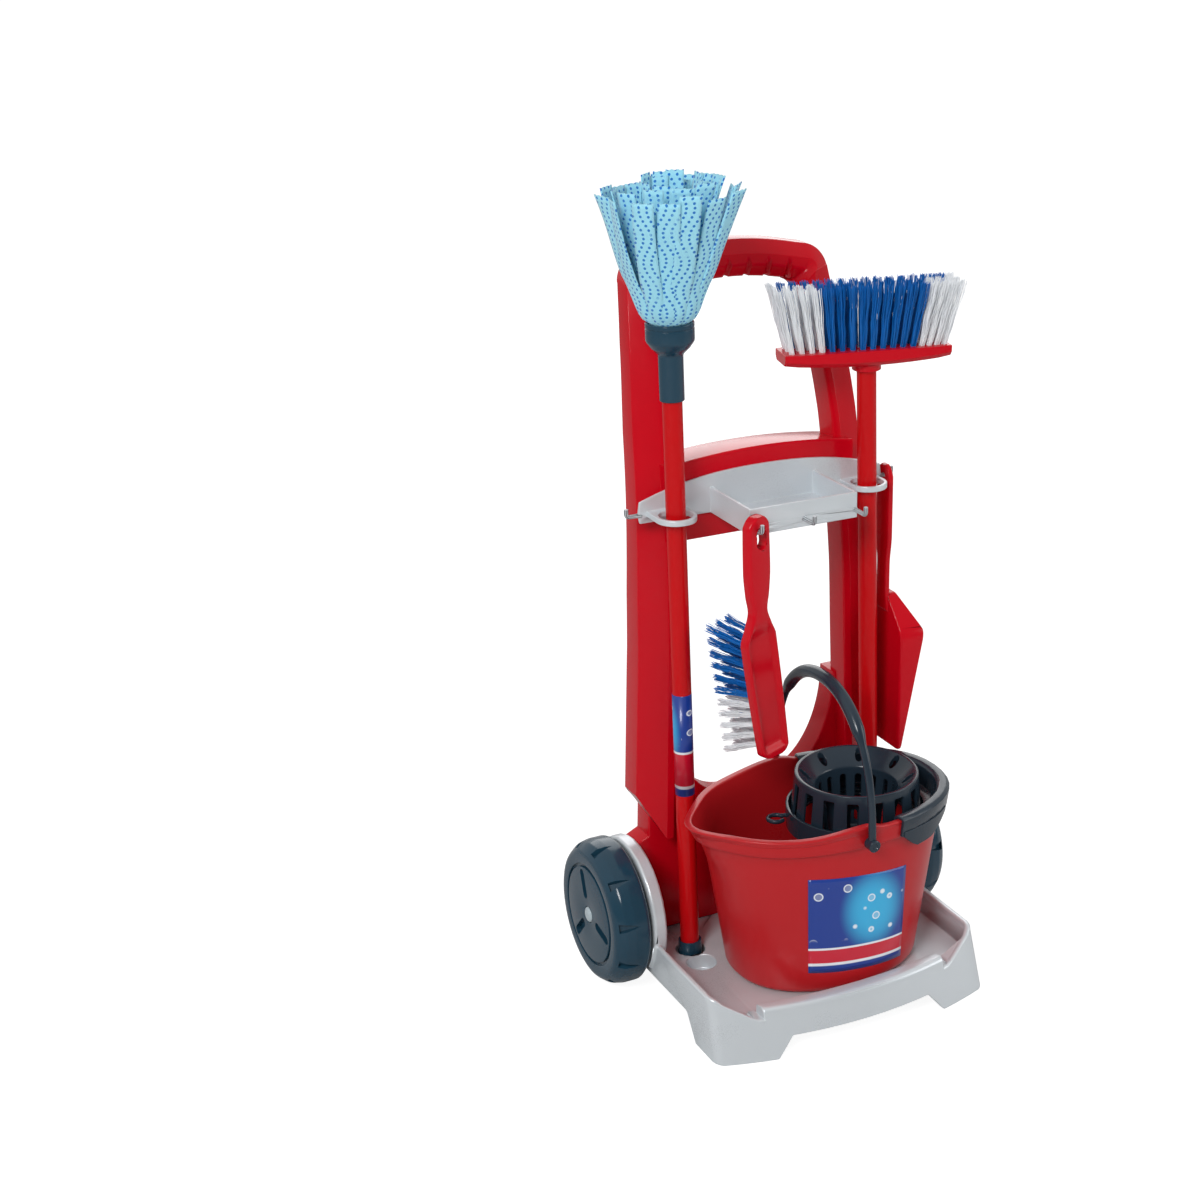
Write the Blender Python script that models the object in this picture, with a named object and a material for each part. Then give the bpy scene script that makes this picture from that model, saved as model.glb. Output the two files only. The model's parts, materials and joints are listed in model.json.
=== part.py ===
"""Toy cleaning trolley: wheeled tray, push frame, shelf, mop bucket and cleaning tools."""
import math

import bmesh
import bpy
from mathutils import Matrix, Vector

# Driving dimensions in metres. X runs to the trolley's right, -Y is its front, Z is up.
# Depths (Y) are written from the plane of the shelf's fixing; the finished trolley is then
# set down with its origin below the middle of its box.

GAP = 0.0003                # play between pieces that touch
SLIDE_PLAY = 0.0005         # play between pieces that slide or turn on each other

# Base tray
BASE_HALF_WIDTH = 0.1188
BASE_SIDE_DRAFT = 0.0013
BASE_TOP_HALF_WIDTH = BASE_HALF_WIDTH - BASE_SIDE_DRAFT
BASE_CORNER_Y = -0.1644
BASE_TOP_CORNER_Y = -0.1472
BASE_FRONT_BOW = 0.022
BASE_BACK_Y = 0.050
BASE_RIM_Z = 0.0485
BASE_WALL = 0.003
FLOOR_Z = 0.026
FLOOR_THICK = 0.0025
SILL_HALF_WIDTH = 0.079
SILL_INNER_Y = -0.1585
SILL_FOOT_DEPTH = 0.010
SILL_INNER_Z = 0.028
SILL_EDGE_Z = 0.038
NOTCH_WIDTH = 0.006
NOTCH_Z = 0.030
FRONT_ARCH_HALF_WIDTH = 0.060
FRONT_ARCH_Z = 0.0155
FRONT_ARCH_SLANT = 0.0135
FOOT_BACK_Y = -0.1275
FOOT_SLANT = 0.0155
SIDE_EDGE_Z = 0.0196
FENDER_RADIUS = 0.0565
FENDER_DEPTH = 0.0113
FENDER_INNER_X = BASE_HALF_WIDTH - FENDER_DEPTH
CUP_RADIUS = 0.0118
CUP_WALL = 0.002
CUP_FLOOR_Z = 0.0135
SPARE_CUP_X = 0.0798
SPARE_CUP_Y = -0.0620

# Wheels
WHEEL_RADIUS = 0.0585
WHEEL_WIDTH = 0.0285
WHEEL_SIDE_PLAY = 0.0028
WHEEL_OUTER_X = BASE_HALF_WIDTH + WHEEL_SIDE_PLAY + WHEEL_WIDTH
WHEEL_SHOULDER = 0.0075
WHEEL_DISC_RADIUS = 0.0415
WHEEL_GROOVE = 0.0022
WHEEL_HUB_RADIUS = 0.0085
WHEEL_BORE = 0.0036
WHEEL_INNER_RECESS = 0.015
WHEEL_RIM_THICK = 0.010
WHEEL_EDGE = 0.003
WHEEL_CROWN = 0.0015
WHEEL_RECESS_DRAFT = 0.002
WHEEL_NOTCHES = 10
NOTCH_DEPTH = 0.0026
NOTCH_FOOT_HALF_WIDTH = 0.0022
NOTCH_MOUTH_HALF_WIDTH = 0.0036
NOTCH_MOUTH_RISE = 0.004
NOTCH_RUN = (0.0045, 0.01425)
WHEEL_SLOT_WIDTH = 0.0045
WHEEL_SLOT_DEPTH = 0.0025
WHEEL_SLOT_START = 0.007
WHEEL_SLOT_END = 0.006
AXLE_Y = -0.0039
AXLE_RADIUS = 0.0031
AXLE_SEAT = 0.0093
HUB_CAP_RADIUS = 0.0062
HUB_CAP_THICK = 0.0024
HUB_CAP_CROWN = 0.0012
HUB_CAP_EDGE = 0.0016

# Push frame
FRAME_EDGE = ((0.1520, 0.1064), (0.27, 0.1016), (0.315, 0.1008), (0.39, 0.0976), (0.438, 0.0959),
              (0.46, 0.0942), (0.504, 0.0901), (0.548, 0.0847))     # (height, half width)
FRAME_RIDGE_END_Z = 0.1150
FRAME_LEAN_Z = 0.260
FRAME_TOP_LEAN = 0.0511
FRAME_LEAN_POWER = 2.5
FRAME_FRONT_Y = -0.0045
FRAME_TOP_Z = 0.570
FRAME_TOP_ARCH = 0.008
FRAME_CORNER_RADIUS = 0.019
FRAME_INNER_RADIUS = 0.004
HANDLE_STEPS = 11
FRAME_DEPTH_LOW = 0.0225
FRAME_DEPTH_TOP = 0.0170
RIDGE_OFFSET = 0.0212
RIDGE_FLAT = 0.0065
RIDGE_RISE = 0.0103
INNER_BACK = 0.0125
GRIP_NOTCHES = 7
GRIP_NOTCH_PITCH = 0.0170
GRIP_NOTCH_RADIUS = 0.0022
GRIP_NOTCH_FRONT = 0.006
GRIP_NOTCH_BACK = 0.012
GRIP_NOTCH_RISE = 0.004
GRIP_NOTCH_FALL = 0.002
PANEL_HALF_WIDTH = 0.1010
PANEL_SIDE_PLAY = 0.0007
PANEL_FOOT_HALF_WIDTH = FENDER_INNER_X - PANEL_SIDE_PLAY
PANEL_SHOULDER_Z = 0.112
PANEL_SHOULDER_DROP = 0.006
PANEL_TAPER = 0.004
PANEL_FRONT_Y = 0.0
PANEL_BACK_Y = 0.022
PANEL_DIP_Z = 0.135
PANEL_DIP_HALF_WIDTH = 0.020
PANEL_HORN_Z = 0.220
PANEL_HORN_X = 0.0735
CROSSBAR_BOTTOM_Z = 0.360
CROSSBAR_TOP_Z = 0.4252
CROSSBAR_ARCH = 0.0060
CROSSBAR_HALF_WIDTH = 0.080
CROSSBAR_FRONT_Y = -0.0150
CROSSBAR_BACK_Y = 0.0120
CROSSBAR_BACK_BULGE = 0.012
CROSSBAR_BACK_RISE = 0.020
CROSSBAR_TOP_BULGE = 0.014
CROSSBAR_EDGE = 0.003
CROSSBAR_BACK_EDGE = 0.004

# Shelf
SHELF_TOP_Z = 0.400
SHELF_DEPTH = 0.0200
SHELF_WALL = 0.0025
SHELF_HALF_WIDTH = 0.1035
SHELF_WALL_Y = -0.0178
SHELF_CREST_Z = 0.4120
SHELF_END_Z = 0.3965
SHELF_FOOT_Z = 0.3800
SHELF_END_BULGE = 0.0015
SHELF_END_RISE = 0.006
SHELF_ARCH_POWER = 2.4
TRAY_HALF_WIDTH = 0.0454
TRAY_FRONT_Y = -0.0805
RING_RADIUS = 0.0156
RING_HEIGHT = 0.0045
RING_WALL = 0.0028
RING_Z = 0.3870
HOOK_RADIUS = 0.0018
TRAY_HOOK_REACH = 0.0155
END_HOOK_REACH = 0.0107
HOOK_TIP = 0.0040
HOOK_Z = 0.3865
TRAY_HOOK_INSET = 0.0020

# Sticks
STICK_RADIUS = 0.0075
STICK_CAP_RADIUS = 0.0096
STICK_CAP_LENGTH = 0.021
STICK_CAP_SEAT = 0.015
STICK_CAP_EDGE = 0.0025
MOP_FOOT_X = -0.0780
MOP_FOOT_Y = -0.0385
MOP_TOP_X = -0.0845
MOP_TOP_Y = -0.0340
MOP_STICK_TOP_Z = 0.5080
BROOM_TOP_X = 0.0800
BROOM_TOP_Y = -0.0330
BROOM_FOOT_INSET = 0.0145
BROOM_FOOT_X = FENDER_INNER_X - BROOM_FOOT_INSET
BROOM_FOOT_Y = -0.0300
BROOM_STICK_TOP_Z = 0.4910

# Mop head
SOCKET_FOOT_Z = 0.4760
SOCKET_RADIUS = 0.0092
SOCKET_NECK_Z = 0.5100
SOCKET_CUP_Z = 0.5185
SOCKET_TOP_Z = 0.5335
SOCKET_CUP_RADIUS = 0.0178
SOCKET_CUP_WALL = 0.0026
SOCKET_CUP_DEPTH = 0.009
SOCKET_NECK_FLARE = 0.0025
SOCKET_NECK_RISE = 0.0035
SOCKET_CUP_EDGE = 0.003
SOCKET_CUP_DIP = 0.001
MOP_STRIPS = (14, 9)
MOP_SPREAD = (0.0535, 0.0300)
MOP_REACH = (0.0890, 0.0930)
MOP_SWAY = 0.0045
MOP_BELLY = (0.0095, 0.0040)
MOP_STRIP_WIDTH = (0.0195, 0.0165)
MOP_STRIP_THICK = 0.0014
MOP_TWIST = 0.22
MOP_STATIONS = (0.0, 0.07, 0.14, 0.28, 0.46, 0.64, 0.82, 1.0)

# Broom head
BROOM_YAW = math.radians(-12.8)
BROOM_LENGTH = 0.1310
BROOM_DEPTH = 0.0320
BROOM_BLOCK_THICK = 0.0085
BROOM_BELLY = 0.0035
BROOM_SHIFT = -0.0020
BROOM_BLOCK_Z = 0.4875
BROOM_SOCKET_RADIUS = 0.0112
BROOM_SOCKET_LENGTH = 0.0090
BROOM_SOCKET_SEAT = 0.003
BROOM_SOCKET_FLARE = 0.004
BROOM_BLOCK_EDGE = 0.003
BROOM_BLOCK_EDGE_RISE = 0.0035
BROOM_END_SLIM = 0.86
BRISTLE_SLICE = 0.0020
TIP_SPREAD = 1.15
BROOM_COLUMNS = (8, 18, 6)
BROOM_ROWS = 6
BROOM_STRAND_LENGTH = 0.0455
BROOM_STRAND_WIDTH = 0.0021
BROOM_FLARE = 0.22
BROOM_FLARE_DEPTH = 0.50
BROOM_EDGE = 0.0022

# Hand brush
BRUSH_YAW = math.radians(18)
BRUSH_TILT = math.radians(4.5)
BRUSH_LENGTH = 0.1930
BRUSH_HANDLE_WIDTH = 0.0220
BRUSH_NECK_WIDTH = 0.0150
BRUSH_BODY_WIDTH = 0.0320
BRUSH_NECK_AT = 0.0720
BRUSH_BODY_AT = 0.0960
BRUSH_THICK = 0.0078
BRUSH_BOW = 0.0070
BRUSH_SLOT_LENGTH = 0.0165
BRUSH_SLOT_WIDTH = 0.0094
BRUSH_SLOT_AT = 0.0085
BRUSH_RECESS = 0.0030
BRUSH_RIM = 0.0035
BRUSH_EDGE = 0.0012
BRUSH_EDGE_RISE = 0.0015
BRUSH_RECESS_START = 0.008
BRISTLE_MARGIN_TOP = 0.002
BRISTLE_MARGIN_END = 0.008
BRISTLE_MARGIN_SIDE = 0.0045
BRUSH_COLUMNS = (11, 9)
BRUSH_ROWS = 5
BRUSH_STRAND_LENGTH = 0.0330
BRUSH_STRAND_WIDTH = 0.0019
BRUSH_STRAND_FLARE = 0.16

# Dustpan
PAN_STANDOFF = 0.0033
PAN_HANDLE_X = SHELF_HALF_WIDTH + PAN_STANDOFF
PAN_FLOOR_SET = 0.0017
PAN_FLOOR_X = PAN_HANDLE_X + PAN_FLOOR_SET
PAN_FLOOR_THICK = 0.0022
PAN_WALL = 0.0020
PAN_WALL_HEIGHT = 0.0200
PAN_NECK_HEIGHT = 0.0060
PAN_NECK_Z = 0.2890
PAN_SHOULDER_Z = 0.2610
PAN_LIP_Z = 0.1600
PAN_HALF_WIDTH_TOP = 0.0300
PAN_HALF_WIDTH_LIP = 0.0285
PAN_HANDLE_TOP_Z = 0.3955
PAN_HANDLE_WIDTH = 0.0190
PAN_NECK_WIDTH = 0.0140
PAN_HANDLE_THICK = 0.0045
PAN_HANDLE_ROOT = 0.010
PAN_HANDLE_WAIST = 0.024
PAN_HANDLE_GRIP = 0.049
PAN_HANDLE_CROWN = 0.010
PAN_LIP_RISE = 0.0008
PAN_HOLE_LENGTH = 0.0120
PAN_HOLE_WIDTH = 0.0062

# Bucket
BUCKET_X = 0.0105
BUCKET_Y = -0.0920
BUCKET_FOOT_LENGTH = 0.0763
BUCKET_FOOT_WIDTH = 0.0605
BUCKET_RIM_LENGTH = 0.0995
BUCKET_RIM_WIDTH = 0.0675
BUCKET_ROUNDNESS = 2.2
BUCKET_RIM_Z = 0.1640
BUCKET_BAND = 0.0140
BUCKET_BAND_STEP = 0.0026
BUCKET_WALL = 0.0022
BUCKET_FOOT_ROUND = 0.0060
BUCKET_RIM_EDGE = 0.0015
BUCKET_RIM_CHAMFER = 0.0012
BUCKET_INNER_CHAMFER = 0.0006
BUCKET_INNER_EDGE = 0.001
BUCKET_SIDES = 48
SPOUT_REACH = 0.0130
SPOUT_WIDTH = math.radians(17)
SPOUT_FADE = 0.050

# Wringer and its carrier
WRINGER_X = 0.0415
WRINGER_TOP_Z = 0.1777
WRINGER_RIM_RADIUS = 0.0481
WRINGER_SKIRT_RADIUS = 0.0515
WRINGER_SKIRT_Z = 0.1400
WRINGER_MOUTH_RADIUS = 0.0320
WRINGER_MOUTH_Z = 0.1655
WRINGER_BASKET_RADIUS = 0.0260
WRINGER_BASKET_Z = 0.1150
WRINGER_WALL = 0.0020
WRINGER_SLOTS = 16
WRINGER_SLOT_WIDTH = 0.0088
WRINGER_SLOT_TOP_Z = 0.1680
WRINGER_SLOT_FOOT_Z = 0.1435
WRINGER_INNER_SLOT = 0.0070
WRINGER_HOLE_RADIUS = 0.0030
WRINGER_RIM_EDGE = 0.001
WRINGER_RIM_WIDTH = 0.0025
WRINGER_RIM_DIP = 0.0006
WRINGER_RIM_THICK = 0.006
WRINGER_SLOT_BITE = 0.006
WRINGER_INNER_SLOT_FOOT = 0.006
WRINGER_INNER_SLOT_TOP = 0.009
WRINGER_INNER_SLOT_REACH = 0.004
COLLAR_THICK = 0.0024
COLLAR_OVERHANG = 0.0150
COLLAR_STEPS = (-10, 11)   # first and last side of the rim that the collar covers
WELL_PLAY = 0.0012
WELL_WALL = 0.0024
WELL_TOP_Z = 0.1500
WELL_FOOT_Z = 0.1330
WELL_LEDGE = 0.0050
WEB_START_X = 0.0600
WEB_THICK = 0.0025
TAB_DROP = 0.0110
COLLAR_LIP = 0.0020
COLLAR_SEAT = 0.0012
CLIP_RADIUS = 0.0062
CLIP_BAR_RADIUS = 0.0018
CLIP_OFFSET_Y = 0.020
CLIP_ROOT = 0.006

# Bail
BAIL_X = 0.0110
BAIL_PIVOT_Z = 0.1545
BAIL_RISE = 0.1080
BAIL_RADIUS = 0.0030
BAIL_GRIP_RADIUS = 0.0050
BAIL_GRIP_SWEEP = math.radians(46)
BAIL_STANDOFF = 0.0050
BAIL_PIN_RADIUS = 0.0024
BAIL_BOSS_RADIUS = 0.0048
BAIL_BOSS_THICK = 0.0092
BAIL_PIN_SHORT = 0.0005
BAIL_PIN_ROOT = 0.002
BAIL_HOLE_DEPTH = 0.012

# Screws
SCREW_RADIUS = 0.0015
SCREW_HEAD_RADIUS = 0.0034
SCREW_HEAD_THICK = 0.0020
SCREW_LENGTH = 0.014
PANEL_SCREW_X = (0.030, 0.085)
SHELF_SCREW_X = 0.055
SHELF_SCREW_Z = 0.3880
SHELF_BOSS_RADIUS = 0.0042
SHELF_BOSS_LENGTH = 0.0080
SHELF_SCREW_SINK = 0.004
SCREW_TIP = 0.002
SCREW_CROWN = 0.0004
SCREW_TIP_ROOM = 0.001

ROUND = 40                  # sides of a wheel
WELL_ROUND = 36             # sides of the wringer's well
BASKET_ROUND = 48           # sides of the wringer
SMALL_ROUND = 16            # sides of a pin or boss
STICK_ROUND = 20            # sides of a stick and its cap
PIN_ROUND = 14              # sides of the bail's pins
HEAD_ROUND = 12             # sides of a screw
SCREW_ROUND = 10            # sides of a screw's hole
OVERSHOOT = 0.020           # how far a cutter runs past what it cuts


# Shape makers

def along_x(y, z, x):
    return Vector((x, y, z))


def along_y(x, z, y):
    return Vector((x, y, z))


def along_z(x, y, z):
    return Vector((x, y, z))


def loft(rings):
    """Closed body through rings of equal length, capped at both ends."""
    bm = bmesh.new()
    layers = [[bm.verts.new(point) for point in ring] for ring in rings]
    count = len(layers[0])
    for lower, upper in zip(layers, layers[1:]):
        for i in range(count):
            j = (i + 1) % count
            bm.faces.new((lower[i], lower[j], upper[j], upper[i]))
    bm.faces.new(reversed(layers[0]))
    bm.faces.new(layers[-1])
    bmesh.ops.recalc_face_normals(bm, faces=bm.faces)
    return bm


def prism(outline, place, start, end):
    """Straight extrusion of a flat outline."""
    return loft([[place(u, v, level) for u, v in outline] for level in (start, end)])


def box(low, high):
    outline = [(low[0], low[1]), (high[0], low[1]), (high[0], high[1]), (low[0], high[1])]
    return prism(outline, along_z, low[2], high[2])


def turned(profile, sides, matrix=None, closed=False):
    """Body of revolution about Z from (radius, height) points; a closed profile makes a ring."""
    bm = bmesh.new()
    rings = []
    for radius, height in profile:
        if radius == 0:
            rings.append([bm.verts.new((0, 0, height))])
            continue
        turn = [2 * math.pi * i / sides for i in range(sides)]
        rings.append([bm.verts.new((radius * math.cos(a), radius * math.sin(a), height)) for a in turn])
    pairs = list(zip(rings, rings[1:]))
    if closed:
        pairs.append((rings[-1], rings[0]))
    pairs = [pair for pair in pairs if max(map(len, pair)) > 1]
    for lower, upper in pairs:
        for i in range(sides):
            j = (i + 1) % sides
            corners = [lower[i % len(lower)], lower[j % len(lower)]]
            corners += [upper[j % len(upper)], upper[i % len(upper)]]
            bm.faces.new(list(dict.fromkeys(corners)))
    bmesh.ops.recalc_face_normals(bm, faces=bm.faces)
    if matrix is not None:
        bm.transform(matrix)
    return bm


def aim(start, end):
    """Matrix that carries the Z axis onto the line from start to end."""
    direction = Vector(end) - Vector(start)
    return Matrix.Translation(Vector(start)) @ direction.to_track_quat("Z", "Y").to_matrix().to_4x4()


def rod(start, end, radius, sides=SMALL_ROUND):
    length = (Vector(end) - Vector(start)).length
    return turned([(0, 0), (radius, 0), (radius, length), (0, length)], sides, aim(start, end))


def sweep(points, radii, sides):
    """Round bar along a path, with its own radius at each point."""
    points = [Vector(p) for p in points]
    tangent = (points[1] - points[0]).normalized()
    side = tangent.orthogonal().normalized()
    rings = []
    for i, point in enumerate(points):
        ahead = points[min(i + 1, len(points) - 1)]
        behind = points[max(i - 1, 0)]
        turned_tangent = (ahead - behind).normalized()
        side = tangent.rotation_difference(turned_tangent) @ side
        tangent = turned_tangent
        other = tangent.cross(side)
        angles = [2 * math.pi * k / sides for k in range(sides)]
        rings.append([point + radii[i] * (math.cos(a) * side + math.sin(a) * other) for a in angles])
    return loft(rings)


def mirrored(bm):
    """Copy of a body on the trolley's other side."""
    copy = bm.copy()
    copy.transform(Matrix.Scale(-1, 4, Vector((1, 0, 0))))
    bmesh.ops.reverse_faces(copy, faces=copy.faces)
    return copy


def temporary(bm):
    mesh = bpy.data.meshes.new("tool")
    bm.to_mesh(mesh)
    bm.free()
    tool = bpy.data.objects.new("tool", mesh)
    bpy.context.scene.collection.objects.link(tool)
    return tool


def boolean(body, tools, operation):
    """Join tools to a body, or cut them from it, one after another."""
    for tool in tools:
        pair = [temporary(body), temporary(tool)]
        modifier = pair[0].modifiers.new("boolean", "BOOLEAN")
        modifier.operation = operation
        modifier.object = pair[1]
        graph = bpy.context.evaluated_depsgraph_get()
        result = bpy.data.meshes.new_from_object(pair[0].evaluated_get(graph))
        body = bmesh.new()
        body.from_mesh(result)
        for item in pair:
            mesh = item.data
            bpy.data.objects.remove(item)
            bpy.data.meshes.remove(mesh)
        bpy.data.meshes.remove(result)
    return body


def join(body, *tools):
    return boolean(body, tools, "UNION")


def cut(body, *tools):
    return boolean(body, tools, "DIFFERENCE")


def gathered(bodies):
    """Several separate bodies in one mesh, for use as one cutter."""
    whole = bodies[0]
    for bm in bodies[1:]:
        mesh = bpy.data.meshes.new("gather")
        bm.to_mesh(mesh)
        bm.free()
        whole.from_mesh(mesh)
        bpy.data.meshes.remove(mesh)
    return whole


# Materials and placing

def plastic(name, colour, roughness, metallic=0.0):
    material = bpy.data.materials.new(name)
    material.use_nodes = True
    shader = material.node_tree.nodes["Principled BSDF"]
    shader.inputs["Base Color"].default_value = (*colour, 1)
    shader.inputs["Roughness"].default_value = roughness
    shader.inputs["Metallic"].default_value = metallic
    return material


def place(name, bm, material, root, pivot=(0, 0, 0)):
    """Finished piece as a named object whose origin is at its pivot."""
    bm.transform(Matrix.Translation(-Vector(pivot)))
    bmesh.ops.remove_doubles(bm, verts=bm.verts, dist=0.000001)
    bmesh.ops.recalc_face_normals(bm, faces=bm.faces)
    mesh = bpy.data.meshes.new(name)
    bm.to_mesh(mesh)
    bm.free()
    mesh.shade_smooth()
    mesh.set_sharp_from_angle(angle=math.radians(32))
    mesh.materials.append(material)
    piece = bpy.data.objects.new(name, mesh)
    piece.location = pivot
    piece.parent = root
    bpy.context.scene.collection.objects.link(piece)
    return piece


# Base tray

def base_front_y(x, corner_y):
    return corner_y - BASE_FRONT_BOW * (1 - (x / BASE_HALF_WIDTH) ** 2)


def base_outline(half_width, corner_y, inset=0.0):
    """Plan of the base: bowed front, straight sides and back."""
    steps = 14
    half = half_width - inset
    front = [-half + 2 * half * i / steps for i in range(steps + 1)]
    points = [(x, base_front_y(x, corner_y) + inset) for x in front]
    return points + [(half, BASE_BACK_Y - inset), (-half, BASE_BACK_Y - inset)]


def slope_y(z):
    """Depth of the base's front corner at a height, along its draft."""
    return BASE_CORNER_Y + (BASE_TOP_CORNER_Y - BASE_CORNER_Y) * z / BASE_RIM_Z


def base_shell():
    bottom = [along_z(x, y, 0) for x, y in base_outline(BASE_HALF_WIDTH, BASE_CORNER_Y)]
    top = [along_z(x, y, BASE_RIM_Z) for x, y in base_outline(BASE_TOP_HALF_WIDTH, BASE_TOP_CORNER_Y)]
    return loft([bottom, top])


def tray_cutters():
    """The open tray: its floor, the sloped front sill and the two front pockets."""
    high = BASE_RIM_Z + OVERSHOOT
    inner_half = BASE_TOP_HALF_WIDTH - BASE_WALL
    meet_y = SILL_INNER_Y + SILL_FOOT_DEPTH
    main = box((-inner_half, meet_y - GAP, FLOOR_Z), (inner_half, BASE_BACK_Y - BASE_WALL, high))
    rise = (SILL_EDGE_Z - SILL_INNER_Z) / (base_front_y(0, slope_y(SILL_EDGE_Z)) - SILL_INNER_Y)
    far_y = SILL_INNER_Y + (high - SILL_INNER_Z) / rise
    sill = [(meet_y, FLOOR_Z), (SILL_INNER_Y, FLOOR_Z), (SILL_INNER_Y, SILL_INNER_Z), (far_y, high),
            (meet_y, high)]
    cutters = [main, prism(sill, along_x, -SILL_HALF_WIDTH, SILL_HALF_WIDTH)]
    pocket_start = SILL_HALF_WIDTH + NOTCH_WIDTH
    for side in (-1, 1):
        middle = (pocket_start + inner_half) / 2
        pocket_z = FLOOR_Z + 2 * GAP
        pocket = [(meet_y, pocket_z),
                  (base_front_y(middle, slope_y(pocket_z)) + BASE_WALL, pocket_z),
                  (base_front_y(middle, slope_y(high)) + BASE_WALL, high),
                  (meet_y, high)]
        cutters.append(prism(pocket, along_x, side * (pocket_start + GAP), side * (inner_half - 2 * GAP)))
        rising = (BASE_RIM_Z - GAP - NOTCH_Z) / (BASE_TOP_HALF_WIDTH - pocket_start)
        past_x = BASE_HALF_WIDTH + OVERSHOOT
        past_z = NOTCH_Z + rising * (past_x - pocket_start)
        sill_x = SILL_HALF_WIDTH - GAP
        edge = [(sill_x, past_z + OVERSHOOT), (sill_x, NOTCH_Z), (pocket_start, NOTCH_Z),
                (past_x, past_z), (past_x, past_z + OVERSHOOT)]
        notch = [(side * x, z) for x, z in edge]
        cutters.append(prism(notch, along_y, BASE_CORNER_Y - BASE_FRONT_BOW - OVERSHOOT, meet_y))
    return cutters


def underside_cutters():
    """The hollow under the floor, and the arches between the feet."""
    low = -OVERSHOOT
    hollow_top = FLOOR_Z - FLOOR_THICK
    outline = base_outline(BASE_HALF_WIDTH, BASE_CORNER_Y, BASE_WALL)
    lifted = base_outline(BASE_TOP_HALF_WIDTH, slope_y(hollow_top), BASE_WALL)
    hollow = loft([[along_z(x, y, low) for x, y in outline],
                   [along_z(x, y, hollow_top) for x, y in lifted]])
    foot_x = FRONT_ARCH_HALF_WIDTH + FRONT_ARCH_SLANT
    half_arch = [(FRONT_ARCH_HALF_WIDTH, FRONT_ARCH_Z), (foot_x, -GAP), (foot_x, low)]
    front_arch = half_arch + [(-x, z) for x, z in reversed(half_arch)]
    front_y = BASE_CORNER_Y - BASE_FRONT_BOW - OVERSHOOT
    front = prism(front_arch, along_y, front_y, BASE_CORNER_Y + OVERSHOOT)
    side_arch = [(FOOT_BACK_Y, low), (FOOT_BACK_Y, -GAP), (FOOT_BACK_Y + FOOT_SLANT, SIDE_EDGE_Z),
                 (BASE_BACK_Y + OVERSHOOT, SIDE_EDGE_Z), (BASE_BACK_Y + OVERSHOOT, low)]
    reach = BASE_HALF_WIDTH + OVERSHOOT
    return [hollow, front, prism(side_arch, along_x, -reach, reach)]


def fender(side):
    """Round wheel housing between the wheel and the tray."""
    steps = 20
    start = math.asin((WHEEL_RADIUS - FLOOR_Z + FLOOR_THICK / 2) / FENDER_RADIUS)
    angles = [-start + (math.pi + 2 * start) * i / steps for i in range(steps + 1)]
    outline = [(AXLE_Y + FENDER_RADIUS * math.cos(a), WHEEL_RADIUS + FENDER_RADIUS * math.sin(a))
               for a in angles]
    outer = side * (BASE_HALF_WIDTH + GAP)
    return prism(outline, along_x, side * FENDER_INNER_X, outer)


def cup_places():
    """Holes in the floor: one under each stick, and a spare one in front of it."""
    return [(MOP_FOOT_X, MOP_FOOT_Y), (BROOM_FOOT_X, BROOM_FOOT_Y),
            (-SPARE_CUP_X, SPARE_CUP_Y), (SPARE_CUP_X, SPARE_CUP_Y)]


def base_tray():
    body = cut(base_shell(), *underside_cutters())
    for x, y in cup_places():
        body = join(body, rod((x, y, CUP_FLOOR_Z - CUP_WALL), (x, y, FLOOR_Z - GAP), CUP_RADIUS + CUP_WALL))
    body = cut(body, *tray_cutters())
    body = join(body, fender(-1), fender(1))
    for x, y in cup_places():
        body = cut(body, rod((x, y, CUP_FLOOR_Z), (x, y, FLOOR_Z + OVERSHOOT), CUP_RADIUS))
    reach = WHEEL_OUTER_X + OVERSHOOT
    inner = BASE_HALF_WIDTH - AXLE_SEAT
    for side in (-1, 1):
        body = cut(body, rod((side * inner, AXLE_Y, WHEEL_RADIUS), (side * reach, AXLE_Y, WHEEL_RADIUS),
                             AXLE_RADIUS + GAP))
    for x, y in panel_screw_places():
        body = cut(body, rod((x, y, 0), (x, y, FLOOR_Z + OVERSHOOT), SCREW_RADIUS + GAP, SCREW_ROUND))
    return body


# Wheels

def wheel_profile():
    outer = WHEEL_OUTER_X
    inner = WHEEL_OUTER_X - WHEEL_WIDTH
    face = WHEEL_RADIUS - WHEEL_SHOULDER
    groove = WHEEL_DISC_RADIUS
    rim = WHEEL_RADIUS - WHEEL_RIM_THICK
    recess = inner + WHEEL_INNER_RECESS
    seat = HUB_CAP_RADIUS + SLIDE_PLAY
    return [(WHEEL_BORE, outer - HUB_CAP_THICK), (seat, outer - HUB_CAP_THICK), (seat, outer),
            (groove - WHEEL_GROOVE, outer), (groove - WHEEL_GROOVE, outer - WHEEL_GROOVE),
            (groove, outer - WHEEL_GROOVE), (groove, outer), (face, outer),
            (WHEEL_RADIUS - WHEEL_CROWN, outer - WHEEL_SHOULDER),
            (WHEEL_RADIUS, outer - 1.5 * WHEEL_SHOULDER), (WHEEL_RADIUS, inner + WHEEL_EDGE),
            (WHEEL_RADIUS - WHEEL_EDGE, inner), (rim, inner),
            (rim - WHEEL_RECESS_DRAFT, recess), (WHEEL_HUB_RADIUS, recess), (WHEEL_HUB_RADIUS, inner),
            (WHEEL_BORE, inner)]


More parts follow.
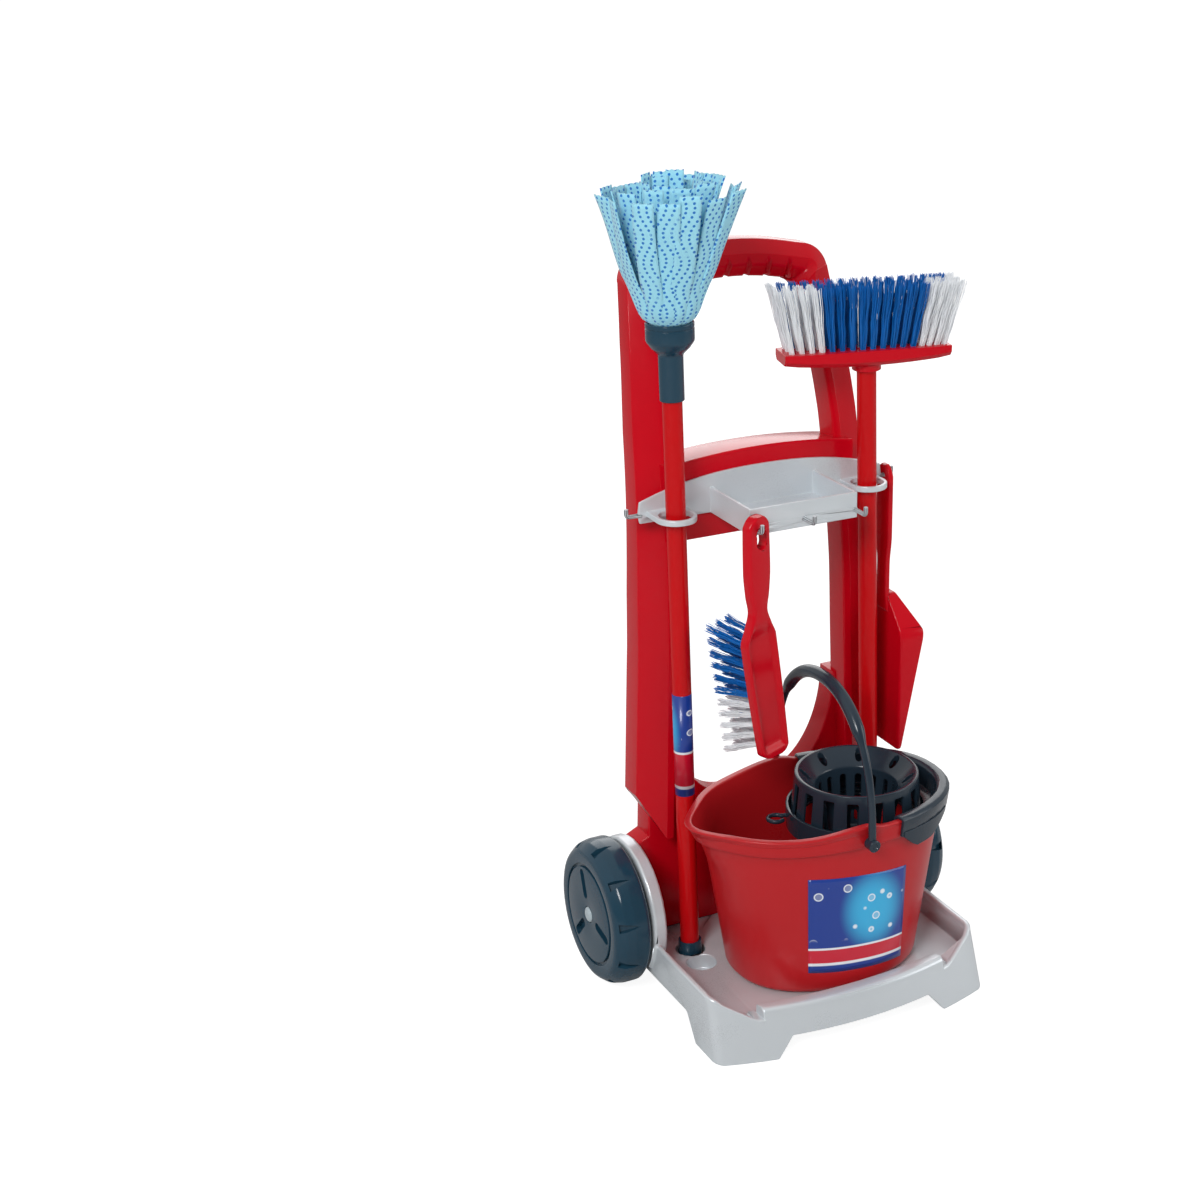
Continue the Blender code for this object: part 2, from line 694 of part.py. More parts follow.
def wheel(side):
    turn = Matrix.Translation((0, AXLE_Y, WHEEL_RADIUS)) @ Matrix.Rotation(math.pi / 2, 4, "Y")
    body = turned(wheel_profile(), ROUND, turn, closed=True)
    centre = Vector((0, AXLE_Y, WHEEL_RADIUS))
    tools = []
    for k in range(3):
        angle = math.pi / 2 + k * math.tau / 3
        near = WHEEL_HUB_RADIUS + WHEEL_SLOT_START
        far = WHEEL_DISC_RADIUS - WHEEL_SLOT_END
        slot = box((WHEEL_OUTER_X - WHEEL_SLOT_DEPTH, near, -WHEEL_SLOT_WIDTH / 2),
                   (WHEEL_OUTER_X + OVERSHOOT, far, WHEEL_SLOT_WIDTH / 2))
        slot.transform(Matrix.Translation(centre) @ Matrix.Rotation(angle, 4, "X"))
        tools.append(slot)
    for k in range(WHEEL_NOTCHES):
        angle = math.tau * (k + 0.5) / WHEEL_NOTCHES
        depth = WHEEL_RADIUS - NOTCH_DEPTH
        mouth = WHEEL_RADIUS + NOTCH_MOUTH_RISE
        lug = [(depth, -NOTCH_FOOT_HALF_WIDTH), (mouth, -NOTCH_MOUTH_HALF_WIDTH),
               (mouth, NOTCH_MOUTH_HALF_WIDTH), (depth, NOTCH_FOOT_HALF_WIDTH)]
        notch = prism(lug, along_x, WHEEL_OUTER_X - NOTCH_RUN[1], WHEEL_OUTER_X - NOTCH_RUN[0])
        notch.transform(Matrix.Translation(centre) @ Matrix.Rotation(angle, 4, "X"))
        tools.append(notch)
    body = cut(body, gathered(tools))
    return body if side > 0 else mirrored(body)


def axle(side):
    inner = BASE_HALF_WIDTH - AXLE_SEAT + GAP
    outer = WHEEL_OUTER_X - HUB_CAP_THICK - GAP
    return rod((side * inner, AXLE_Y, WHEEL_RADIUS), (side * outer, AXLE_Y, WHEEL_RADIUS), AXLE_RADIUS)


def hub_cap(side):
    back = WHEEL_OUTER_X - HUB_CAP_THICK + GAP
    crown = WHEEL_OUTER_X + HUB_CAP_CROWN
    profile = [(0, back), (HUB_CAP_RADIUS, back), (HUB_CAP_RADIUS, WHEEL_OUTER_X),
               (HUB_CAP_RADIUS - HUB_CAP_EDGE, crown), (0, crown + GAP)]
    turn = Matrix.Translation((0, AXLE_Y, WHEEL_RADIUS)) @ Matrix.Rotation(math.pi / 2, 4, "Y")
    body = turned(profile, SMALL_ROUND + 4, turn)
    return body if side > 0 else mirrored(body)


# Push frame

def frame_half_width(z):
    """Half width of the frame's outer edge at a height."""
    for (low, low_width), (high, high_width) in zip(FRAME_EDGE, FRAME_EDGE[1:]):
        if z <= high:
            break
    return low_width + (high_width - low_width) * (z - low) / (high - low)


def frame_front_y(z):
    share = max(z - FRAME_LEAN_Z, 0) / (FRAME_TOP_Z - FRAME_LEAN_Z)
    return FRAME_FRONT_Y + FRAME_TOP_LEAN * share ** FRAME_LEAN_POWER


def blend(z, low_z, high_z, low, high):
    share = min(max((z - low_z) / (high_z - low_z), 0), 1)
    return low + share * (high - low)


def frame_corner():
    """Centre of the handle's rounded corner."""
    corner_z = FRAME_TOP_Z - FRAME_TOP_ARCH - FRAME_CORNER_RADIUS
    return frame_half_width(corner_z) - FRAME_CORNER_RADIUS, corner_z


def frame_edge():
    """Right half of the frame's outer edge, from its foot to the handle's last step before its middle."""
    corner_x, corner_z = frame_corner()
    edge = [(width, z) for z, width in FRAME_EDGE if z < corner_z]
    for k in range(6):
        angle = math.pi / 2 * k / 5
        edge.append((corner_x + FRAME_CORNER_RADIUS * math.cos(angle),
                     corner_z + FRAME_CORNER_RADIUS * math.sin(angle)))
    for k in range(1, HANDLE_STEPS // 2 + 1):
        x = corner_x * (1 - 2 * k / HANDLE_STEPS)
        edge.append((x, FRAME_TOP_Z - FRAME_TOP_ARCH * (x / corner_x) ** 2))
    return edge


def inset_point(here, inward, inset):
    """Point inside the frame's edge; round the handle's corner it keeps a small radius of its own."""
    corner_x, corner_z = frame_corner()
    if abs(here.x) < corner_x - GAP or here.y < corner_z - GAP:
        return here + inward * inset
    radius = max(FRAME_CORNER_RADIUS - inset, FRAME_INNER_RADIUS)
    shift = FRAME_CORNER_RADIUS - inset - radius
    centre = Vector((math.copysign(corner_x + shift, here.x), corner_z + shift))
    return centre - inward * radius


def frame_section(edge, i):
    """Five-sided section at one station: outer side, front facet, ridge and inner side."""
    before = Vector(edge[max(i - 1, 0)])
    after = Vector(edge[min(i + 1, len(edge) - 1)])
    tangent = (after - before).normalized()
    inward = Vector((-tangent.y, tangent.x))
    here = Vector(edge[i])
    z = here.y
    front = frame_front_y(z)
    depth = blend(z, FRAME_LEAN_Z, FRAME_TOP_Z, FRAME_DEPTH_LOW, FRAME_DEPTH_TOP)
    ridge = inset_point(here, inward, RIDGE_OFFSET)
    inner = inset_point(here, inward, RIDGE_OFFSET + RIDGE_FLAT)
    ridge_y = front - RIDGE_RISE
    return [Vector((here.x, front + depth, here.y)), Vector((here.x, front, here.y)),
            Vector((ridge.x, ridge_y, ridge.y)), Vector((inner.x, ridge_y, inner.y)),
            Vector((inner.x, front + INNER_BACK, inner.y))]


def frame_hoop():
    """Both uprights and the handle as one bent bar."""
    right = frame_edge()
    edge = right + [(-x, z) for x, z in reversed(right)]
    rings = [frame_section(edge, i) for i in range(len(edge))]
    for ring in (rings[0], rings[-1]):
        for point in ring[2:]:
            point.z = FRAME_RIDGE_END_Z
    return loft(rings)


def lower_panel():
    """Panel between the wheel housings, with a U-shaped top edge."""
    steps = 7
    angles = [math.pi / 2 * k / steps for k in range(steps + 1)]
    wide = PANEL_HORN_X - PANEL_DIP_HALF_WIDTH
    deep = PANEL_HORN_Z - PANEL_DIP_Z
    dip = [(PANEL_DIP_HALF_WIDTH + wide * math.cos(a), PANEL_HORN_Z - deep * math.sin(a)) for a in angles]
    foot_z = FLOOR_Z + GAP
    right = [(PANEL_FOOT_HALF_WIDTH, foot_z), (PANEL_FOOT_HALF_WIDTH, PANEL_SHOULDER_Z - PANEL_SHOULDER_DROP),
             (PANEL_HALF_WIDTH, PANEL_SHOULDER_Z), (PANEL_HALF_WIDTH - PANEL_TAPER, PANEL_HORN_Z), *dip]
    left = [(-x, z) for x, z in reversed(right)]
    return prism(right + left, along_y, PANEL_FRONT_Y, PANEL_BACK_Y)


def crossbar():
    """Arched beam behind the shelf."""
    steps = 12
    rings = []
    for i in range(steps + 1):
        x = CROSSBAR_HALF_WIDTH * (2 * i / steps - 1)
        arch = CROSSBAR_ARCH * (x / CROSSBAR_HALF_WIDTH) ** 2
        top = CROSSBAR_TOP_Z - arch
        section = [(CROSSBAR_FRONT_Y, CROSSBAR_BOTTOM_Z), (CROSSBAR_BACK_Y, CROSSBAR_BOTTOM_Z),
                   (CROSSBAR_BACK_Y + CROSSBAR_BACK_BULGE, CROSSBAR_BOTTOM_Z + CROSSBAR_BACK_RISE),
                   (CROSSBAR_BACK_Y + CROSSBAR_TOP_BULGE, top - CROSSBAR_BACK_EDGE),
                   (CROSSBAR_FRONT_Y + CROSSBAR_EDGE, top), (CROSSBAR_FRONT_Y, top - CROSSBAR_EDGE)]
        rings.append([along_x(y, z, x) for y, z in section])
    return loft(rings)


def grip_notches():
    """Finger grooves under the front of the handle."""
    tools = []
    under = RIDGE_OFFSET + RIDGE_FLAT
    corner_x = frame_corner()[0]
    for k in range(GRIP_NOTCHES):
        x = GRIP_NOTCH_PITCH * (k - (GRIP_NOTCHES - 1) / 2)
        z = FRAME_TOP_Z - FRAME_TOP_ARCH * (x / corner_x) ** 2
        y = frame_front_y(z) - RIDGE_RISE
        low = z - under
        tools.append(rod((x, y - GRIP_NOTCH_FRONT, low + GRIP_NOTCH_RISE),
                         (x, y + GRIP_NOTCH_BACK, low - GRIP_NOTCH_FALL), GRIP_NOTCH_RADIUS, 8))
    return tools


def panel_screw_places():
    y = (PANEL_FRONT_Y + PANEL_BACK_Y) / 2
    return [(side * x, y) for x in PANEL_SCREW_X for side in (-1, 1)]


def push_frame():
    body = join(frame_hoop(), crossbar(), lower_panel())
    holes = []
    for x, y in panel_screw_places():
        holes.append(rod((x, y, 0), (x, y, FLOOR_Z + SCREW_LENGTH), SCREW_RADIUS + GAP, SCREW_ROUND))
    boss_end = SHELF_WALL_Y + SHELF_WALL + SHELF_BOSS_LENGTH
    runs = [(CROSSBAR_FRONT_Y - OVERSHOOT, boss_end + GAP, SHELF_BOSS_RADIUS + GAP, SMALL_ROUND),
            (boss_end - GAP, CROSSBAR_BACK_Y + OVERSHOOT, SCREW_RADIUS + GAP, SCREW_ROUND),
            (CROSSBAR_BACK_Y - SHELF_SCREW_SINK, CROSSBAR_BACK_Y + 2 * OVERSHOOT,
             SCREW_HEAD_RADIUS + SLIDE_PLAY, HEAD_ROUND)]
    for x in (-SHELF_SCREW_X, SHELF_SCREW_X):
        for start, end, radius, sides in runs:
            holes.append(rod((x, start, SHELF_SCREW_Z), (x, end, SHELF_SCREW_Z), radius, sides))
    return cut(body, *holes, gathered(grip_notches()))


def screw(head, tip):
    """Pan-head screw from its head's outer face to its tip."""
    length = (Vector(tip) - Vector(head)).length
    profile = [(0, 0), (SCREW_HEAD_RADIUS, SCREW_CROWN), (SCREW_HEAD_RADIUS, SCREW_HEAD_THICK),
               (SCREW_RADIUS, SCREW_HEAD_THICK), (SCREW_RADIUS, length - SCREW_TIP), (0, length)]
    return turned(profile, HEAD_ROUND, aim(head, tip))


# Shelf

def hook(base, direction, reach):
    """Peg that runs out from a wall and turns up at its end."""
    base = Vector(base)
    out = Vector(direction)
    up = Vector((0, 0, 1))
    bend = HOOK_RADIUS * 1.4
    corner = base + out * (reach - bend) + up * bend
    points = [base - out * SHELF_WALL / 2, base + out * (reach - bend) / 2]
    for k in range(5):
        angle = math.pi / 2 * k / 4
        points.append(corner + bend * (math.sin(angle) * out - math.cos(angle) * up))
    points.append(points[-1] + up * HOOK_TIP)
    return sweep(points, [HOOK_RADIUS] * len(points), 8)


def ring_places():
    return [tuple(axis(RING_Z).xy) for axis in (mop_axis, broom_axis)]


def shelf_wall():
    """Arched back wall, with its ends rounded down."""
    steps = 16
    top = []
    for i in range(steps + 1):
        x = SHELF_HALF_WIDTH * (1 - 2 * i / steps)
        share = abs(x) / SHELF_HALF_WIDTH
        top.append((x, SHELF_CREST_Z - (SHELF_CREST_Z - SHELF_END_Z) * share ** SHELF_ARCH_POWER))
    bulge = (SHELF_HALF_WIDTH + SHELF_END_BULGE, SHELF_FOOT_Z + SHELF_END_RISE)
    outline = top + [(-bulge[0], bulge[1]), (-SHELF_HALF_WIDTH, SHELF_FOOT_Z),
                     (SHELF_HALF_WIDTH, SHELF_FOOT_Z), bulge]
    return prism(outline, along_y, SHELF_WALL_Y, SHELF_WALL_Y + SHELF_WALL)


def shelf_tray():
    foot = SHELF_TOP_Z - SHELF_DEPTH
    body = box((-TRAY_HALF_WIDTH, TRAY_FRONT_Y, foot),
               (TRAY_HALF_WIDTH, SHELF_WALL_Y + SHELF_WALL / 2, SHELF_TOP_Z))
    hollow = box((-TRAY_HALF_WIDTH + SHELF_WALL, TRAY_FRONT_Y + SHELF_WALL, foot + SHELF_WALL),
                 (TRAY_HALF_WIDTH - SHELF_WALL, SHELF_WALL_Y, SHELF_TOP_Z + OVERSHOOT))
    return cut(body, hollow)


def hook_places():
    """Base, direction and reach of the hooks on the tray's front and on both ends of the wall."""
    inset = TRAY_HALF_WIDTH - TRAY_HOOK_INSET
    end_y = SHELF_WALL_Y + SHELF_WALL / 2
    places = [((x, TRAY_FRONT_Y, HOOK_Z), (0, -1, 0), TRAY_HOOK_REACH) for x in (-inset, 0, inset)]
    ends = [((side * SHELF_HALF_WIDTH, end_y, HOOK_Z), (side, 0, 0), END_HOOK_REACH) for side in (-1, 1)]
    return places + ends


def stick_ring(x, y):
    """Ring that a stick stands in, with a straight root against the back wall."""
    steps = 14
    low, high = RING_Z - RING_HEIGHT / 2, RING_Z + RING_HEIGHT / 2
    angles = [math.pi + math.pi * k / steps for k in range(steps + 1)]
    outline = [(x + RING_RADIUS * math.cos(a), y + RING_RADIUS * math.sin(a)) for a in angles]
    root_y = SHELF_WALL_Y + SHELF_WALL / 3
    outline += [(x + RING_RADIUS, root_y), (x - RING_RADIUS, root_y)]
    bore = rod((x, y, RING_Z - OVERSHOOT), (x, y, RING_Z + OVERSHOOT), RING_RADIUS - RING_WALL, 28)
    return cut(prism(outline, along_z, low, high), bore)


def shelf():
    body = join(shelf_wall(), shelf_tray())
    for x, y in ring_places():
        body = join(body, stick_ring(x, y))
    body = join(body, *[hook(*place_of) for place_of in hook_places()])
    for side in (-1, 1):
        back = SHELF_WALL_Y + SHELF_WALL
        boss = rod((side * SHELF_SCREW_X, back - SHELF_WALL / 2, SHELF_SCREW_Z),
                   (side * SHELF_SCREW_X, back + SHELF_BOSS_LENGTH, SHELF_SCREW_Z), SHELF_BOSS_RADIUS)
        hole = rod((side * SHELF_SCREW_X, back, SHELF_SCREW_Z),
                   (side * SHELF_SCREW_X, back + OVERSHOOT, SHELF_SCREW_Z), SCREW_RADIUS + GAP, SCREW_ROUND)
        body = cut(join(body, boss), hole)
    return body


# Sticks

def broom_axis(z):
    """Point on the leaning broom stick's axis at a height."""
    share = (z - CUP_FLOOR_Z) / (BROOM_BLOCK_Z - CUP_FLOOR_Z)
    return Vector((BROOM_FOOT_X + share * (BROOM_TOP_X - BROOM_FOOT_X),
                   BROOM_FOOT_Y + share * (BROOM_TOP_Y - BROOM_FOOT_Y), z))


def mop_axis(z):
    """Point on the mop stick's axis at a height; it leans a little outwards."""
    share = (z - CUP_FLOOR_Z) / (SOCKET_TOP_Z - CUP_FLOOR_Z)
    return Vector((MOP_FOOT_X + share * (MOP_TOP_X - MOP_FOOT_X),
                   MOP_FOOT_Y + share * (MOP_TOP_Y - MOP_FOOT_Y), z))


def mop_frame():
    """Mop's own axes: Z up its stick, with heights kept as on the upright trolley."""
    direction = mop_axis(1) - mop_axis(0)
    turn = Vector((0, 0, 1)).rotation_difference(direction).to_matrix().to_4x4()
    return Matrix.Translation(mop_axis(SOCKET_TOP_Z)) @ turn @ Matrix.Translation((0, 0, -SOCKET_TOP_Z))


def stick(axis, top_z):
    foot = CUP_FLOOR_Z + GAP + STICK_CAP_LENGTH - STICK_CAP_SEAT + GAP
    return rod(axis(foot), axis(top_z), STICK_RADIUS, STICK_ROUND)


def stick_cap(axis):
    """Soft foot pushed over the lower end of a stick."""
    foot = CUP_FLOOR_Z + GAP
    start = axis(foot)
    length = STICK_CAP_LENGTH
    seat = length - STICK_CAP_SEAT
    bore = STICK_RADIUS + GAP
    profile = [(0, 0), (STICK_CAP_RADIUS * 0.72, 0), (STICK_CAP_RADIUS * 0.94, STICK_CAP_EDGE),
               (STICK_CAP_RADIUS, length * 0.45), (STICK_CAP_RADIUS * 0.96, length),
               (bore, length), (bore, seat), (0, seat)]
    return turned(profile, STICK_ROUND, aim(start, axis(foot + 1)))


def mop_socket():
    bore = STICK_RADIUS + GAP
    cup_bore = SOCKET_CUP_RADIUS - SOCKET_CUP_WALL
    cup_floor = SOCKET_TOP_Z - SOCKET_CUP_DEPTH
    profile = [(0, MOP_STICK_TOP_Z + GAP), (bore, MOP_STICK_TOP_Z + GAP), (bore, SOCKET_FOOT_Z),
               (SOCKET_RADIUS, SOCKET_FOOT_Z), (SOCKET_RADIUS, SOCKET_NECK_Z),
               (SOCKET_RADIUS + SOCKET_NECK_FLARE, SOCKET_NECK_Z + SOCKET_NECK_RISE),
               (SOCKET_CUP_RADIUS - SOCKET_CUP_EDGE, SOCKET_CUP_Z - SOCKET_CUP_DIP),
               (SOCKET_CUP_RADIUS, SOCKET_CUP_Z + SOCKET_CUP_EDGE), (SOCKET_CUP_RADIUS, SOCKET_TOP_Z),
               (cup_bore, SOCKET_TOP_Z), (cup_bore, cup_floor), (0, cup_floor)]
    return turned(profile, 28, mop_frame())


# Mop strips

def strip_root(layer):
    """Outer radius of a layer of strips where they leave the socket."""
    return (SOCKET_CUP_RADIUS - SOCKET_CUP_WALL - 2 * GAP) * (1 - 0.36 * layer)


def strip_station(layer, angle, share, wander):
    """Four corners of a strip at a share of its length, belling out from the socket."""
    root = strip_root(layer)
    thick_root = root * 0.16
    half_root = math.pi / MOP_STRIPS[layer] * 0.88
    reach = MOP_REACH[layer] * (1 + 0.05 * wander)
    belly = MOP_BELLY[layer] * min(share / 0.14, 1) ** 0.7
    radius = root - thick_root / 2 + belly + (MOP_SPREAD[layer] - root - MOP_BELLY[layer]) * share ** 1.1
    height = SOCKET_TOP_Z + GAP + reach * share
    width = min(2 * half_root * radius, MOP_STRIP_WIDTH[layer])
    thick = thick_root + (MOP_STRIP_THICK - thick_root) * min(share * 4, 1)
    turn = angle + MOP_TWIST * wander * share
    out = Vector((math.cos(angle), math.sin(angle), 0))
    across = Vector((-math.sin(turn), math.cos(turn), 0))
    face = Vector((math.cos(turn), math.sin(turn), 0)) * thick / 2
    centre = out * radius + Vector((MOP_SWAY * share ** 2, 0, height))
    return [centre - face - across * width / 2, centre + face - across * width / 2,
            centre + face + across * width / 2, centre - face + across * width / 2]


def loop_edges(bm, ring):
    pairs = zip(ring, ring[1:] + ring[:1])
    return [bm.edges.get(pair) or bm.edges.new(pair) for pair in pairs]


def skin(bm, lower, upper):
    """Side faces between two closed rings."""
    count = len(lower)
    for i in range(count):
        j = (i + 1) % count
        bm.faces.new((lower[i], lower[j], upper[j], upper[i]))


def strip_layer(bm, layer):
    """One ring of strips; returns the inner and outer rims of their shared root."""
    count = MOP_STRIPS[layer]
    inner, outer = [], []
    for k in range(count):
        angle = math.tau * (k + 0.5 * layer) / count
        wander = math.sin(5.3 * k + 1.7 * layer)
        rows = []
        for station in MOP_STATIONS:
            rows.append([bm.verts.new(corner) for corner in strip_station(layer, angle, station, wander)])
        for lower, upper in zip(rows, rows[1:]):
            skin(bm, lower, upper)
        bm.faces.new(rows[-1])
        inner += [rows[0][0], rows[0][3]]
        outer += [rows[0][1], rows[0][2]]
    for k in range(count):
        here, after = 2 * k + 1, (2 * k + 2) % (2 * count)
        bm.faces.new((inner[here], inner[after], outer[after], outer[here]))
    return inner, outer


def mop_strips():
    """Cloth strips that grow from one gathered root held in the socket's cup."""
    bm = bmesh.new()
    outer_layer = strip_layer(bm, 0)
    inner_layer = strip_layer(bm, 1)
    plug_radius = SOCKET_CUP_RADIUS - SOCKET_CUP_WALL - GAP
    plug_foot = SOCKET_TOP_Z - SOCKET_CUP_DEPTH + GAP
    plug = []
    for vertex in outer_layer[1]:
        flat = vertex.co.xy.normalized() * plug_radius
        plug.append(bm.verts.new((flat.x, flat.y, plug_foot)))
    skin(bm, plug, outer_layer[1])
    bm.faces.new(reversed(plug))
    bmesh.ops.bridge_loops(bm, edges=loop_edges(bm, outer_layer[0]) + loop_edges(bm, inner_layer[1]))
    bm.faces.new(inner_layer[0])
    bmesh.ops.recalc_face_normals(bm, faces=bm.faces)
    bm.transform(mop_frame())
    return bm


# Bristles

def bristle_pad(columns, rows, pitch, strand, length, lean_x, lean_y, thick):
    """Slab with a square strand standing on every cell of a grid; lean gives each tip's offset."""
    bm = bmesh.new()
    pitch_x, pitch_y = pitch
    gaps = ((pitch_x - strand) / 2, (pitch_y - strand) / 2)

    def lines(count, step, gap):
        marks = [0.0]
        for k in range(count):
            marks += [k * step + gap, (k + 1) * step - gap]
        return marks + [count * step]

    xs = [x - columns * pitch_x / 2 for x in lines(columns, pitch_x, gaps[0])]
    ys = [y - rows * pitch_y / 2 for y in lines(rows, pitch_y, gaps[1])]
    grid = [[bm.verts.new((x, y, 0)) for x in xs] for y in ys]
    for j in range(len(ys) - 1):
        for i in range(len(xs) - 1):
            corners = [grid[j][i], grid[j][i + 1], grid[j + 1][i + 1], grid[j + 1][i]]
            if i % 2 == 0 or j % 2 == 0:
                bm.faces.new(corners)
                continue
            middle = sum((c.co for c in corners), Vector()) / 4
            tip = middle + Vector((lean_x(middle.x), lean_y(middle.y), length))
            tips = [bm.verts.new(tip + (c.co - middle) * TIP_SPREAD) for c in corners]
            for k in range(4):
                m = (k + 1) % 4
                bm.faces.new((corners[k], corners[m], tips[m], tips[k]))
            bm.faces.new(tips)
    border = grid[0] + [row[-1] for row in grid[1:]] + grid[-1][-2::-1] + [row[0] for row in grid[-2:0:-1]]
    under = [bm.verts.new(v.co - Vector((0, 0, thick))) for v in border]
    for i in range(len(border)):
        j = (i + 1) % len(border)
        bm.faces.new((under[i], under[j], border[j], border[i]))
    bm.faces.new(reversed(under))
    bmesh.ops.recalc_face_normals(bm, faces=bm.faces)
    return bm


# Broom

def broom_frame():
    """Broom's own axes: X along its head, Z up."""
    turn = Matrix.Rotation(BROOM_YAW, 4, "Z")
    return Matrix.Translation(broom_axis(BROOM_BLOCK_Z)) @ turn @ Matrix.Translation((BROOM_SHIFT, 0, 0))


def broom_head():
    """Block with a deeper middle, and a socket for the stick."""
    steps = 12
    half = BROOM_LENGTH / 2
    rings = []
    for i in range(steps + 1):
        share = 2 * i / steps - 1
        slim = BROOM_END_SLIM if abs(share) == 1 else 1.0
        deep = BROOM_DEPTH / 2 * slim
        low = -BROOM_BELLY * (1 - share ** 2)
        top = BROOM_BLOCK_THICK
        inner = deep - BROOM_BLOCK_EDGE
        edge = low + BROOM_BLOCK_EDGE_RISE
        section = [(-inner, low), (inner, low), (deep, edge), (deep, top), (-deep, top), (-deep, edge)]
        rings.append([along_x(y, z, share * half) for y, z in section])
    block = loft(rings)
    block.transform(broom_frame())
    low = broom_axis(BROOM_BLOCK_Z - BROOM_SOCKET_LENGTH)
    high = broom_axis(BROOM_BLOCK_Z + BROOM_SOCKET_SEAT)
    length = (high - low).length
    profile = [(0, 0), (BROOM_SOCKET_RADIUS, 0), (BROOM_SOCKET_RADIUS, BROOM_SOCKET_SEAT),
               (BROOM_SOCKET_RADIUS + BROOM_SOCKET_FLARE, length), (0, length)]
    socket = turned(profile, STICK_ROUND, aim(low, high))
    bore = rod(broom_axis(BROOM_BLOCK_Z - OVERSHOOT), broom_axis(BROOM_STICK_TOP_Z + GAP),
               STICK_RADIUS + GAP, STICK_ROUND)
    return cut(join(block, socket), bore)


def broom_bristles(part):
    """One run of the broom's bristles: left, middle or right part of its head."""
    total = sum(BROOM_COLUMNS)
    pitch_x = (BROOM_LENGTH - 2 * BROOM_EDGE) / total
    pitch_y = (BROOM_DEPTH - 2 * BROOM_EDGE) / BROOM_ROWS
    before = sum(BROOM_COLUMNS[:part])
    columns = BROOM_COLUMNS[part]
    centre = (before + columns / 2 - total / 2) * pitch_x
    pad = bristle_pad(columns, BROOM_ROWS, (pitch_x - 2 * GAP / columns, pitch_y), BROOM_STRAND_WIDTH,
                      BROOM_STRAND_LENGTH, lambda x: BROOM_FLARE * (x + centre),
                      lambda y: BROOM_FLARE_DEPTH * y, BRISTLE_SLICE)
    lift = BROOM_BLOCK_THICK + GAP + BRISTLE_SLICE
    pad.transform(broom_frame() @ Matrix.Translation((centre, 0, lift)))
    return pad


# Hand brush

def brush_pivot():
    base, direction, reach = hook_places()[0]
    return Vector(base) + Vector(direction) * (reach * 0.45) + Vector((0, 0, HOOK_RADIUS))


def brush_frame():
    """Brush's own axes: X across, Y through its thickness, -Z down its length from the hook."""
    turn = Matrix.Rotation(-BRUSH_TILT, 4, "Y") @ Matrix.Rotation(BRUSH_YAW, 4, "Z")
    return Matrix.Translation(brush_pivot()) @ turn


def along_table(table, at):
    """Value between the rows of a table of (position, value)."""
    for (low, low_value), (high, high_value) in zip(table, table[1:]):
        if at <= high:
            break
    return low_value + (high_value - low_value) * (at - low) / (high - low)


def brush_widths():
    """Half widths of the brush at distances below the top of its loop."""
    handle, neck, body = BRUSH_HANDLE_WIDTH / 2, BRUSH_NECK_WIDTH / 2, BRUSH_BODY_WIDTH / 2
    return [(0.0, handle * 0.36), (0.0025, handle * 0.71), (0.008, handle), (0.040, handle * 1.05),
            (0.060, neck * 1.3), (BRUSH_NECK_AT, neck), (0.084, neck * 1.5), (BRUSH_BODY_AT, body),
            (BRUSH_LENGTH - 0.006, body * 0.88), (BRUSH_LENGTH - 0.0015, body * 0.66),
            (BRUSH_LENGTH, body * 0.38)]


def brush_shift(depth):
    """Sideways bow of the brush's middle line."""
    return along_table([(0.0, 0.0), (BRUSH_BODY_AT, -BRUSH_BOW), (BRUSH_LENGTH, 0.0)], depth)


def brush_top():
    """Height of the loop's top above the pivot."""
    return BRUSH_SLOT_AT + HOOK_RADIUS * 0.35


def brush_outline(inset=0.0, start=0.0):
    marks = [depth for depth, width in brush_widths()]
    marks = sorted({min(max(mark, start + inset), BRUSH_LENGTH - inset) for mark in marks})
    right, left = [], []
    for mark in marks:
        half = along_table(brush_widths(), mark) - inset
        right.append((brush_shift(mark) + half, brush_top() - mark))
        left.append((brush_shift(mark) - half, brush_top() - mark))
    return right + left[::-1]


def brush_body():
    half = BRUSH_THICK / 2
    levels = [(-half, BRUSH_EDGE), (-half + BRUSH_EDGE_RISE, 0.0), (half, 0.0)]
    body = loft([[Vector((x, y, z)) for x, z in brush_outline(inset)] for y, inset in levels])
    recess = prism(brush_outline(BRUSH_RIM, BRUSH_NECK_AT + BRUSH_RECESS_START), along_y,
                   -half - OVERSHOOT, -half + BRUSH_RECESS)
    slot = prism(slot_outline(0, brush_top() - BRUSH_SLOT_AT, BRUSH_SLOT_WIDTH, BRUSH_SLOT_LENGTH), along_y,
                 -half - OVERSHOOT, half + OVERSHOOT)
    body = cut(body, recess, slot)
    body.transform(brush_frame())
    return body


def slot_outline(middle, top, width, length):
    """Upright slot with round ends, hanging from its top."""
    half = width / 2
    angles = [math.pi * k / 6 for k in range(7)]
    crown = [(middle + half * math.cos(a), top - half + half * math.sin(a)) for a in angles]
    foot = [(middle - half * math.cos(a), top - length + half - half * math.sin(a)) for a in angles]
    return crown + foot


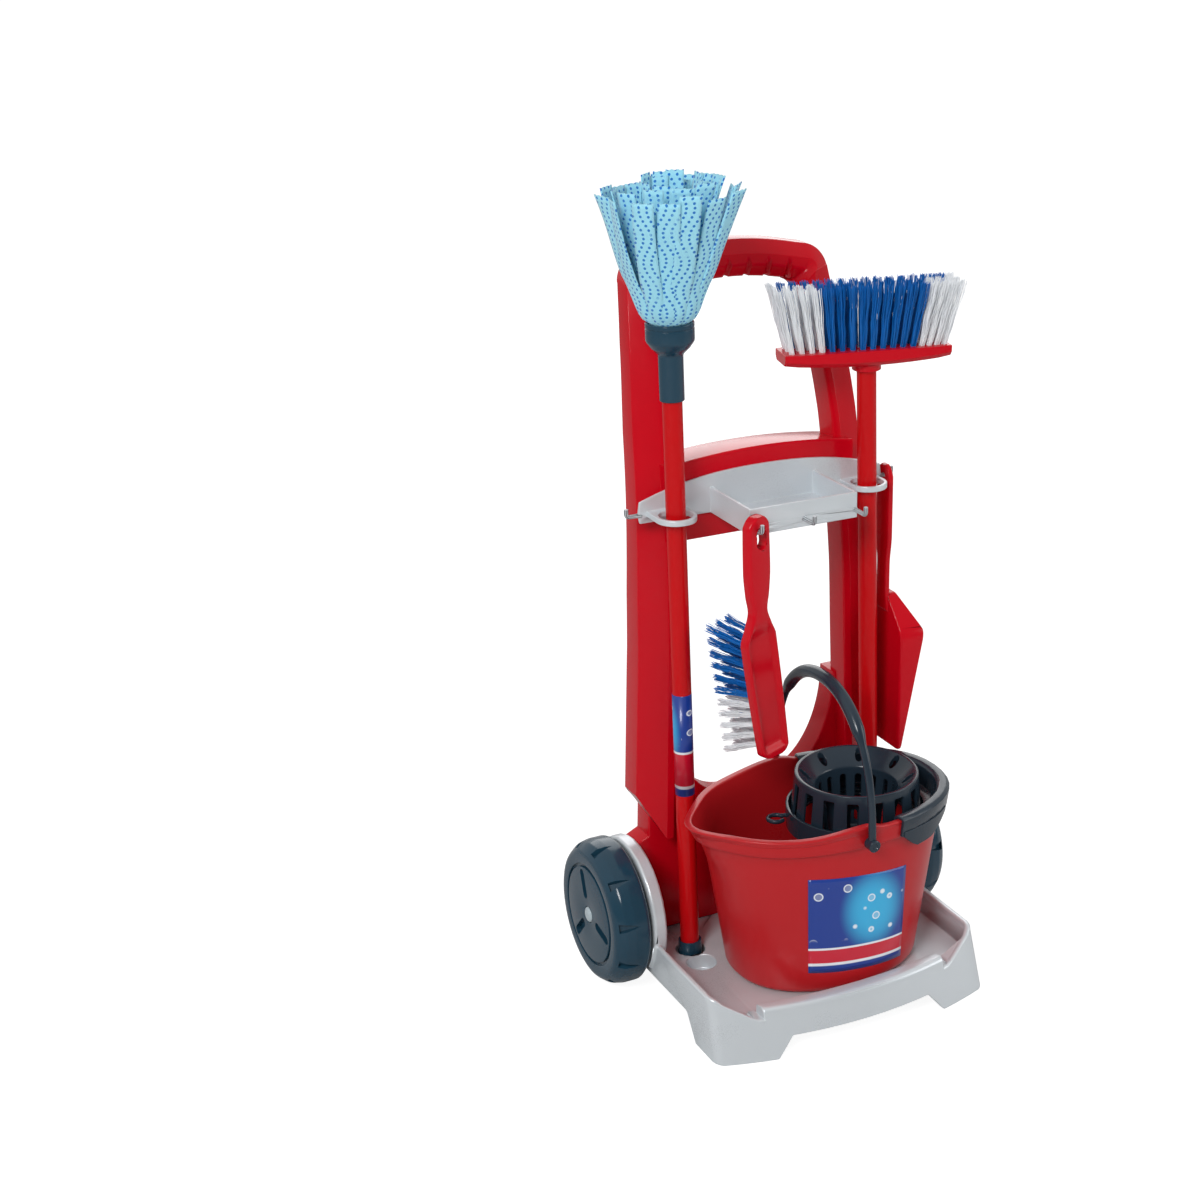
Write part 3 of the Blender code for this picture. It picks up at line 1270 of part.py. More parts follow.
def brush_bristles(part):
    """Upper or lower run of the brush's bristles, on the back of its body."""
    total = sum(BRUSH_COLUMNS)
    start = BRUSH_BODY_AT - BRISTLE_MARGIN_TOP
    run = BRUSH_LENGTH - BRISTLE_MARGIN_END - start
    pitch_x = run / total
    pitch_y = (BRUSH_BODY_WIDTH - 2 * BRISTLE_MARGIN_SIDE) / BRUSH_ROWS
    before = sum(BRUSH_COLUMNS[:part])
    columns = BRUSH_COLUMNS[part]
    along = start + (before + columns / 2) * pitch_x
    offset = (before + columns / 2 - total / 2) * pitch_x
    pad = bristle_pad(columns, BRUSH_ROWS, (pitch_x - 2 * GAP / columns, pitch_y), BRUSH_STRAND_WIDTH,
                      BRUSH_STRAND_LENGTH, lambda x: BRUSH_STRAND_FLARE * (x + offset),
                      lambda y: 2 * BRUSH_STRAND_FLARE * y, BRISTLE_SLICE)
    lift = BRUSH_THICK / 2 + GAP + BRISTLE_SLICE
    lay = Matrix(((0, 1, 0, 0), (0, 0, 1, 0), (-1, 0, 0, 0), (0, 0, 0, 1)))
    slant = Matrix.Rotation(-math.atan(BRUSH_BOW / (BRUSH_LENGTH - BRUSH_BODY_AT)), 4, "Y")
    seat = Matrix.Translation((brush_shift(along), lift, brush_top() - along))
    pad.transform(brush_frame() @ seat @ slant @ lay)
    return pad


# Dustpan

def pan_pivot():
    base, direction, reach = hook_places()[-1]
    return Vector((PAN_HANDLE_X + PAN_HANDLE_THICK / 2, base[1], base[2] + HOOK_RADIUS))


def pan_plan(inset):
    """Plan of the pan on its floor: lip at the bottom, neck at the top."""
    middle = pan_pivot().y
    lip, top, neck = PAN_HALF_WIDTH_LIP - inset, PAN_HALF_WIDTH_TOP - inset, PAN_NECK_WIDTH / 2 - inset / 2
    low = PAN_LIP_Z - (OVERSHOOT if inset else 0)
    right = [(lip, low), (top, PAN_SHOULDER_Z - inset / 2), (neck, PAN_NECK_Z - inset)]
    return [(middle + half, z) for half, z in right] + [(middle - half, z) for half, z in reversed(right)]


def dustpan():
    """Pan that hangs by its handle on the right-hand end hook, open side outwards."""
    pivot = pan_pivot()
    floor_out = PAN_FLOOR_X + PAN_FLOOR_THICK
    rim = floor_out + PAN_WALL_HEIGHT
    outer = prism(pan_plan(0.0), along_x, PAN_FLOOR_X, rim)
    hollow = prism(pan_plan(PAN_WALL), along_x, floor_out, rim + OVERSHOOT)
    lip_x = floor_out + PAN_LIP_RISE
    neck_x = floor_out + PAN_NECK_HEIGHT
    low, high, past = PAN_LIP_Z - OVERSHOOT, PAN_NECK_Z + OVERSHOOT, rim + OVERSHOOT
    slope = [(lip_x, low), (lip_x, PAN_LIP_Z), (rim, PAN_SHOULDER_Z), (neck_x, PAN_NECK_Z), (neck_x, high),
             (past, high), (past, low)]
    reach = PAN_HALF_WIDTH_TOP + OVERSHOOT
    body = cut(outer, hollow, prism(slope, along_y, pivot.y - reach, pivot.y + reach))
    neck, half, crest = PAN_NECK_WIDTH / 2, PAN_HANDLE_WIDTH / 2, PAN_HANDLE_TOP_Z
    edge = [(neck, PAN_NECK_Z - PAN_HANDLE_ROOT), (neck, PAN_NECK_Z + PAN_HANDLE_WAIST),
            (half, PAN_NECK_Z + PAN_HANDLE_GRIP), (half, crest - PAN_HANDLE_CROWN),
            (half * 0.7, crest - PAN_HANDLE_CROWN * 0.3), (half * 0.3, crest)]
    handle = [(pivot.y + y, z) for y, z in edge] + [(pivot.y - y, z) for y, z in reversed(edge)]
    grip = prism(handle, along_x, PAN_HANDLE_X, PAN_HANDLE_X + PAN_HANDLE_THICK)
    hole = slot_outline(pivot.y, pivot.z + HOOK_RADIUS * 0.2, PAN_HOLE_WIDTH, PAN_HOLE_LENGTH)
    return cut(join(body, grip), prism(hole, along_x, PAN_HANDLE_X - OVERSHOOT, rim + OVERSHOOT))


# Bucket

def bucket_point(angle, length, width, z, spout):
    """Point of the bucket's oval plan at an angle, with the pouring spout at its left end."""
    power = 2 / BUCKET_ROUNDNESS
    c, s = math.cos(angle), math.sin(angle)
    x = math.copysign(abs(c) ** power, c) * length
    y = math.copysign(abs(s) ** power, s) * width
    off = (abs(angle % math.tau - math.pi)) / SPOUT_WIDTH
    return Vector((BUCKET_X + x - spout * math.exp(-off * off), BUCKET_Y + y, z))


def bucket_half_sizes(z, grow):
    """Half length and half width of the tapering bucket at a height."""
    share = (z - FLOOR_Z) / (BUCKET_RIM_Z - FLOOR_Z)
    length = BUCKET_FOOT_LENGTH + share * (BUCKET_RIM_LENGTH - BUCKET_FOOT_LENGTH) + grow
    width = BUCKET_FOOT_WIDTH + share * (BUCKET_RIM_WIDTH - BUCKET_FOOT_WIDTH) + grow
    return length, width


def bucket_ring(z, grow=0.0):
    length, width = bucket_half_sizes(z, grow)
    spout = SPOUT_REACH * max(0.0, 1 - (BUCKET_RIM_Z - z) / SPOUT_FADE) ** 1.5
    turns = [math.tau * i / BUCKET_SIDES for i in range(BUCKET_SIDES)]
    return [bucket_point(a, length, width, z, spout) for a in turns]


def bucket_body():
    foot = FLOOR_Z + GAP
    band = BUCKET_RIM_Z - BUCKET_BAND
    step = BUCKET_BAND_STEP
    wall = BUCKET_WALL
    mids = [band - SPOUT_FADE * share for share in (0.75, 0.45, 0.2)]
    rings = [bucket_ring(foot, -BUCKET_FOOT_ROUND),
             bucket_ring(foot + BUCKET_FOOT_ROUND * 0.35, -BUCKET_FOOT_ROUND * 0.3),
             bucket_ring(foot + BUCKET_FOOT_ROUND)]
    rings += [bucket_ring(z) for z in mids]
    rings += [bucket_ring(band), bucket_ring(band, step), bucket_ring(BUCKET_RIM_Z - BUCKET_RIM_EDGE, step),
              bucket_ring(BUCKET_RIM_Z, step - BUCKET_RIM_CHAMFER),
              bucket_ring(BUCKET_RIM_Z, -wall + BUCKET_INNER_CHAMFER),
              bucket_ring(BUCKET_RIM_Z - BUCKET_INNER_EDGE, -wall)]
    rings += [bucket_ring(z, -wall) for z in reversed(mids)]
    rings += [bucket_ring(foot + BUCKET_FOOT_ROUND, -wall),
              bucket_ring(foot + wall, -wall - BUCKET_FOOT_ROUND)]
    body = loft(rings)
    for side in (-1, 1):
        inner = bail_pivot_y(side) - side * BAIL_HOLE_DEPTH
        outer = bail_pivot_y(side) + side * OVERSHOOT
        body = cut(body, rod((BAIL_X, inner, BAIL_PIVOT_Z), (BAIL_X, outer, BAIL_PIVOT_Z),
                             BAIL_PIN_RADIUS + SLIDE_PLAY, PIN_ROUND))
    return body


def bail_pivot_y(side):
    """Outer face of the bucket's band where the bail is pinned."""
    length, width = bucket_half_sizes(BAIL_PIVOT_Z, BUCKET_BAND_STEP)
    along = abs(BAIL_X - BUCKET_X) / length
    return BUCKET_Y + side * width * (1 - along ** BUCKET_ROUNDNESS) ** (1 / BUCKET_ROUNDNESS)


def bail():
    """Carrying handle: thin legs, a thick grip and a pinned boss at each end."""
    half = (bail_pivot_y(1) - bail_pivot_y(-1)) / 2 + BAIL_STANDOFF
    steps = 28
    points, radii = [], []
    for k in range(steps + 1):
        angle = math.pi * k / steps
        reach = half * math.copysign(abs(math.cos(angle)) ** 0.92, math.cos(angle))
        points.append((BAIL_X, BUCKET_Y - reach, BAIL_PIVOT_Z + BAIL_RISE * math.sin(angle) ** 0.86))
        thick = abs(angle - math.pi / 2) < BAIL_GRIP_SWEEP
        radii.append(BAIL_GRIP_RADIUS if thick else BAIL_RADIUS)
    body = sweep(points, radii, 10)
    for side in (-1, 1):
        face = bail_pivot_y(side)
        near = face + side * (SLIDE_PLAY + GAP)
        boss = rod((BAIL_X, near, BAIL_PIVOT_Z), (BAIL_X, near + side * BAIL_BOSS_THICK, BAIL_PIVOT_Z),
                   BAIL_BOSS_RADIUS, PIN_ROUND)
        inner = face - side * (BUCKET_WALL + BUCKET_BAND_STEP - BAIL_PIN_SHORT)
        pin = rod((BAIL_X, inner, BAIL_PIVOT_Z), (BAIL_X, near + side * BAIL_PIN_ROOT, BAIL_PIVOT_Z),
                  BAIL_PIN_RADIUS, PIN_ROUND)
        body = join(body, boss, pin)
    return body


# Wringer

def collar_ring(z, grow):
    """Run of the bucket's rim that the collar covers."""
    length, width = bucket_half_sizes(z, grow)
    turns = [math.tau * i / BUCKET_SIDES for i in range(COLLAR_STEPS[0], COLLAR_STEPS[1] + 1)]
    return [bucket_point(a, length, width, z, 0) for a in turns]


def collar():
    """Upside-down channel that clips over the right half of the rim."""
    top = BUCKET_RIM_Z + GAP
    inner, outer = -BUCKET_WALL - GAP, BUCKET_BAND_STEP + GAP
    low = BUCKET_RIM_Z - COLLAR_OVERHANG + COLLAR_LIP
    deep = WELL_TOP_Z - COLLAR_SEAT
    crest = top + COLLAR_THICK
    outside, inside = outer + COLLAR_THICK, inner - COLLAR_THICK
    section = [(low, outer), (low, outside), (top, outside), (crest, outer), (crest, inner), (top, inside),
               (deep, inside), (deep, inner), (top, inner), (top, outer)]
    lines = [collar_ring(z, grow) for z, grow in section]
    return loft(zip(*lines))


def collar_tab():
    """Pointed tongue at the front end of the collar."""
    low = BUCKET_RIM_Z - COLLAR_OVERHANG + COLLAR_LIP
    inner = collar_ring(low, BUCKET_BAND_STEP + 2 * GAP)[1:6]
    outer = collar_ring(low, BUCKET_BAND_STEP + 2 * GAP + COLLAR_THICK * 0.6)[1:6]
    rings = []
    for near, far, drop in zip(inner, outer, (0.08, 0.55, 1.0, 0.55, 0.08)):
        top, foot = low + COLLAR_SEAT, low - TAB_DROP * drop
        corners = ((near, top), (far, top), (far, foot), (near, foot))
        rings.append([Vector((point.x, point.y, z)) for point, z in corners])
    return loft(rings)


def well_radius():
    return WRINGER_SKIRT_RADIUS + WELL_PLAY


def wringer_carrier():
    """Collar, web and round well that holds the wringer in the bucket."""
    radius = well_radius()
    z = WELL_TOP_Z - WEB_THICK
    length, width = bucket_half_sizes(z, -BUCKET_WALL - COLLAR_THICK * 0.6)
    limit = math.acos(((WEB_START_X - BUCKET_X) / length) ** (BUCKET_ROUNDNESS / 2))
    angles = [-limit + 2 * limit * i / 16 for i in range(17)]
    plan = [bucket_point(a, length, width, z, 0) for a in angles]
    web = loft([[Vector((p.x, p.y, level)) for p in plan] for level in (z, WELL_TOP_Z)])
    centre = (WRINGER_X, BUCKET_Y)
    web = cut(web, rod((*centre, z - OVERSHOOT), (*centre, z + OVERSHOOT), radius + WELL_WALL / 2,
                       WELL_ROUND))
    ledge = WELL_LEDGE + WELL_PLAY
    ledge_z = WELL_FOOT_Z + WELL_WALL
    profile = [(radius, WELL_TOP_Z), (radius + WELL_WALL, WELL_TOP_Z), (radius + WELL_WALL, WELL_FOOT_Z),
               (radius - ledge, WELL_FOOT_Z), (radius - ledge, ledge_z), (radius, ledge_z)]
    ring = turned(profile, WELL_ROUND, Matrix.Translation((*centre, 0)), closed=True)
    return join(collar(), collar_tab(), web, ring, clip_hook())


def clip_hook():
    """Small open hook on the left of the well."""
    radius = CLIP_RADIUS
    x = WRINGER_X - well_radius() - WELL_WALL - radius + CLIP_BAR_RADIUS / 2
    y = BUCKET_Y + CLIP_OFFSET_Y
    z = (WELL_TOP_Z + WELL_FOOT_Z) / 2
    angles = [math.radians(20 + 290 * k / 14) for k in range(15)]
    points = [(x + radius * math.cos(a), y + radius * math.sin(a), z) for a in angles]
    start = (x + radius + CLIP_ROOT, points[0][1] - CLIP_BAR_RADIUS / 2, z)
    return sweep([start, *points], [CLIP_BAR_RADIUS] * (len(points) + 1), 8)


def wringer_basket():
    """Wringer: funnel top, slotted skirt and slotted inner basket in one moulding."""
    wall = WRINGER_WALL
    rim, top = WRINGER_RIM_RADIUS, WRINGER_TOP_Z
    basket, floor = WRINGER_BASKET_RADIUS, WRINGER_BASKET_Z
    profile = [(WRINGER_SKIRT_RADIUS, WRINGER_SKIRT_Z), (rim, top - WRINGER_RIM_EDGE),
               (rim - WRINGER_RIM_EDGE, top), (rim - WRINGER_RIM_WIDTH, top - WRINGER_RIM_DIP),
               (WRINGER_MOUTH_RADIUS, WRINGER_MOUTH_Z), (basket, floor + wall),
               (0, floor + wall), (0, floor), (basket + wall, floor),
               (WRINGER_MOUTH_RADIUS + wall, WRINGER_MOUTH_Z - wall), (rim - wall, top - WRINGER_RIM_THICK),
               (WRINGER_SKIRT_RADIUS - wall, WRINGER_SKIRT_Z)]
    place_at = Matrix.Translation((WRINGER_X, BUCKET_Y, 0))
    bm = turned(profile, BASKET_ROUND, place_at, closed=True)
    half = WRINGER_SLOT_WIDTH / 2
    half_inner = WRINGER_INNER_SLOT / 2
    middle = (rim + WRINGER_MOUTH_RADIUS) / 2
    slots, inner_slots, drains = [], [], []
    for k in range(WRINGER_SLOTS):
        turn = place_at @ Matrix.Rotation(math.tau * (k + 0.5) / WRINGER_SLOTS, 4, "Z")
        slot = box((rim - WRINGER_SLOT_BITE, -half, WRINGER_SLOT_FOOT_Z),
                   (WRINGER_SKIRT_RADIUS + OVERSHOOT, half, WRINGER_SLOT_TOP_Z))
        slots.append((slot, turn))
        if k % 2:
            continue
        inner = box((basket - WRINGER_SLOT_BITE, -half_inner, floor + WRINGER_INNER_SLOT_FOOT),
                    (WRINGER_MOUTH_RADIUS + WRINGER_INNER_SLOT_REACH, half_inner,
                     WRINGER_MOUTH_Z - WRINGER_INNER_SLOT_TOP))
        inner_slots.append((inner, turn))
        drain = rod((middle, 0, WRINGER_MOUTH_Z - WRINGER_RIM_THICK), (middle, 0, top + OVERSHOOT),
                    WRINGER_HOLE_RADIUS, SCREW_ROUND)
        drains.append((drain, turn))
    for run in (slots, inner_slots, drains):
        for tool, turn in run:
            tool.transform(turn)
        bm = cut(bm, gathered([tool for tool, turn in run]))
    return bm


# Assembly

def clear_scene():
    for item in list(bpy.data.objects):
        bpy.data.objects.remove(item)


def set_down(root):
    """Put the origin below the middle of the trolley's box."""
    bpy.context.view_layer.update()
    corners = [piece.matrix_world @ vertex.co for piece in root.children for vertex in piece.data.vertices]
    root.location.x = -(min(c.x for c in corners) + max(c.x for c in corners)) / 2
    root.location.y = -(min(c.y for c in corners) + max(c.y for c in corners)) / 2


def build():
    clear_scene()
    root = bpy.data.objects.new("trolley", None)
    bpy.context.scene.collection.objects.link(root)

    red = plastic("red_plastic", (0.50, 0.004, 0.012), 0.25)
    bucket_red = plastic("bucket_red_plastic", (0.47, 0.014, 0.022), 0.35)
    stick_red = plastic("painted_stick", (0.53, 0.004, 0.008), 0.22)
    silver = plastic("silver_plastic", (0.50, 0.53, 0.55), 0.35, 0.3)
    slate = plastic("slate_plastic", (0.02, 0.05, 0.07), 0.35)
    black = plastic("dark_plastic", (0.013, 0.022, 0.03), 0.3)
    grey = plastic("grey_cap", (0.42, 0.47, 0.50), 0.4)
    steel = plastic("steel", (0.55, 0.55, 0.56), 0.3, 1.0)
    cloth = plastic("mop_cloth", (0.29, 0.63, 0.80), 0.9)
    blue = plastic("blue_bristle", (0.002, 0.06, 0.27), 0.5)
    white = plastic("white_bristle", (0.62, 0.67, 0.72), 0.5)

    place("base_tray", base_tray(), silver, root)
    place("push_frame", push_frame(), red, root)
    place("shelf", shelf(), silver, root)
    for name, side in (("left", -1), ("right", 1)):
        hub = (side * WHEEL_OUTER_X, AXLE_Y, WHEEL_RADIUS)
        place(f"axle_pin_{name}", axle(side), steel, root)
        place(f"wheel_{name}", wheel(side), slate, root, hub)
        place(f"hub_cap_{name}", hub_cap(side), grey, root, hub)
    for k, (x, y) in enumerate(panel_screw_places(), 1):
        head = FLOOR_Z - FLOOR_THICK - GAP - SCREW_HEAD_THICK
        tip = FLOOR_Z + SCREW_LENGTH - SCREW_TIP_ROOM
        place(f"frame_screw_{k}", screw((x, y, head), (x, y, tip)), steel, root)
    for name, side in (("left", -1), ("right", 1)):
        x = side * SHELF_SCREW_X
        head = CROSSBAR_BACK_Y - SHELF_SCREW_SINK + GAP + SCREW_HEAD_THICK
        tip = SHELF_WALL_Y + SHELF_WALL + GAP
        place(f"shelf_screw_{name}", screw((x, head, SHELF_SCREW_Z), (x, tip, SHELF_SCREW_Z)), steel, root)

    bucket_seat = (BUCKET_X, BUCKET_Y, FLOOR_Z)
    place("bucket", bucket_body(), bucket_red, root, bucket_seat)
    place("wringer_carrier", wringer_carrier(), black, root, bucket_seat)
    place("wringer_basket", wringer_basket(), black, root, (WRINGER_X, BUCKET_Y, WRINGER_SKIRT_Z))
    place("bucket_bail", bail(), black, root, (BAIL_X, BUCKET_Y, BAIL_PIVOT_Z))

    mop_seat = mop_axis(CUP_FLOOR_Z)
    place("mop_stick", stick(mop_axis, MOP_STICK_TOP_Z), stick_red, root, mop_seat)
    place("mop_end_cap", stick_cap(mop_axis), slate, root, mop_seat)
    place("mop_socket", mop_socket(), slate, root, mop_seat)
    place("mop_strips", mop_strips(), cloth, root, mop_seat)

    broom_seat = broom_axis(CUP_FLOOR_Z)
    place("broom_stick", stick(broom_axis, BROOM_STICK_TOP_Z), stick_red, root, broom_seat)
    place("broom_end_cap", stick_cap(broom_axis), slate, root, broom_seat)
    place("broom_head", broom_head(), red, root, broom_seat)
    place("broom_bristles_left", broom_bristles(0), white, root, broom_seat)
    place("broom_bristles_middle", broom_bristles(1), blue, root, broom_seat)
    place("broom_bristles_right", broom_bristles(2), white, root, broom_seat)

    place("brush_body", brush_body(), red, root, brush_pivot())
    place("brush_bristles_upper", brush_bristles(0), blue, root, brush_pivot())
    place("brush_bristles_lower", brush_bristles(1), white, root, brush_pivot())
    place("dustpan", dustpan(), red, root, pan_pivot())
    set_down(root)


build()
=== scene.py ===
import json
import math
import random

import bmesh
import bpy
from bpy.props import FloatProperty, FloatVectorProperty, IntProperty, PointerProperty
from mathutils import Matrix, Vector


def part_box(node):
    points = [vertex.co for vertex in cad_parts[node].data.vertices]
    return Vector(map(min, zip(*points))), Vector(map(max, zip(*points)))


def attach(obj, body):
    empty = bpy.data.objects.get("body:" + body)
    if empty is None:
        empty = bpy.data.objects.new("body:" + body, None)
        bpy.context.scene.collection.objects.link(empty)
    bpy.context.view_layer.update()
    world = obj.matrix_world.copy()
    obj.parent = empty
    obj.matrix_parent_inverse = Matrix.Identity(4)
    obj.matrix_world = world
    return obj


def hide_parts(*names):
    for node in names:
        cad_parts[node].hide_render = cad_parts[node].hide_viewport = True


bl_info = {
    "name": "Toy cleaning trolley",
    "version": (1, 0, 0),
    "blender": (4, 5, 0),
    "location": "3D View > Sidebar > Trolley",
    "description": "Dresses the toy cleaning trolley: mouldings, bucket, mop, broom, brush and studio",
    "category": "Object",
}

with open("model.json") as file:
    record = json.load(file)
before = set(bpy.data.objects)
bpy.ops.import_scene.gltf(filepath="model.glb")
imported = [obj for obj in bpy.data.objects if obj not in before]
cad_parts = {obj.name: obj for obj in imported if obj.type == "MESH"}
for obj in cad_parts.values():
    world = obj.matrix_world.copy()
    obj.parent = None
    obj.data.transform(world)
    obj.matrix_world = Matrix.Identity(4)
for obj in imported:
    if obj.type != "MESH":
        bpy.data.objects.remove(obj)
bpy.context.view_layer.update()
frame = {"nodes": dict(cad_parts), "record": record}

# Depths and widths below are written from the shelf's fixing plane, as the solids are. The frame
# says where the finished trolley was set down.
AXLE_Y = -0.0039
WHEEL_BOXES = (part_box("wheel_left"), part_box("wheel_right"))
SET_DOWN = Vector(((WHEEL_BOXES[0][0].x + WHEEL_BOXES[1][1].x) / 2,
                   (WHEEL_BOXES[0][0].y + WHEEL_BOXES[0][1].y) / 2 - AXLE_Y, 0))
PLACE = Matrix.Translation(SET_DOWN)
PAST = 0.002                    # how far a cutting tool reaches beyond its body
SLIVER = 0.000002               # shorter edges are closed up
WELD = 0.00002
FLAT_ANGLE = 0.6                # degrees; faces that turn less are one face
BROAD_FACE = 8                  # faces with more corners are cut into triangles
EDGE_ANGLE = 28                 # degrees; a flatter edge isn't rounded
FILLET_LEAST = 0.0002
FILLET_ROOM = 0.45              # share of a side that one rounded corner may take
FILM_THICK = 0.0002
FILM_LIFT = (0.00025, 0.00012)  # of the bucket's label and the stick's film
PLATE_EDGE = 0.0014

# Push frame
FRAME_EDGE = ((0.1520, 0.1064), (0.27, 0.1016), (0.315, 0.1008), (0.39, 0.0976), (0.438, 0.0959),
              (0.46, 0.0942), (0.504, 0.0901), (0.548, 0.0847))     # (height, half width)
FRAME_LOW_Z = FRAME_EDGE[0][0]
FRAME_SECOND_Z = FRAME_EDGE[1][0]
FRAME_RIDGE_END_Z = 0.1150
FRAME_LEAN_Z = 0.260
FRAME_TOP_LEAN = 0.0511
FRAME_LEAN_POWER = 2.5
FRAME_FRONT_Y = -0.0045
FRAME_TOP_Z = 0.570
FRAME_TOP_ARCH = 0.008
FRAME_CORNER_RADIUS = 0.019
FRAME_INNER_RADIUS = 0.004
FRAME_DEPTH_LOW = 0.0225
FRAME_DEPTH_TOP = 0.0170
RIDGE_OFFSET = 0.0212
RIDGE_FLAT = 0.0065
RIDGE_RISE = 0.0103
INNER_BACK = 0.0125
GRIP_NOTCHES = 7
GRIP_NOTCH_PITCH = 0.0170
GRIP_NOTCH_RADIUS = 0.0029
GRIP_RIDGE = 0.0100
GRIP_BELLY = 0.0185
GRIP_FADE = 0.0200              # height over which the upright turns into the grip
GRIP_CREST = 0.0012             # how far the grip's front edge and underside lie behind its crest
GRIP_UNDER = 0.0055
FRAME_ROUNDS = (0.0016, 0.0013, 0.0011, 0.0060, 0.0013, 0.0016)    # of the bar's corners
GRIP_UNDER_ROUND = 0.0030
CORNER_MARGIN = 0.0003
PANEL_FOOT_HALF_WIDTH = 0.1068
PANEL_HALF_WIDTH = 0.0945
PANEL_SHOULDER_Z = 0.112
PANEL_SLOPE = 0.006
PANEL_FOOT_Z = 0.0263
PANEL_DEPTH = 0.022
PANEL_DIP_Z = 0.135
PANEL_DIP_HALF_WIDTH = 0.020
PANEL_HORN_Z = 0.220
PANEL_HORN_X = 0.0735
PANEL_HORN_INSET = 0.004
CROSSBAR_LOW_Z = 0.360
CROSSBAR_TOP_Z = 0.4252
CROSSBAR_ARCH = 0.0060
CROSSBAR_HALF_WIDTH = 0.080
CROSSBAR_FRONT_Y = -0.0150
CROSSBAR_BACK_Y = (0.0120, 0.0240, 0.0260)      # at the foot, the heel and the top
CROSSBAR_HEEL = 0.0200
CROSSBAR_FALL = 0.0040
CROSSBAR_EDGE = 0.0012
CROSSBAR_ROUNDS = (0.0012, 0.0020, 0.0090, 0.0030, 0.0010, 0.0010)
SCREW_HEAD_THICK = 0.0020
SCREW_SEAT_RADIUS = 0.0039
SCREW_SEAT_REACH = 0.020

# Base tray
BASE_HALF_WIDTH = 0.1188
BASE_SIDE_DRAFT = 0.0013
BASE_CORNER_Y = -0.1644
BASE_CORNER_LEAN = 0.0172
BASE_CORNER_RUN = 0.0085
CORNER_LIFT = 0.00025
CORNER_STEPS = 7
CORNER_BACK_Y = -0.1300
BASE_FRONT_BOW = 0.022
BASE_FRONT_STEPS = 14
BASE_RIM_Z = 0.0485
TRAY_FRONT_Y = -0.1500
SILL_HALF_WIDTH = 0.0798
SILL_CUT_Z = 0.0335
SILL_TOP_Z = 0.0378
SILL_BACK_DROP = 0.0012
SILL_INNER_Y = -0.1592
SILL_INNER_BOW = 0.0075
SILL_ROUND = (0.0050, 0.0020)   # lip and back edge
SILL_FOOT_Z = (0.0240, 0.0255)
SILL_STEPS = 28
RIM_START_Y = 0.0540            # ahead of the axle, inside the wheel housing
RIM_ROUND = 0.0018
RIM_FLAT = 0.0011
RIM_PROUD = 0.0003
RIM_FOOT = ((-0.0022, -0.0100), (-0.0005, -0.0080))
NOTCH_X = 0.0850
NOTCH_Z = 0.0300
NOTCH_END_X = 0.0785
RIM_CUT = 0.0024
FENDER_RADIUS = 0.0565
FENDER_INNER_X = 0.1075
TRAY_EDGE_SHARES = (0.26, 0.62)     # of the tray's edge rounding: plain edges and wheel housings
HOUSING_MARGINS = (0.0005, 0.0008)  # across and round the wheel housing

# Wheels
WHEEL_RADIUS = 0.0585
WHEEL_WIDTH = 0.0285
WHEEL_OUTER_X = 0.1501
WHEEL_SHOULDER = 0.0075
WHEEL_DISC_RADIUS = 0.0415
WHEEL_GROOVE = 0.0026
WHEEL_HUB_RADIUS = 0.0085
WHEEL_BORE = 0.0036
WHEEL_CAP_SEAT = 0.0066
WHEEL_CAP_DEPTH = 0.0024
WHEEL_RIM_THICK = 0.010
WHEEL_RECESS = 0.015
WHEEL_SLOTS = 3
WHEEL_SLOT_RUN = (0.0130, 0.0370)
WHEEL_SLOT_WIDTH = 0.0072
WHEEL_SLOT_TURN = math.radians(-18)
WHEEL_SLOT_DEPTH = 0.0040
WHEEL_NOTCHES = 10
WHEEL_NOTCH_PHASE = 0.15
WHEEL_NOTCH_RUN = (0.0030, 0.0190)
WHEEL_NOTCH_HALF_WIDTH = 0.0052
WHEEL_NOTCH_DEPTH = 0.0085
WHEEL_NOTCH_TAPER = (0.06, 0.55)    # shares of the half width at the far end and at the foot
WHEEL_CENTRE = Matrix.Translation((0, AXLE_Y, WHEEL_RADIUS))

# Wringer
WRINGER_X = 0.0415
WRINGER_TOP_Z = 0.1777
WRINGER_RIM_RADIUS = 0.0481
WRINGER_SKIRT_RADIUS = 0.0515
WRINGER_SKIRT_Z = 0.1400
WRINGER_MOUTH_RADIUS = 0.0320
WRINGER_MOUTH_Z = 0.1655
WRINGER_BASKET_RADIUS = 0.0260
WRINGER_BASKET_Z = 0.1150
WRINGER_WALL = 0.0020
WRINGER_SLOTS = 16
WRINGER_SLOT_WIDTH = 0.0088
WRINGER_SLOT_Z = (0.1435, 0.1715)
WRINGER_INNER_SLOT = 0.0050
WRINGER_INNER_SLOT_Z = (0.1210, 0.1600)
WRINGER_HOLES = 8
WRINGER_HOLE = (0.0046, 0.0032)
WRINGER_CUT = 0.0060            # depth of the cutters behind the faces that they open

# Tab of the wringer's collar
TAB_ANGLES = (-74, -36.5)       # degrees round the bucket, from its right end
TAB_RISE = 0.22                 # shares of the tab's run
TAB_FALL = 0.44
TAB_TOP_Z = 0.1545
TAB_LOW_Z = 0.1505
TAB_DROP = 0.0118
TAB_GROW = (0.0030, 0.0058)     # from the bucket's wall to the tab's two faces

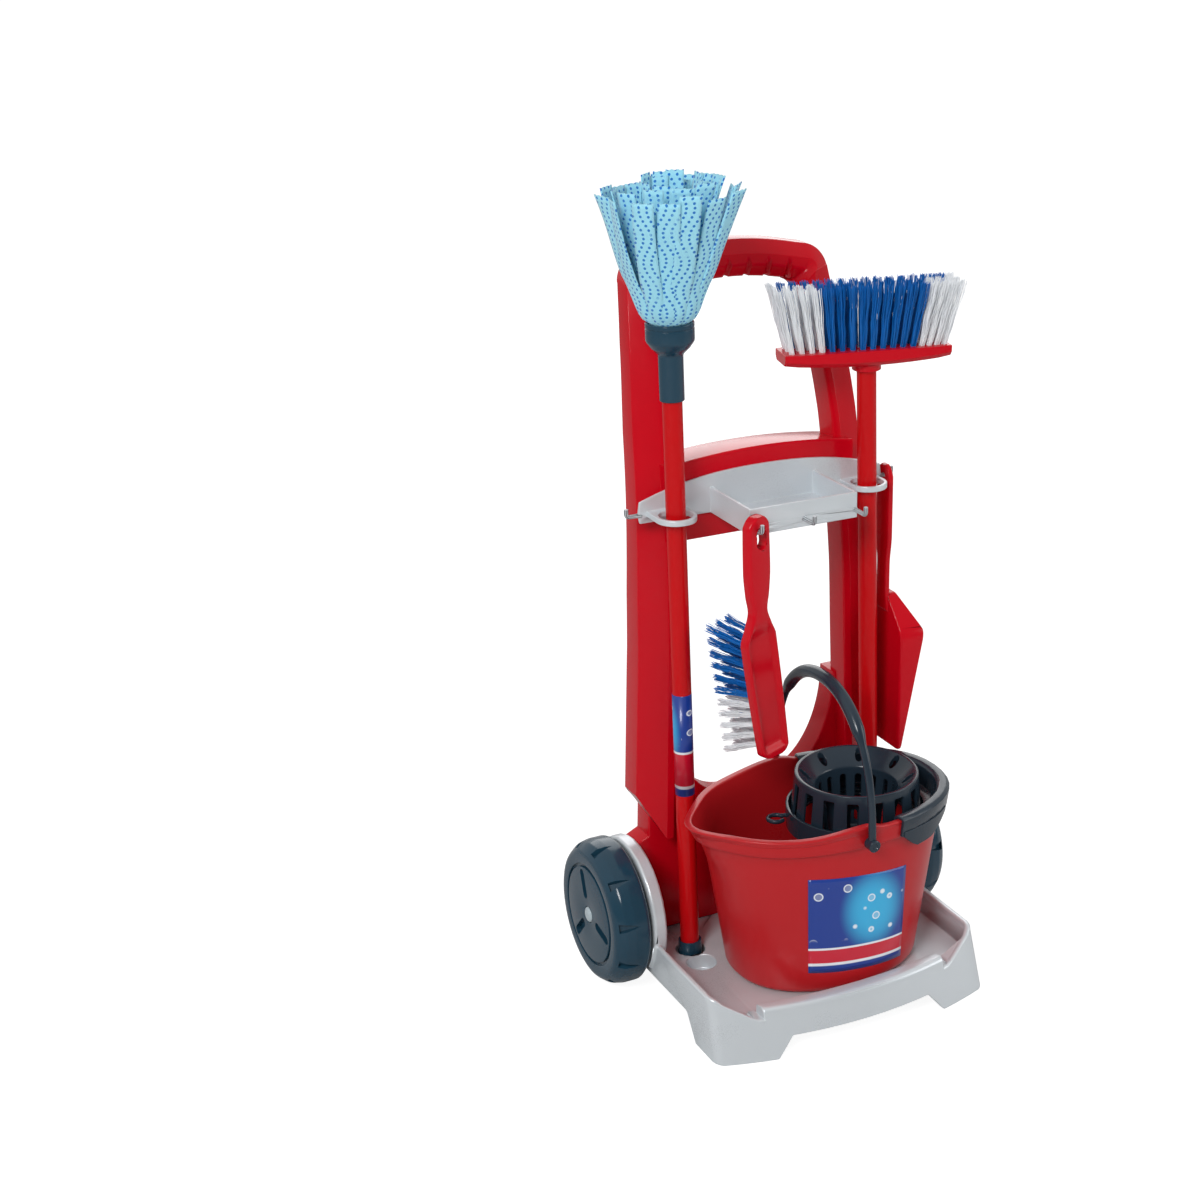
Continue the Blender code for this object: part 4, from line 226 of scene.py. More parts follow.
# Dustpan
PAN_HANDLE_X = 0.1068
PAN_FLOOR_X = 0.1085
PAN_FLOOR_THICK = 0.0022
PAN_WALL = 0.0020
PAN_WALL_HEIGHT = 0.0200
PAN_NECK_HEIGHT = 0.0060
PAN_NECK_Z = 0.2890
PAN_SHOULDER_Z = 0.2610
PAN_LIP_Z = 0.1600
PAN_HALF_WIDTHS = (0.0285, 0.0300, 0.0070)      # at the lip, the shoulder and the neck
PAN_ROUNDS = (0.0045, 0.0200, 0.0050)
PAN_EDGE = 0.0018
PAN_HANDLE_TOP_Z = 0.3955
PAN_HANDLE_HALF_WIDTH = 0.0095
PAN_HANDLE_THICK = 0.0045
PAN_HOLE = (0.0062, 0.0120)
PAN_HOOK_Z = 0.38866

# Sticks and what they carry
CUP_FLOOR_Z = 0.0135
STICK_RADIUS = 0.0075
STICK_EDGE = 0.0006
STICK_SIDES = 48
MOP_FOOT = Vector((-0.0780, -0.0385, CUP_FLOOR_Z))
MOP_TOP = Vector((-0.0845, -0.0340, 0.5335))
MOP_STICK_Z = (0.0198, 0.5080)
SOCKET_FOOT_Z = 0.4760
SOCKET_WEB_Z = (0.5083, 0.5245)
SOCKET_NECK_Z = 0.5100
SOCKET_RADIUS = 0.0092
SOCKET_BORE = 0.0078
SOCKET_VENT = 0.0008
SOCKET_CUP_RADIUS = 0.0178
SOCKET_CUP_BORE = 0.0152
SOCKET_LINE_Z = 0.5290
BROOM_FOOT = Vector((0.0930, -0.0300, CUP_FLOOR_Z))
BROOM_TOP = Vector((0.0800, -0.0330, 0.4875))
BROOM_STICK_Z = (0.0198, 0.4910)
STICK_LABEL_Z = (0.163, 0.247)
BROOM_YAW = math.radians(-12.8)
BROOM_SHIFT = -0.0020
BROOM_LENGTH = 0.1310
BROOM_DEPTH = 0.0320
BROOM_BLOCK_THICK = 0.0085
BROOM_EDGE = 0.0022
BROOM_REACH = 0.0500
BROOM_FLARE = (0.20, 0.50)
BROOM_RUNS = (8, 18, 6)         # shares of the head: white, blue, white
BROOM_COLUMNS = (4, 9, 4)
BROOM_TUFT = (0.0020, 0.0035)   # radius of a tuft at its root and its tips

# Bristles
FILAMENT_SHARP = 75
TUFT_SCATTER = 0.0004
TUFT_CRIMP = 0.0005
TUFT_WAVES = 11
TUFT_TAPER = 0.25
TUFT_SINK = 0.0002
TUFT_ROWS = 3

# Hand brush
BRUSH_PIVOT = Vector((-0.0434, -0.087475, 0.3883))
BRUSH_YAW = math.radians(18)
BRUSH_TILT = math.radians(4.5)
BRUSH_LENGTH = 0.1930
BRUSH_BODY_AT = 0.0960
BRUSH_BODY_WIDTH = 0.0320
BRUSH_BOW = 0.0070
BRUSH_THICK = 0.0078
BRUSH_TOP = 0.00913
BRUSH_REACH = 0.0395
BRUSH_FLARE = (0.26, 0.32)
BRUSH_RUN = (0.094, 0.185)
BRUSH_RUNS = (11, 9)            # shares of the bristles: blue, white
BRUSH_COLUMNS = (6, 5)
BRUSH_TUFT = (0.0020, 0.0030)
BRUSH_SIDE_MARGIN = 0.0045
BRUSH_WIDTHS = ((0.0, 0.0040), (0.0025, 0.0078), (0.008, 0.0110), (0.040, 0.01155), (0.060, 0.00975),
                (0.072, 0.0075), (0.084, 0.01125), (0.096, 0.0160), (0.187, 0.0141), (0.1915, 0.0106),
                (0.193, 0.0061))        # (distance below the loop's top, half width)
BRUSH_SLOT = (0.0094, 0.0165)
BRUSH_SLOT_AT = 0.0085
BRUSH_DISH = (0.080, 0.1885)
BRUSH_DISH_DEPTH = 0.0032
BRUSH_DISH_FADE = (0.016, 0.006)        # run of the dish's slope at its upper and lower end
BRUSH_BODY_RUN = (0.066, 0.090)         # where the handle turns into the body
BRUSH_ROUNDS = (0.0026, 0.0015)         # front edge of the handle and of the body
BRUSH_BACK_ROUND = 0.0012
BRUSH_CROWN = 0.0007
BRUSH_END = 0.7                         # share of the section at both ends
BRUSH_RIM = 0.0030
BRUSH_RIM_SLOPE = (-0.0010, 0.0022)
BRUSH_DROOP = 0.0044

# Bucket
BUCKET_CENTRE = Vector((0.0105, -0.0920, 0))
BUCKET_FOOT = (0.0763, 0.0605)
BUCKET_RIM = (0.0995, 0.0675)
BUCKET_FOOT_Z = 0.0263
BUCKET_FLOOR_Z = 0.026
BUCKET_RIM_Z = 0.1640
BUCKET_ROUNDNESS = 2.2
BUCKET_BAND = 0.0140
BUCKET_BAND_STEP = 0.0026
BUCKET_WALL = 0.0022
BUCKET_FOOT_ROUND = 0.0060
BUCKET_SIDES = 120
SPOUT_REACH = 0.0130
SPOUT_WIDTH = math.radians(17)
SPOUT_FADE = 0.050
SPOUT_POWER = 1.5
EAR_RISE = 0.0042
EAR_SPREAD = (5, 17)            # degrees towards the collar and towards the spout
BEAD = 0.0012
BEAD_START = (82, 88)           # degrees round from the collar
LABEL_TOP = ((-0.0351, 0.1293), (0.0505, 0.1211))      # (x, height) of the label's upper corners
LABEL_FOOT = ((-0.0314, 0.0461), (0.0513, 0.0385))
LABEL_GLOW_AT = (0.64, 0.62)    # shares of the label's width and height
BAIL_X = 0.0110
BAIL_PIVOT_Z = 0.1545
BAIL_RISE = 0.1080
BAIL_POWERS = (0.92, 0.86)      # across and up: below 1 is squarer than an oval
BAIL_RADIUS = 0.0030
BAIL_GRIP_RADIUS = 0.0050
BAIL_GRIP_SWEEP = math.radians(46)
BAIL_SWELL = (math.radians(-5), math.radians(5))
BAIL_STANDOFF = 0.0050
BAIL_BOSS_RADIUS = 0.0048
BAIL_BOSS_THICK = 0.0092
BAIL_BOSS_EDGE = 0.0008
BAIL_PIN_RADIUS = 0.0024
BAIL_PIN_DEPTH = 0.0043
BAIL_GAP = 0.0008

# Mop cloth: strips, root radius, belly, spread at the tips, reach and width of each layer
MOP_LAYERS = ((15, 0.0142, 0.0058, 0.0515, 0.0955, 0.0158),
              (12, 0.0102, 0.0030, 0.0390, 0.0985, 0.0145),
              (9, 0.0062, 0.0020, 0.0210, 0.1005, 0.0130))
MOP_STATIONS = 24
MOP_ACROSS = 6
MOP_SWAY = 0.0045
MOP_LEAD = 0.006
MOP_STRAY = 0.22                # of a strip's place round the mop
MOP_TWIST = 0.45
MOP_DRIFT = 0.005
MOP_RIPPLE = 0.0016
MOP_RIPPLES = 7
MOP_BELLY_RUN = 0.035           # shares of a strip's length
MOP_CURL_RUN = 0.38
MOP_CURL = (3.0, 0.25)          # angle across a strip at its root and past its curled run
MOP_TOOTH = 0.0007

# Print on the mop cloth, in shares of the pitch of its dots
PRINT_ROW = 1.75
PRINT_DOT = (0.26, 0.35)        # radius of a dot's full ink and of its soft edge
PRINT_WEAR = (0.30, 0.42)
PRINT_BEND = 0.50               # turn of the rows' wave from dot to dot
PRINT_WAVE = 0.0040             # metres

# Camera, found from the trolley's own edges
CAMERA_PLACE = Vector((-0.72244, -1.35225, 0.87630))
CAMERA_TURN = (math.radians(90 - 21.3486), 0, math.radians(-28.6048))
CAMERA_LENS = 62.884
CAMERA_SENSOR = 36
CAMERA_SHIFT = (-0.14138, 0.01838)

# Lamps: name, place and size
LAMPS = (("key", (-1.5, -1.3, 1.7), 0.8), ("fill", (1.7, -1.0, 0.9), 1.2), ("back", (0.9, 2.2, 1.3), 2.0))
LAMP_TARGET = (0, 0, 0.3)
FLOOR_REACH = 30
FLOOR_GLOW = 1.82
WHITE = (1, 1, 1, 1)


def tint(code):
    """Linear colour from a hex code as it looks on screen."""
    parts = [int(code[i:i + 2], 16) / 255 for i in (0, 2, 4)]
    return tuple(c / 12.92 if c <= 0.04045 else ((c + 0.055) / 1.055) ** 2.4 for c in parts)


def colour(name, code, description):
    """Colour on the panel, from a hex code."""
    return FloatVectorProperty(name=name, description=description, subtype="COLOR", size=3, min=0, max=1,
                               default=tint(code))


def amount(name, default, description, unit="NONE", precision=2):
    """Number on the panel that can't be negative."""
    return FloatProperty(name=name, description=description, default=default, min=0, unit=unit,
                         precision=precision)


def length(name, default, description):
    """Length on the panel, shown to a hundredth of a millimetre."""
    return amount(name, default, description, "LENGTH", 5)


class TrolleyColours(bpy.types.PropertyGroup):
    """Colours of the trolley's finishes."""

    red: colour("Frame red", "c8041a", "Glossy plastic of the frame, brush, broom and dustpan")
    bucket: colour("Bucket red", "bc1c22", "Satin plastic of the bucket")
    stick: colour("Stick red", "c60c12", "Coated tube of the mop and broom sticks")
    silver: colour("Silver", "d6dce0", "Plastic of the base tray and shelf")
    slate: colour("Slate", "1d3e50", "Plastic of the wheels, caps and mop socket")
    dark: colour("Dark", "22303c", "Plastic of the wringer, its carrier and the bail")
    cap: colour("Hub cap", "b4c1c7", "Plastic of the hub caps")
    steel: colour("Steel", "c2c4c8", "Plated pins and screws")
    cloth: colour("Cloth", "a0e0fa", "Mop cloth")
    print: colour("Cloth print", "0a66b8", "Dots printed on the mop cloth")
    blue: colour("Blue bristle", "006abe", "Blue bristles")
    white: colour("White bristle", "f4f9ff", "White bristles")
    label_blue: colour("Label blue", "143a94", "Field of the labels")
    label_glow: colour("Label glow", "35b4e6", "Bright middle of the labels")
    label_red: colour("Label red", "cf1030", "Band on the labels")
    floor: colour("Floor", "cccccc", "Studio floor")


class TrolleySizes(bpy.types.PropertyGroup):
    """Sizes of the details that dress the solids."""

    edge: length("Edge rounding", 0.0007, "Rounded edge of a moulding")
    tray_edge: length("Tray edge rounding", 0.0044, "Rounded edge of the base tray")
    fine_edge: length("Fine edge rounding", 0.0004, "Rounded edge of a thin moulding")
    filament: length("Filament radius", 0.00028, "Half thickness of one bristle")
    cloth_thick: length("Cloth thickness", 0.0010, "Thickness of a mop strip")
    dot_pitch: length("Dot pitch", 0.0033, "Distance between printed dots")
    tuft_filaments: IntProperty(name="Filaments", description="Bristles in one tuft", default=44, min=3)
    world_light: amount("World light", 0.50, "Strength of the studio's even light")
    key_light: amount("Key light", 29, "Power of the lamp at the left", "POWER")
    back_light: amount("Back light", 15, "Power of the broad lamp behind", "POWER")
    fill_light: amount("Fill light", 9, "Power of the lamp at the right", "POWER")


def colours():
    """The scene's own colours for the trolley."""
    return bpy.context.scene.trolley_colours


def sizes():
    """The scene's own sizes for the trolley."""
    return bpy.context.scene.trolley_sizes


# Finishes

def math_node(operation, swapped=False):
    """Operator of a Value that adds a Math node."""

    def method(self, other):
        return self.finish.math(operation, *((other, self) if swapped else (self, other)))

    return method


class Value:
    """Socket of a shader node; an expression on it adds Math nodes."""

    def __init__(self, finish, socket):
        self.finish = finish
        self.socket = socket

    __add__ = __radd__ = math_node("ADD")
    __sub__ = math_node("SUBTRACT")
    __rsub__ = math_node("SUBTRACT", swapped=True)
    __mul__ = __rmul__ = math_node("MULTIPLY")
    __truediv__ = math_node("DIVIDE")


class Finish:
    """Node tree of a material or of the world, with the few ways of adding to it."""

    def __init__(self, owner):
        owner.use_nodes = True
        self.owner = owner
        self.tree = owner.node_tree

    def node(self, kind, settings=None, sockets=None, output=0):
        """Add a node, set it up, fill its sockets and return one of its outputs."""
        made = self.tree.nodes.new(kind)
        for key, value in (settings or {}).items():
            setattr(made, key, value)
        for key, value in (sockets or {}).items():
            self.put(made.inputs[key], value)
        return Value(self, made.outputs[output])

    def put(self, socket, value):
        if isinstance(value, Value):
            self.tree.links.new(value.socket, socket)
        else:
            socket.default_value = value

    def math(self, operation, *values):
        return self.node("ShaderNodeMath", {"operation": operation}, dict(enumerate(values)))

    def mix(self, factor, first, second):
        """Colour between two colours."""
        first, second = [(*c, 1) if isinstance(c, tuple) and len(c) == 3 else c for c in (first, second)]
        return self.node("ShaderNodeMix", {"data_type": "RGBA"}, {0: factor, 6: first, 7: second}, 2)

    def step(self, value, low, high):
        """Smooth ramp from 0 at low to 1 at high."""
        return self.node("ShaderNodeMapRange", {"interpolation_type": "SMOOTHSTEP"},
                         {"Value": value, "From Min": low, "From Max": high})

    def noise(self, place, scale, detail=2.0, roughness=0.5):
        return self.node("ShaderNodeTexNoise", None,
                         {"Vector": place, "Scale": scale, "Detail": detail, "Roughness": roughness})

    def place(self, output="Object"):
        return self.node("ShaderNodeTexCoord", None, None, output)

    def axes(self, place):
        made = self.node("ShaderNodeSeparateXYZ", None, {0: place})
        return [Value(self, socket) for socket in made.socket.node.outputs]

    def stretch(self, place, scale):
        return self.node("ShaderNodeMapping", None, {"Vector": place, "Scale": scale})

    def bump(self, height, distance, strength=1.0):
        return self.node("ShaderNodeBump", None,
                         {"Height": height, "Distance": distance, "Strength": strength})

    def ray(self, kind):
        """1 for rays of one kind, such as those from the camera, and 0 for the others."""
        return self.node("ShaderNodeLightPath", output=f"Is {kind} Ray")

    def surface(self, **sockets):
        """Set the shader's own sockets, by their names with underscores for spaces."""
        shader = self.tree.nodes["Principled BSDF"]
        for key, value in sockets.items():
            self.put(shader.inputs[key.replace("_", " ")], value)
        return self.owner


def new_finish(name):
    """Empty finish of a new material."""
    return Finish(bpy.data.materials.new(name))


def shade(base, factor):
    """A colour made lighter or darker."""
    return tuple(min(c * factor, 1) for c in base)


def moulded(name, base, roughness, grain=0.00002, mottle=0.06, specular=0.5):
    """Moulded plastic: faint flow marks in its colour, uneven gloss and a fine grain."""
    finish = new_finish(name)
    place = finish.place()
    cloud = finish.noise(place, 14, 3)
    fine = finish.noise(place, 1400, 2)
    rub = finish.step(finish.noise(finish.stretch(place, (90, 90, 30)), 1, 4, 0.62), 0.50, 0.85)
    tone = finish.mix(cloud, shade(base, 1 - mottle), shade(base, 1 + mottle))
    rough = roughness + (cloud - 0.5) * 0.08 + rub * 0.05 + (fine - 0.5) * 0.02
    height = fine * 0.6 + cloud * 0.4
    return finish.surface(Base_Color=tone, Roughness=rough, Specular_IOR_Level=specular,
                          Normal=finish.bump(height, grain, 0.35))


def flaked(name, base, roughness):
    """Silver plastic: fine bright flakes under a satin skin."""
    finish = new_finish(name)
    place = finish.place()
    cloud = finish.noise(place, 11, 3)
    flake = finish.node("ShaderNodeTexVoronoi", {"feature": "F1"}, {"Vector": place, "Scale": 5200}, "Color")
    spark = finish.axes(flake)[0]
    tone = finish.mix(spark * 0.25 + cloud * 0.75, shade(base, 0.95), shade(base, 1.05))
    rough = roughness + (cloud - 0.5) * 0.08 + (spark - 0.5) * 0.04
    return finish.surface(Base_Color=tone, Roughness=rough, Metallic=spark * 0.08 + 0.26,
                          Normal=finish.bump(spark * 0.4 + cloud, 0.000004, 0.3))


def metal(name, base):
    """Plated steel with turning marks."""
    finish = new_finish(name)
    marks = finish.noise(finish.stretch(finish.place(), (900, 900, 120)), 1, 2)
    return finish.surface(Base_Color=finish.mix(marks, shade(base, 0.8), base), Metallic=1.0,
                          Roughness=0.28 + marks * 0.14)


def printed_cloth(name, base, ink, pitch):
    """Non-woven cloth: fluffy fibres, faint emboss and wavy rows of printed dots."""
    finish = new_finish(name)
    across, along, _ = finish.axes(finish.place("UV"))
    place = finish.place()
    fibre = finish.noise(finish.stretch(place, (1500, 1500, 500)), 1, 3, 0.6)
    cloud = finish.noise(place, 70, 3)
    column = along / pitch
    bend = finish.math("SINE", finish.math("FLOOR", column) * PRINT_BEND) * PRINT_WAVE
    row = (across + bend) / (pitch * PRINT_ROW)
    off_row = (finish.math("FRACT", row) - 0.5) * PRINT_ROW
    off_column = finish.math("FRACT", column) - 0.5
    far = finish.math("SQRT", off_row * off_row + off_column * off_column)
    worn = finish.step(cloud, *PRINT_WEAR)
    dot = (1 - finish.step(far, *PRINT_DOT)) * worn
    sheet = finish.mix(fibre * 0.6 + cloud * 0.4, shade(base, 0.80), shade(base, 1.16))
    ink_tone = finish.mix(fibre, shade(ink, 0.85), shade(ink, 1.5))
    height = fibre + cloud * 0.8 - dot * 0.25
    return finish.surface(Base_Color=finish.mix(dot * 0.94, sheet, ink_tone), Roughness=0.92,
                          Specular_IOR_Level=0.2, Sheen_Weight=0.25, Sheen_Roughness=0.5,
                          Normal=finish.bump(height, 0.0003, 0.7))


def bristle(name, base, dark, light):
    """Crimped plastic filaments, each run a little lighter or darker."""
    finish = new_finish(name)
    place = finish.place()
    strand = finish.noise(finish.stretch(place, (700, 700, 90)), 1, 2)
    crimp = finish.noise(place, 1100, 1)
    tone = finish.mix(strand * 0.75 + crimp * 0.25, shade(base, dark), shade(base, light))
    return finish.surface(Base_Color=tone, Roughness=0.38 + strand * 0.2, Specular_IOR_Level=0.35)


def printed_label(name, stretch, band):
    """Glossy sticker with a glowing blue field, bubbles and a red band, without words."""
    finish = new_finish(name)
    across, up, _ = finish.axes(finish.place("UV"))
    base = colours()
    low, high = band

    def stripe(start, end, soft):
        """1 between two heights on the label, with soft edges."""
        return finish.step(up, start, start + soft) * (1 - finish.step(up, end, end + soft))

    wide, tall = across - LABEL_GLOW_AT[0], up - LABEL_GLOW_AT[1]
    glow = 1 - finish.step(wide * wide * 1.6 + tall * tall, 0.01, 0.22)
    field = finish.mix(glow, tuple(base.label_blue), tuple(base.label_glow))
    spread = finish.node("ShaderNodeCombineXYZ", None, {0: across * stretch[0], 1: up * stretch[1]})
    cells = finish.node("ShaderNodeTexVoronoi", {"feature": "F1"},
                        {"Vector": spread, "Scale": 1.0, "Randomness": 0.85}, "Distance")
    ring = finish.step(cells, 0.20, 0.26) * (1 - finish.step(cells, 0.28, 0.33))
    fill = 1 - finish.step(cells, 0.24, 0.30)
    zone = finish.step(up, high + 0.08, high + 0.16)
    bubbles = finish.mix((ring * 0.75 + fill * 0.22) * zone, field, (0.90, 0.96, 1.0))
    lined = finish.mix(stripe(low - 0.03, high + 0.02, 0.01), bubbles, (0.85, 0.88, 0.92))
    return finish.surface(Base_Color=finish.mix(stripe(low, high, 0.008), lined, tuple(base.label_red)),
                          Roughness=0.32, Coat_Weight=0.3)


def finishes():
    """All finishes by the record's slot name, made once."""
    made = bpy.data.materials
    if "red_plastic" not in made:
        base = colours()
        moulded("red_plastic", tuple(base.red), 0.19, specular=0.22)
        moulded("bucket_plastic", tuple(base.bucket), 0.29, grain=0.00003, specular=0.32)
        moulded("stick_coat", tuple(base.stick), 0.15, grain=0.00001, specular=0.18)
        flaked("silver_plastic", tuple(base.silver), 0.30)
        moulded("slate_plastic", tuple(base.slate), 0.16, mottle=0.12, specular=0.38)
        moulded("dark_plastic", tuple(base.dark), 0.20, mottle=0.12, specular=0.45)
        moulded("cap_plastic", tuple(base.cap), 0.35)
        metal("plated_steel", tuple(base.steel))
        printed_cloth("mop_cloth", tuple(base.cloth), tuple(base.print), sizes().dot_pitch)
        bristle("blue_filament", tuple(base.blue), 0.60, 1.30)
        bristle("white_filament", tuple(base.white), 0.90, 1.10)
    names = {"red": "red_plastic", "bucket_red": "bucket_plastic", "stick": "stick_coat",
             "silver": "silver_plastic", "slate": "slate_plastic", "dark": "dark_plastic",
             "grey": "cap_plastic", "steel": "plated_steel", "cloth": "mop_cloth",
             "blue_bristle": "blue_filament", "white_bristle": "white_filament"}
    return {slot: made[name] for slot, name in names.items()}


# Making pieces

def show(name, data):
    """Object in the scene that shows a mesh, a lamp or a camera."""
    item = bpy.data.objects.new(name, data)
    bpy.context.scene.collection.objects.link(item)
    return item


def mesh_of(name, bm):
    """Mesh with a shape's faces; the shape is used up."""
    mesh = bpy.data.meshes.new(name)
    bm.to_mesh(mesh)
    bm.free()
    return mesh


def placed(bm, matrix=PLACE):
    """A shape moved to its place."""
    bm.transform(matrix)
    return bm


def declare(name, mesh, body, nodes, sharp):
    """Piece from a mesh, riding on a body in place of the solids that it replaces."""
    mesh.shade_smooth()
    mesh.set_sharp_from_angle(angle=math.radians(sharp))
    piece = show(name, mesh)
    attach(piece, body)
    if nodes:
        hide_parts(*nodes)
    return piece


def add_piece(name, bm, slot, body, nodes=(), material=None, sharp=40):
    """Finished piece from a shape in the trolley's place."""
    mesh = mesh_of(name, bm)
    mesh.materials.append(material or finishes()[slot])
    return declare(name, mesh, body, nodes, sharp)


def add_bevel(piece, width, segments=2, angle=EDGE_ANGLE):
    """Rounded edges on a moulding."""
    bevel = piece.modifiers.new("edges", "BEVEL")
    bevel.width = width
    bevel.segments = segments
    bevel.limit_method = "ANGLE"
    bevel.angle_limit = math.radians(angle)
    bevel.use_clamp_overlap = False
    bevel.miter_outer = "MITER_ARC"
    bevel.harden_normals = True
    return piece


def add_film(piece):
    """Give a printed film its thickness, inwards."""
    film = piece.modifiers.new("film", "SOLIDIFY")
    film.thickness = FILM_THICK
    film.offset = -1


def node_mesh(node):
    """A solid's own shape, welded and with its flat faces whole."""
    bm = bmesh.new()
    bm.from_mesh(frame["nodes"][node].data)
    bmesh.ops.remove_doubles(bm, verts=bm.verts, dist=WELD)
    bmesh.ops.dissolve_limit(bm, angle_limit=math.radians(FLAT_ANGLE), verts=bm.verts, edges=bm.edges)
    broad = [face for face in bm.faces if len(face.verts) > BROAD_FACE]
    bmesh.ops.triangulate(bm, faces=broad)
    return bm


def body_of(node):
    """Body that carries a solid."""
    bodies = frame["record"]["behaviour"]["bodies"]
    return next(body for body, nodes in bodies.items() if node in nodes)


def slot_of(node):
    """Material slot of a solid."""
    return next(part["material_slot"] for part in frame["record"]["subparts"] if part["node"] == node)


def rounded_copy(node, name, width):
    """A solid's shape with rounded edges, in place of the solid."""
    piece = add_piece(name, node_mesh(node), slot_of(node), body_of(node), (node,))
    return add_bevel(piece, width)


def dress(node):
    """A solid that stays, with its finish."""
    piece = frame["nodes"][node]
    material = finishes()[slot_of(node)]
    for material_slot in piece.material_slots:
        material_slot.material = material


def shares(steps):
    """Even shares of a run, from 0 to 1."""
    return [k / steps for k in range(steps + 1)]


def loft(rings):
    """Skin through rings of equal length, capped at both ends."""
    bm = bmesh.new()
    layers = [[bm.verts.new(point) for point in ring] for ring in rings]
    count = len(layers[0])
    for lower, upper in zip(layers, layers[1:]):
        for i in range(count):
            j = (i + 1) % count
            bm.faces.new((lower[i], lower[j], upper[j], upper[i]))
    bm.faces.new(reversed(layers[0]))
    bm.faces.new(layers[-1])
    bmesh.ops.recalc_face_normals(bm, faces=bm.faces)
    return bm


def turns(sides):
    """Angles of the corners of a round shape."""
    return [math.tau * k / sides for k in range(sides)]


def turned(profile, sides, matrix, closed=False):
    """Body of revolution about Z from (radius, height) points, or a ring if the profile closes."""
    bm = bmesh.new()
    rings = []
    for radius, height in profile:
        if radius == 0:
            rings.append([bm.verts.new((0, 0, height))])
            continue
        circle = [(radius * math.cos(a), radius * math.sin(a), height) for a in turns(sides)]
        rings.append([bm.verts.new(point) for point in circle])
    if closed:
        rings.append(rings[0])
    for lower, upper in zip(rings, rings[1:]):
        for i in range(sides):
            j = (i + 1) % sides
            corners = [lower[i % len(lower)], lower[j % len(lower)]]
            corners += [upper[j % len(upper)], upper[i % len(upper)]]
            bm.faces.new(list(dict.fromkeys(corners)))
    bmesh.ops.recalc_face_normals(bm, faces=bm.faces)
    bm.transform(matrix)
    return bm


def aim(start, end):
    """Matrix that carries the Z axis onto the line from start to end."""
    direction = Vector(end) - Vector(start)
    return Matrix.Translation(Vector(start)) @ direction.to_track_quat("Z", "Y").to_matrix().to_4x4()


def sweep(points, radii, sides):
    """Round bar along a path, with its own radius at each point."""
    tangent = (points[1] - points[0]).normalized()
    side = tangent.orthogonal().normalized()
    rings = []
    for i, point in enumerate(points):
        ahead = points[min(i + 1, len(points) - 1)]
        behind = points[max(i - 1, 0)]
        turned_tangent = (ahead - behind).normalized()
        side = tangent.rotation_difference(turned_tangent) @ side
        tangent = turned_tangent
        other = tangent.cross(side)
        spokes = [math.cos(a) * side + math.sin(a) * other for a in turns(sides)]
        rings.append([point + radii[i] * spoke for spoke in spokes])
    return loft(rings)


def merge(bodies):
    """Several shells in one mesh."""
    whole = bmesh.new()
    for bm in bodies:
        mesh = mesh_of("shell", bm)
        whole.from_mesh(mesh)
        bpy.data.meshes.remove(mesh)
    return whole


def combine(body, tool, operation):
    """Join a tool to a body, or cut it from the body."""
    pair = [show("tool", mesh_of("tool", bm)) for bm in (body, tool)]
    modifier = pair[0].modifiers.new("boolean", "BOOLEAN")
    modifier.operation = operation
    modifier.object = pair[1]
    graph = bpy.context.evaluated_depsgraph_get()
    result = bpy.data.meshes.new_from_object(pair[0].evaluated_get(graph))
    whole = bmesh.new()
    whole.from_mesh(result)
    bmesh.ops.dissolve_degenerate(whole, dist=SLIVER, edges=whole.edges)
    bpy.data.meshes.remove(result)
    for item in pair:
        mesh = item.data
        bpy.data.objects.remove(item)
        bpy.data.meshes.remove(mesh)
    return whole


def rod(radius, foot, top, edge=0):
    """Profile of a round bar, with softened ends if its edge has a size."""
    ends = [(radius - edge, foot), (radius, foot + edge), (radius, top - edge), (radius - edge, top)]
    return [(0, foot), *dict.fromkeys(ends), (0, top)]


def curve(start, corner, end, t):
    """Point at a share t of the way round a corner."""
    return (1 - t) ** 2 * start + 2 * t * (1 - t) * corner + t ** 2 * end


def filleted(corners, radii, steps=4):
    """Flat outline with its corners rounded."""
    outline = []
    count = len(corners)
    for i, radius in enumerate(radii):
        here = Vector(corners[i])
        before = Vector(corners[i - 1]) - here
        after = Vector(corners[(i + 1) % count]) - here
        half = before.angle(after) / 2
        room = FILLET_ROOM * min(before.length, after.length)
        run = min(max(radius / math.tan(half), FILLET_LEAST), room)
        start = here + before.normalized() * run
        end = here + after.normalized() * run
        outline += [curve(start, here, end, t) for t in shares(steps)]
    return outline


def rounded_section(corners, steps):
    """Outline with rounded corners, from ((across, up), radius) pairs."""
    return filleted([place for place, _ in corners], [radius for _, radius in corners], steps)


def round_run(centre, radius, start, end, steps=6):
    """Points of an arc, from one angle to another in degrees."""
    angles = [math.radians(start + (end - start) * t) for t in shares(steps)]
    return [(centre[0] + radius * math.cos(a), centre[1] + radius * math.sin(a)) for a in angles]


def mirrored(right):
    """Whole outline from its right half, which ends at the middle."""
    return right + [(-across, up) for across, up in reversed(right)]


def inset_outline(outline, inset):
    """Outline drawn in along its corners' normals; a counter-clockwise outline shrinks."""
    moved = []
    count = len(outline)
    for i in range(count):
        here = Vector(outline[i])
        before = (here - Vector(outline[i - 1])).normalized()
        after = (Vector(outline[(i + 1) % count]) - here).normalized()
        normal = Vector((-before.y - after.y, before.x + after.x))
        normal /= max(normal.length_squared / 2, 0.5)
        moved.append(here + normal * inset)
    return moved


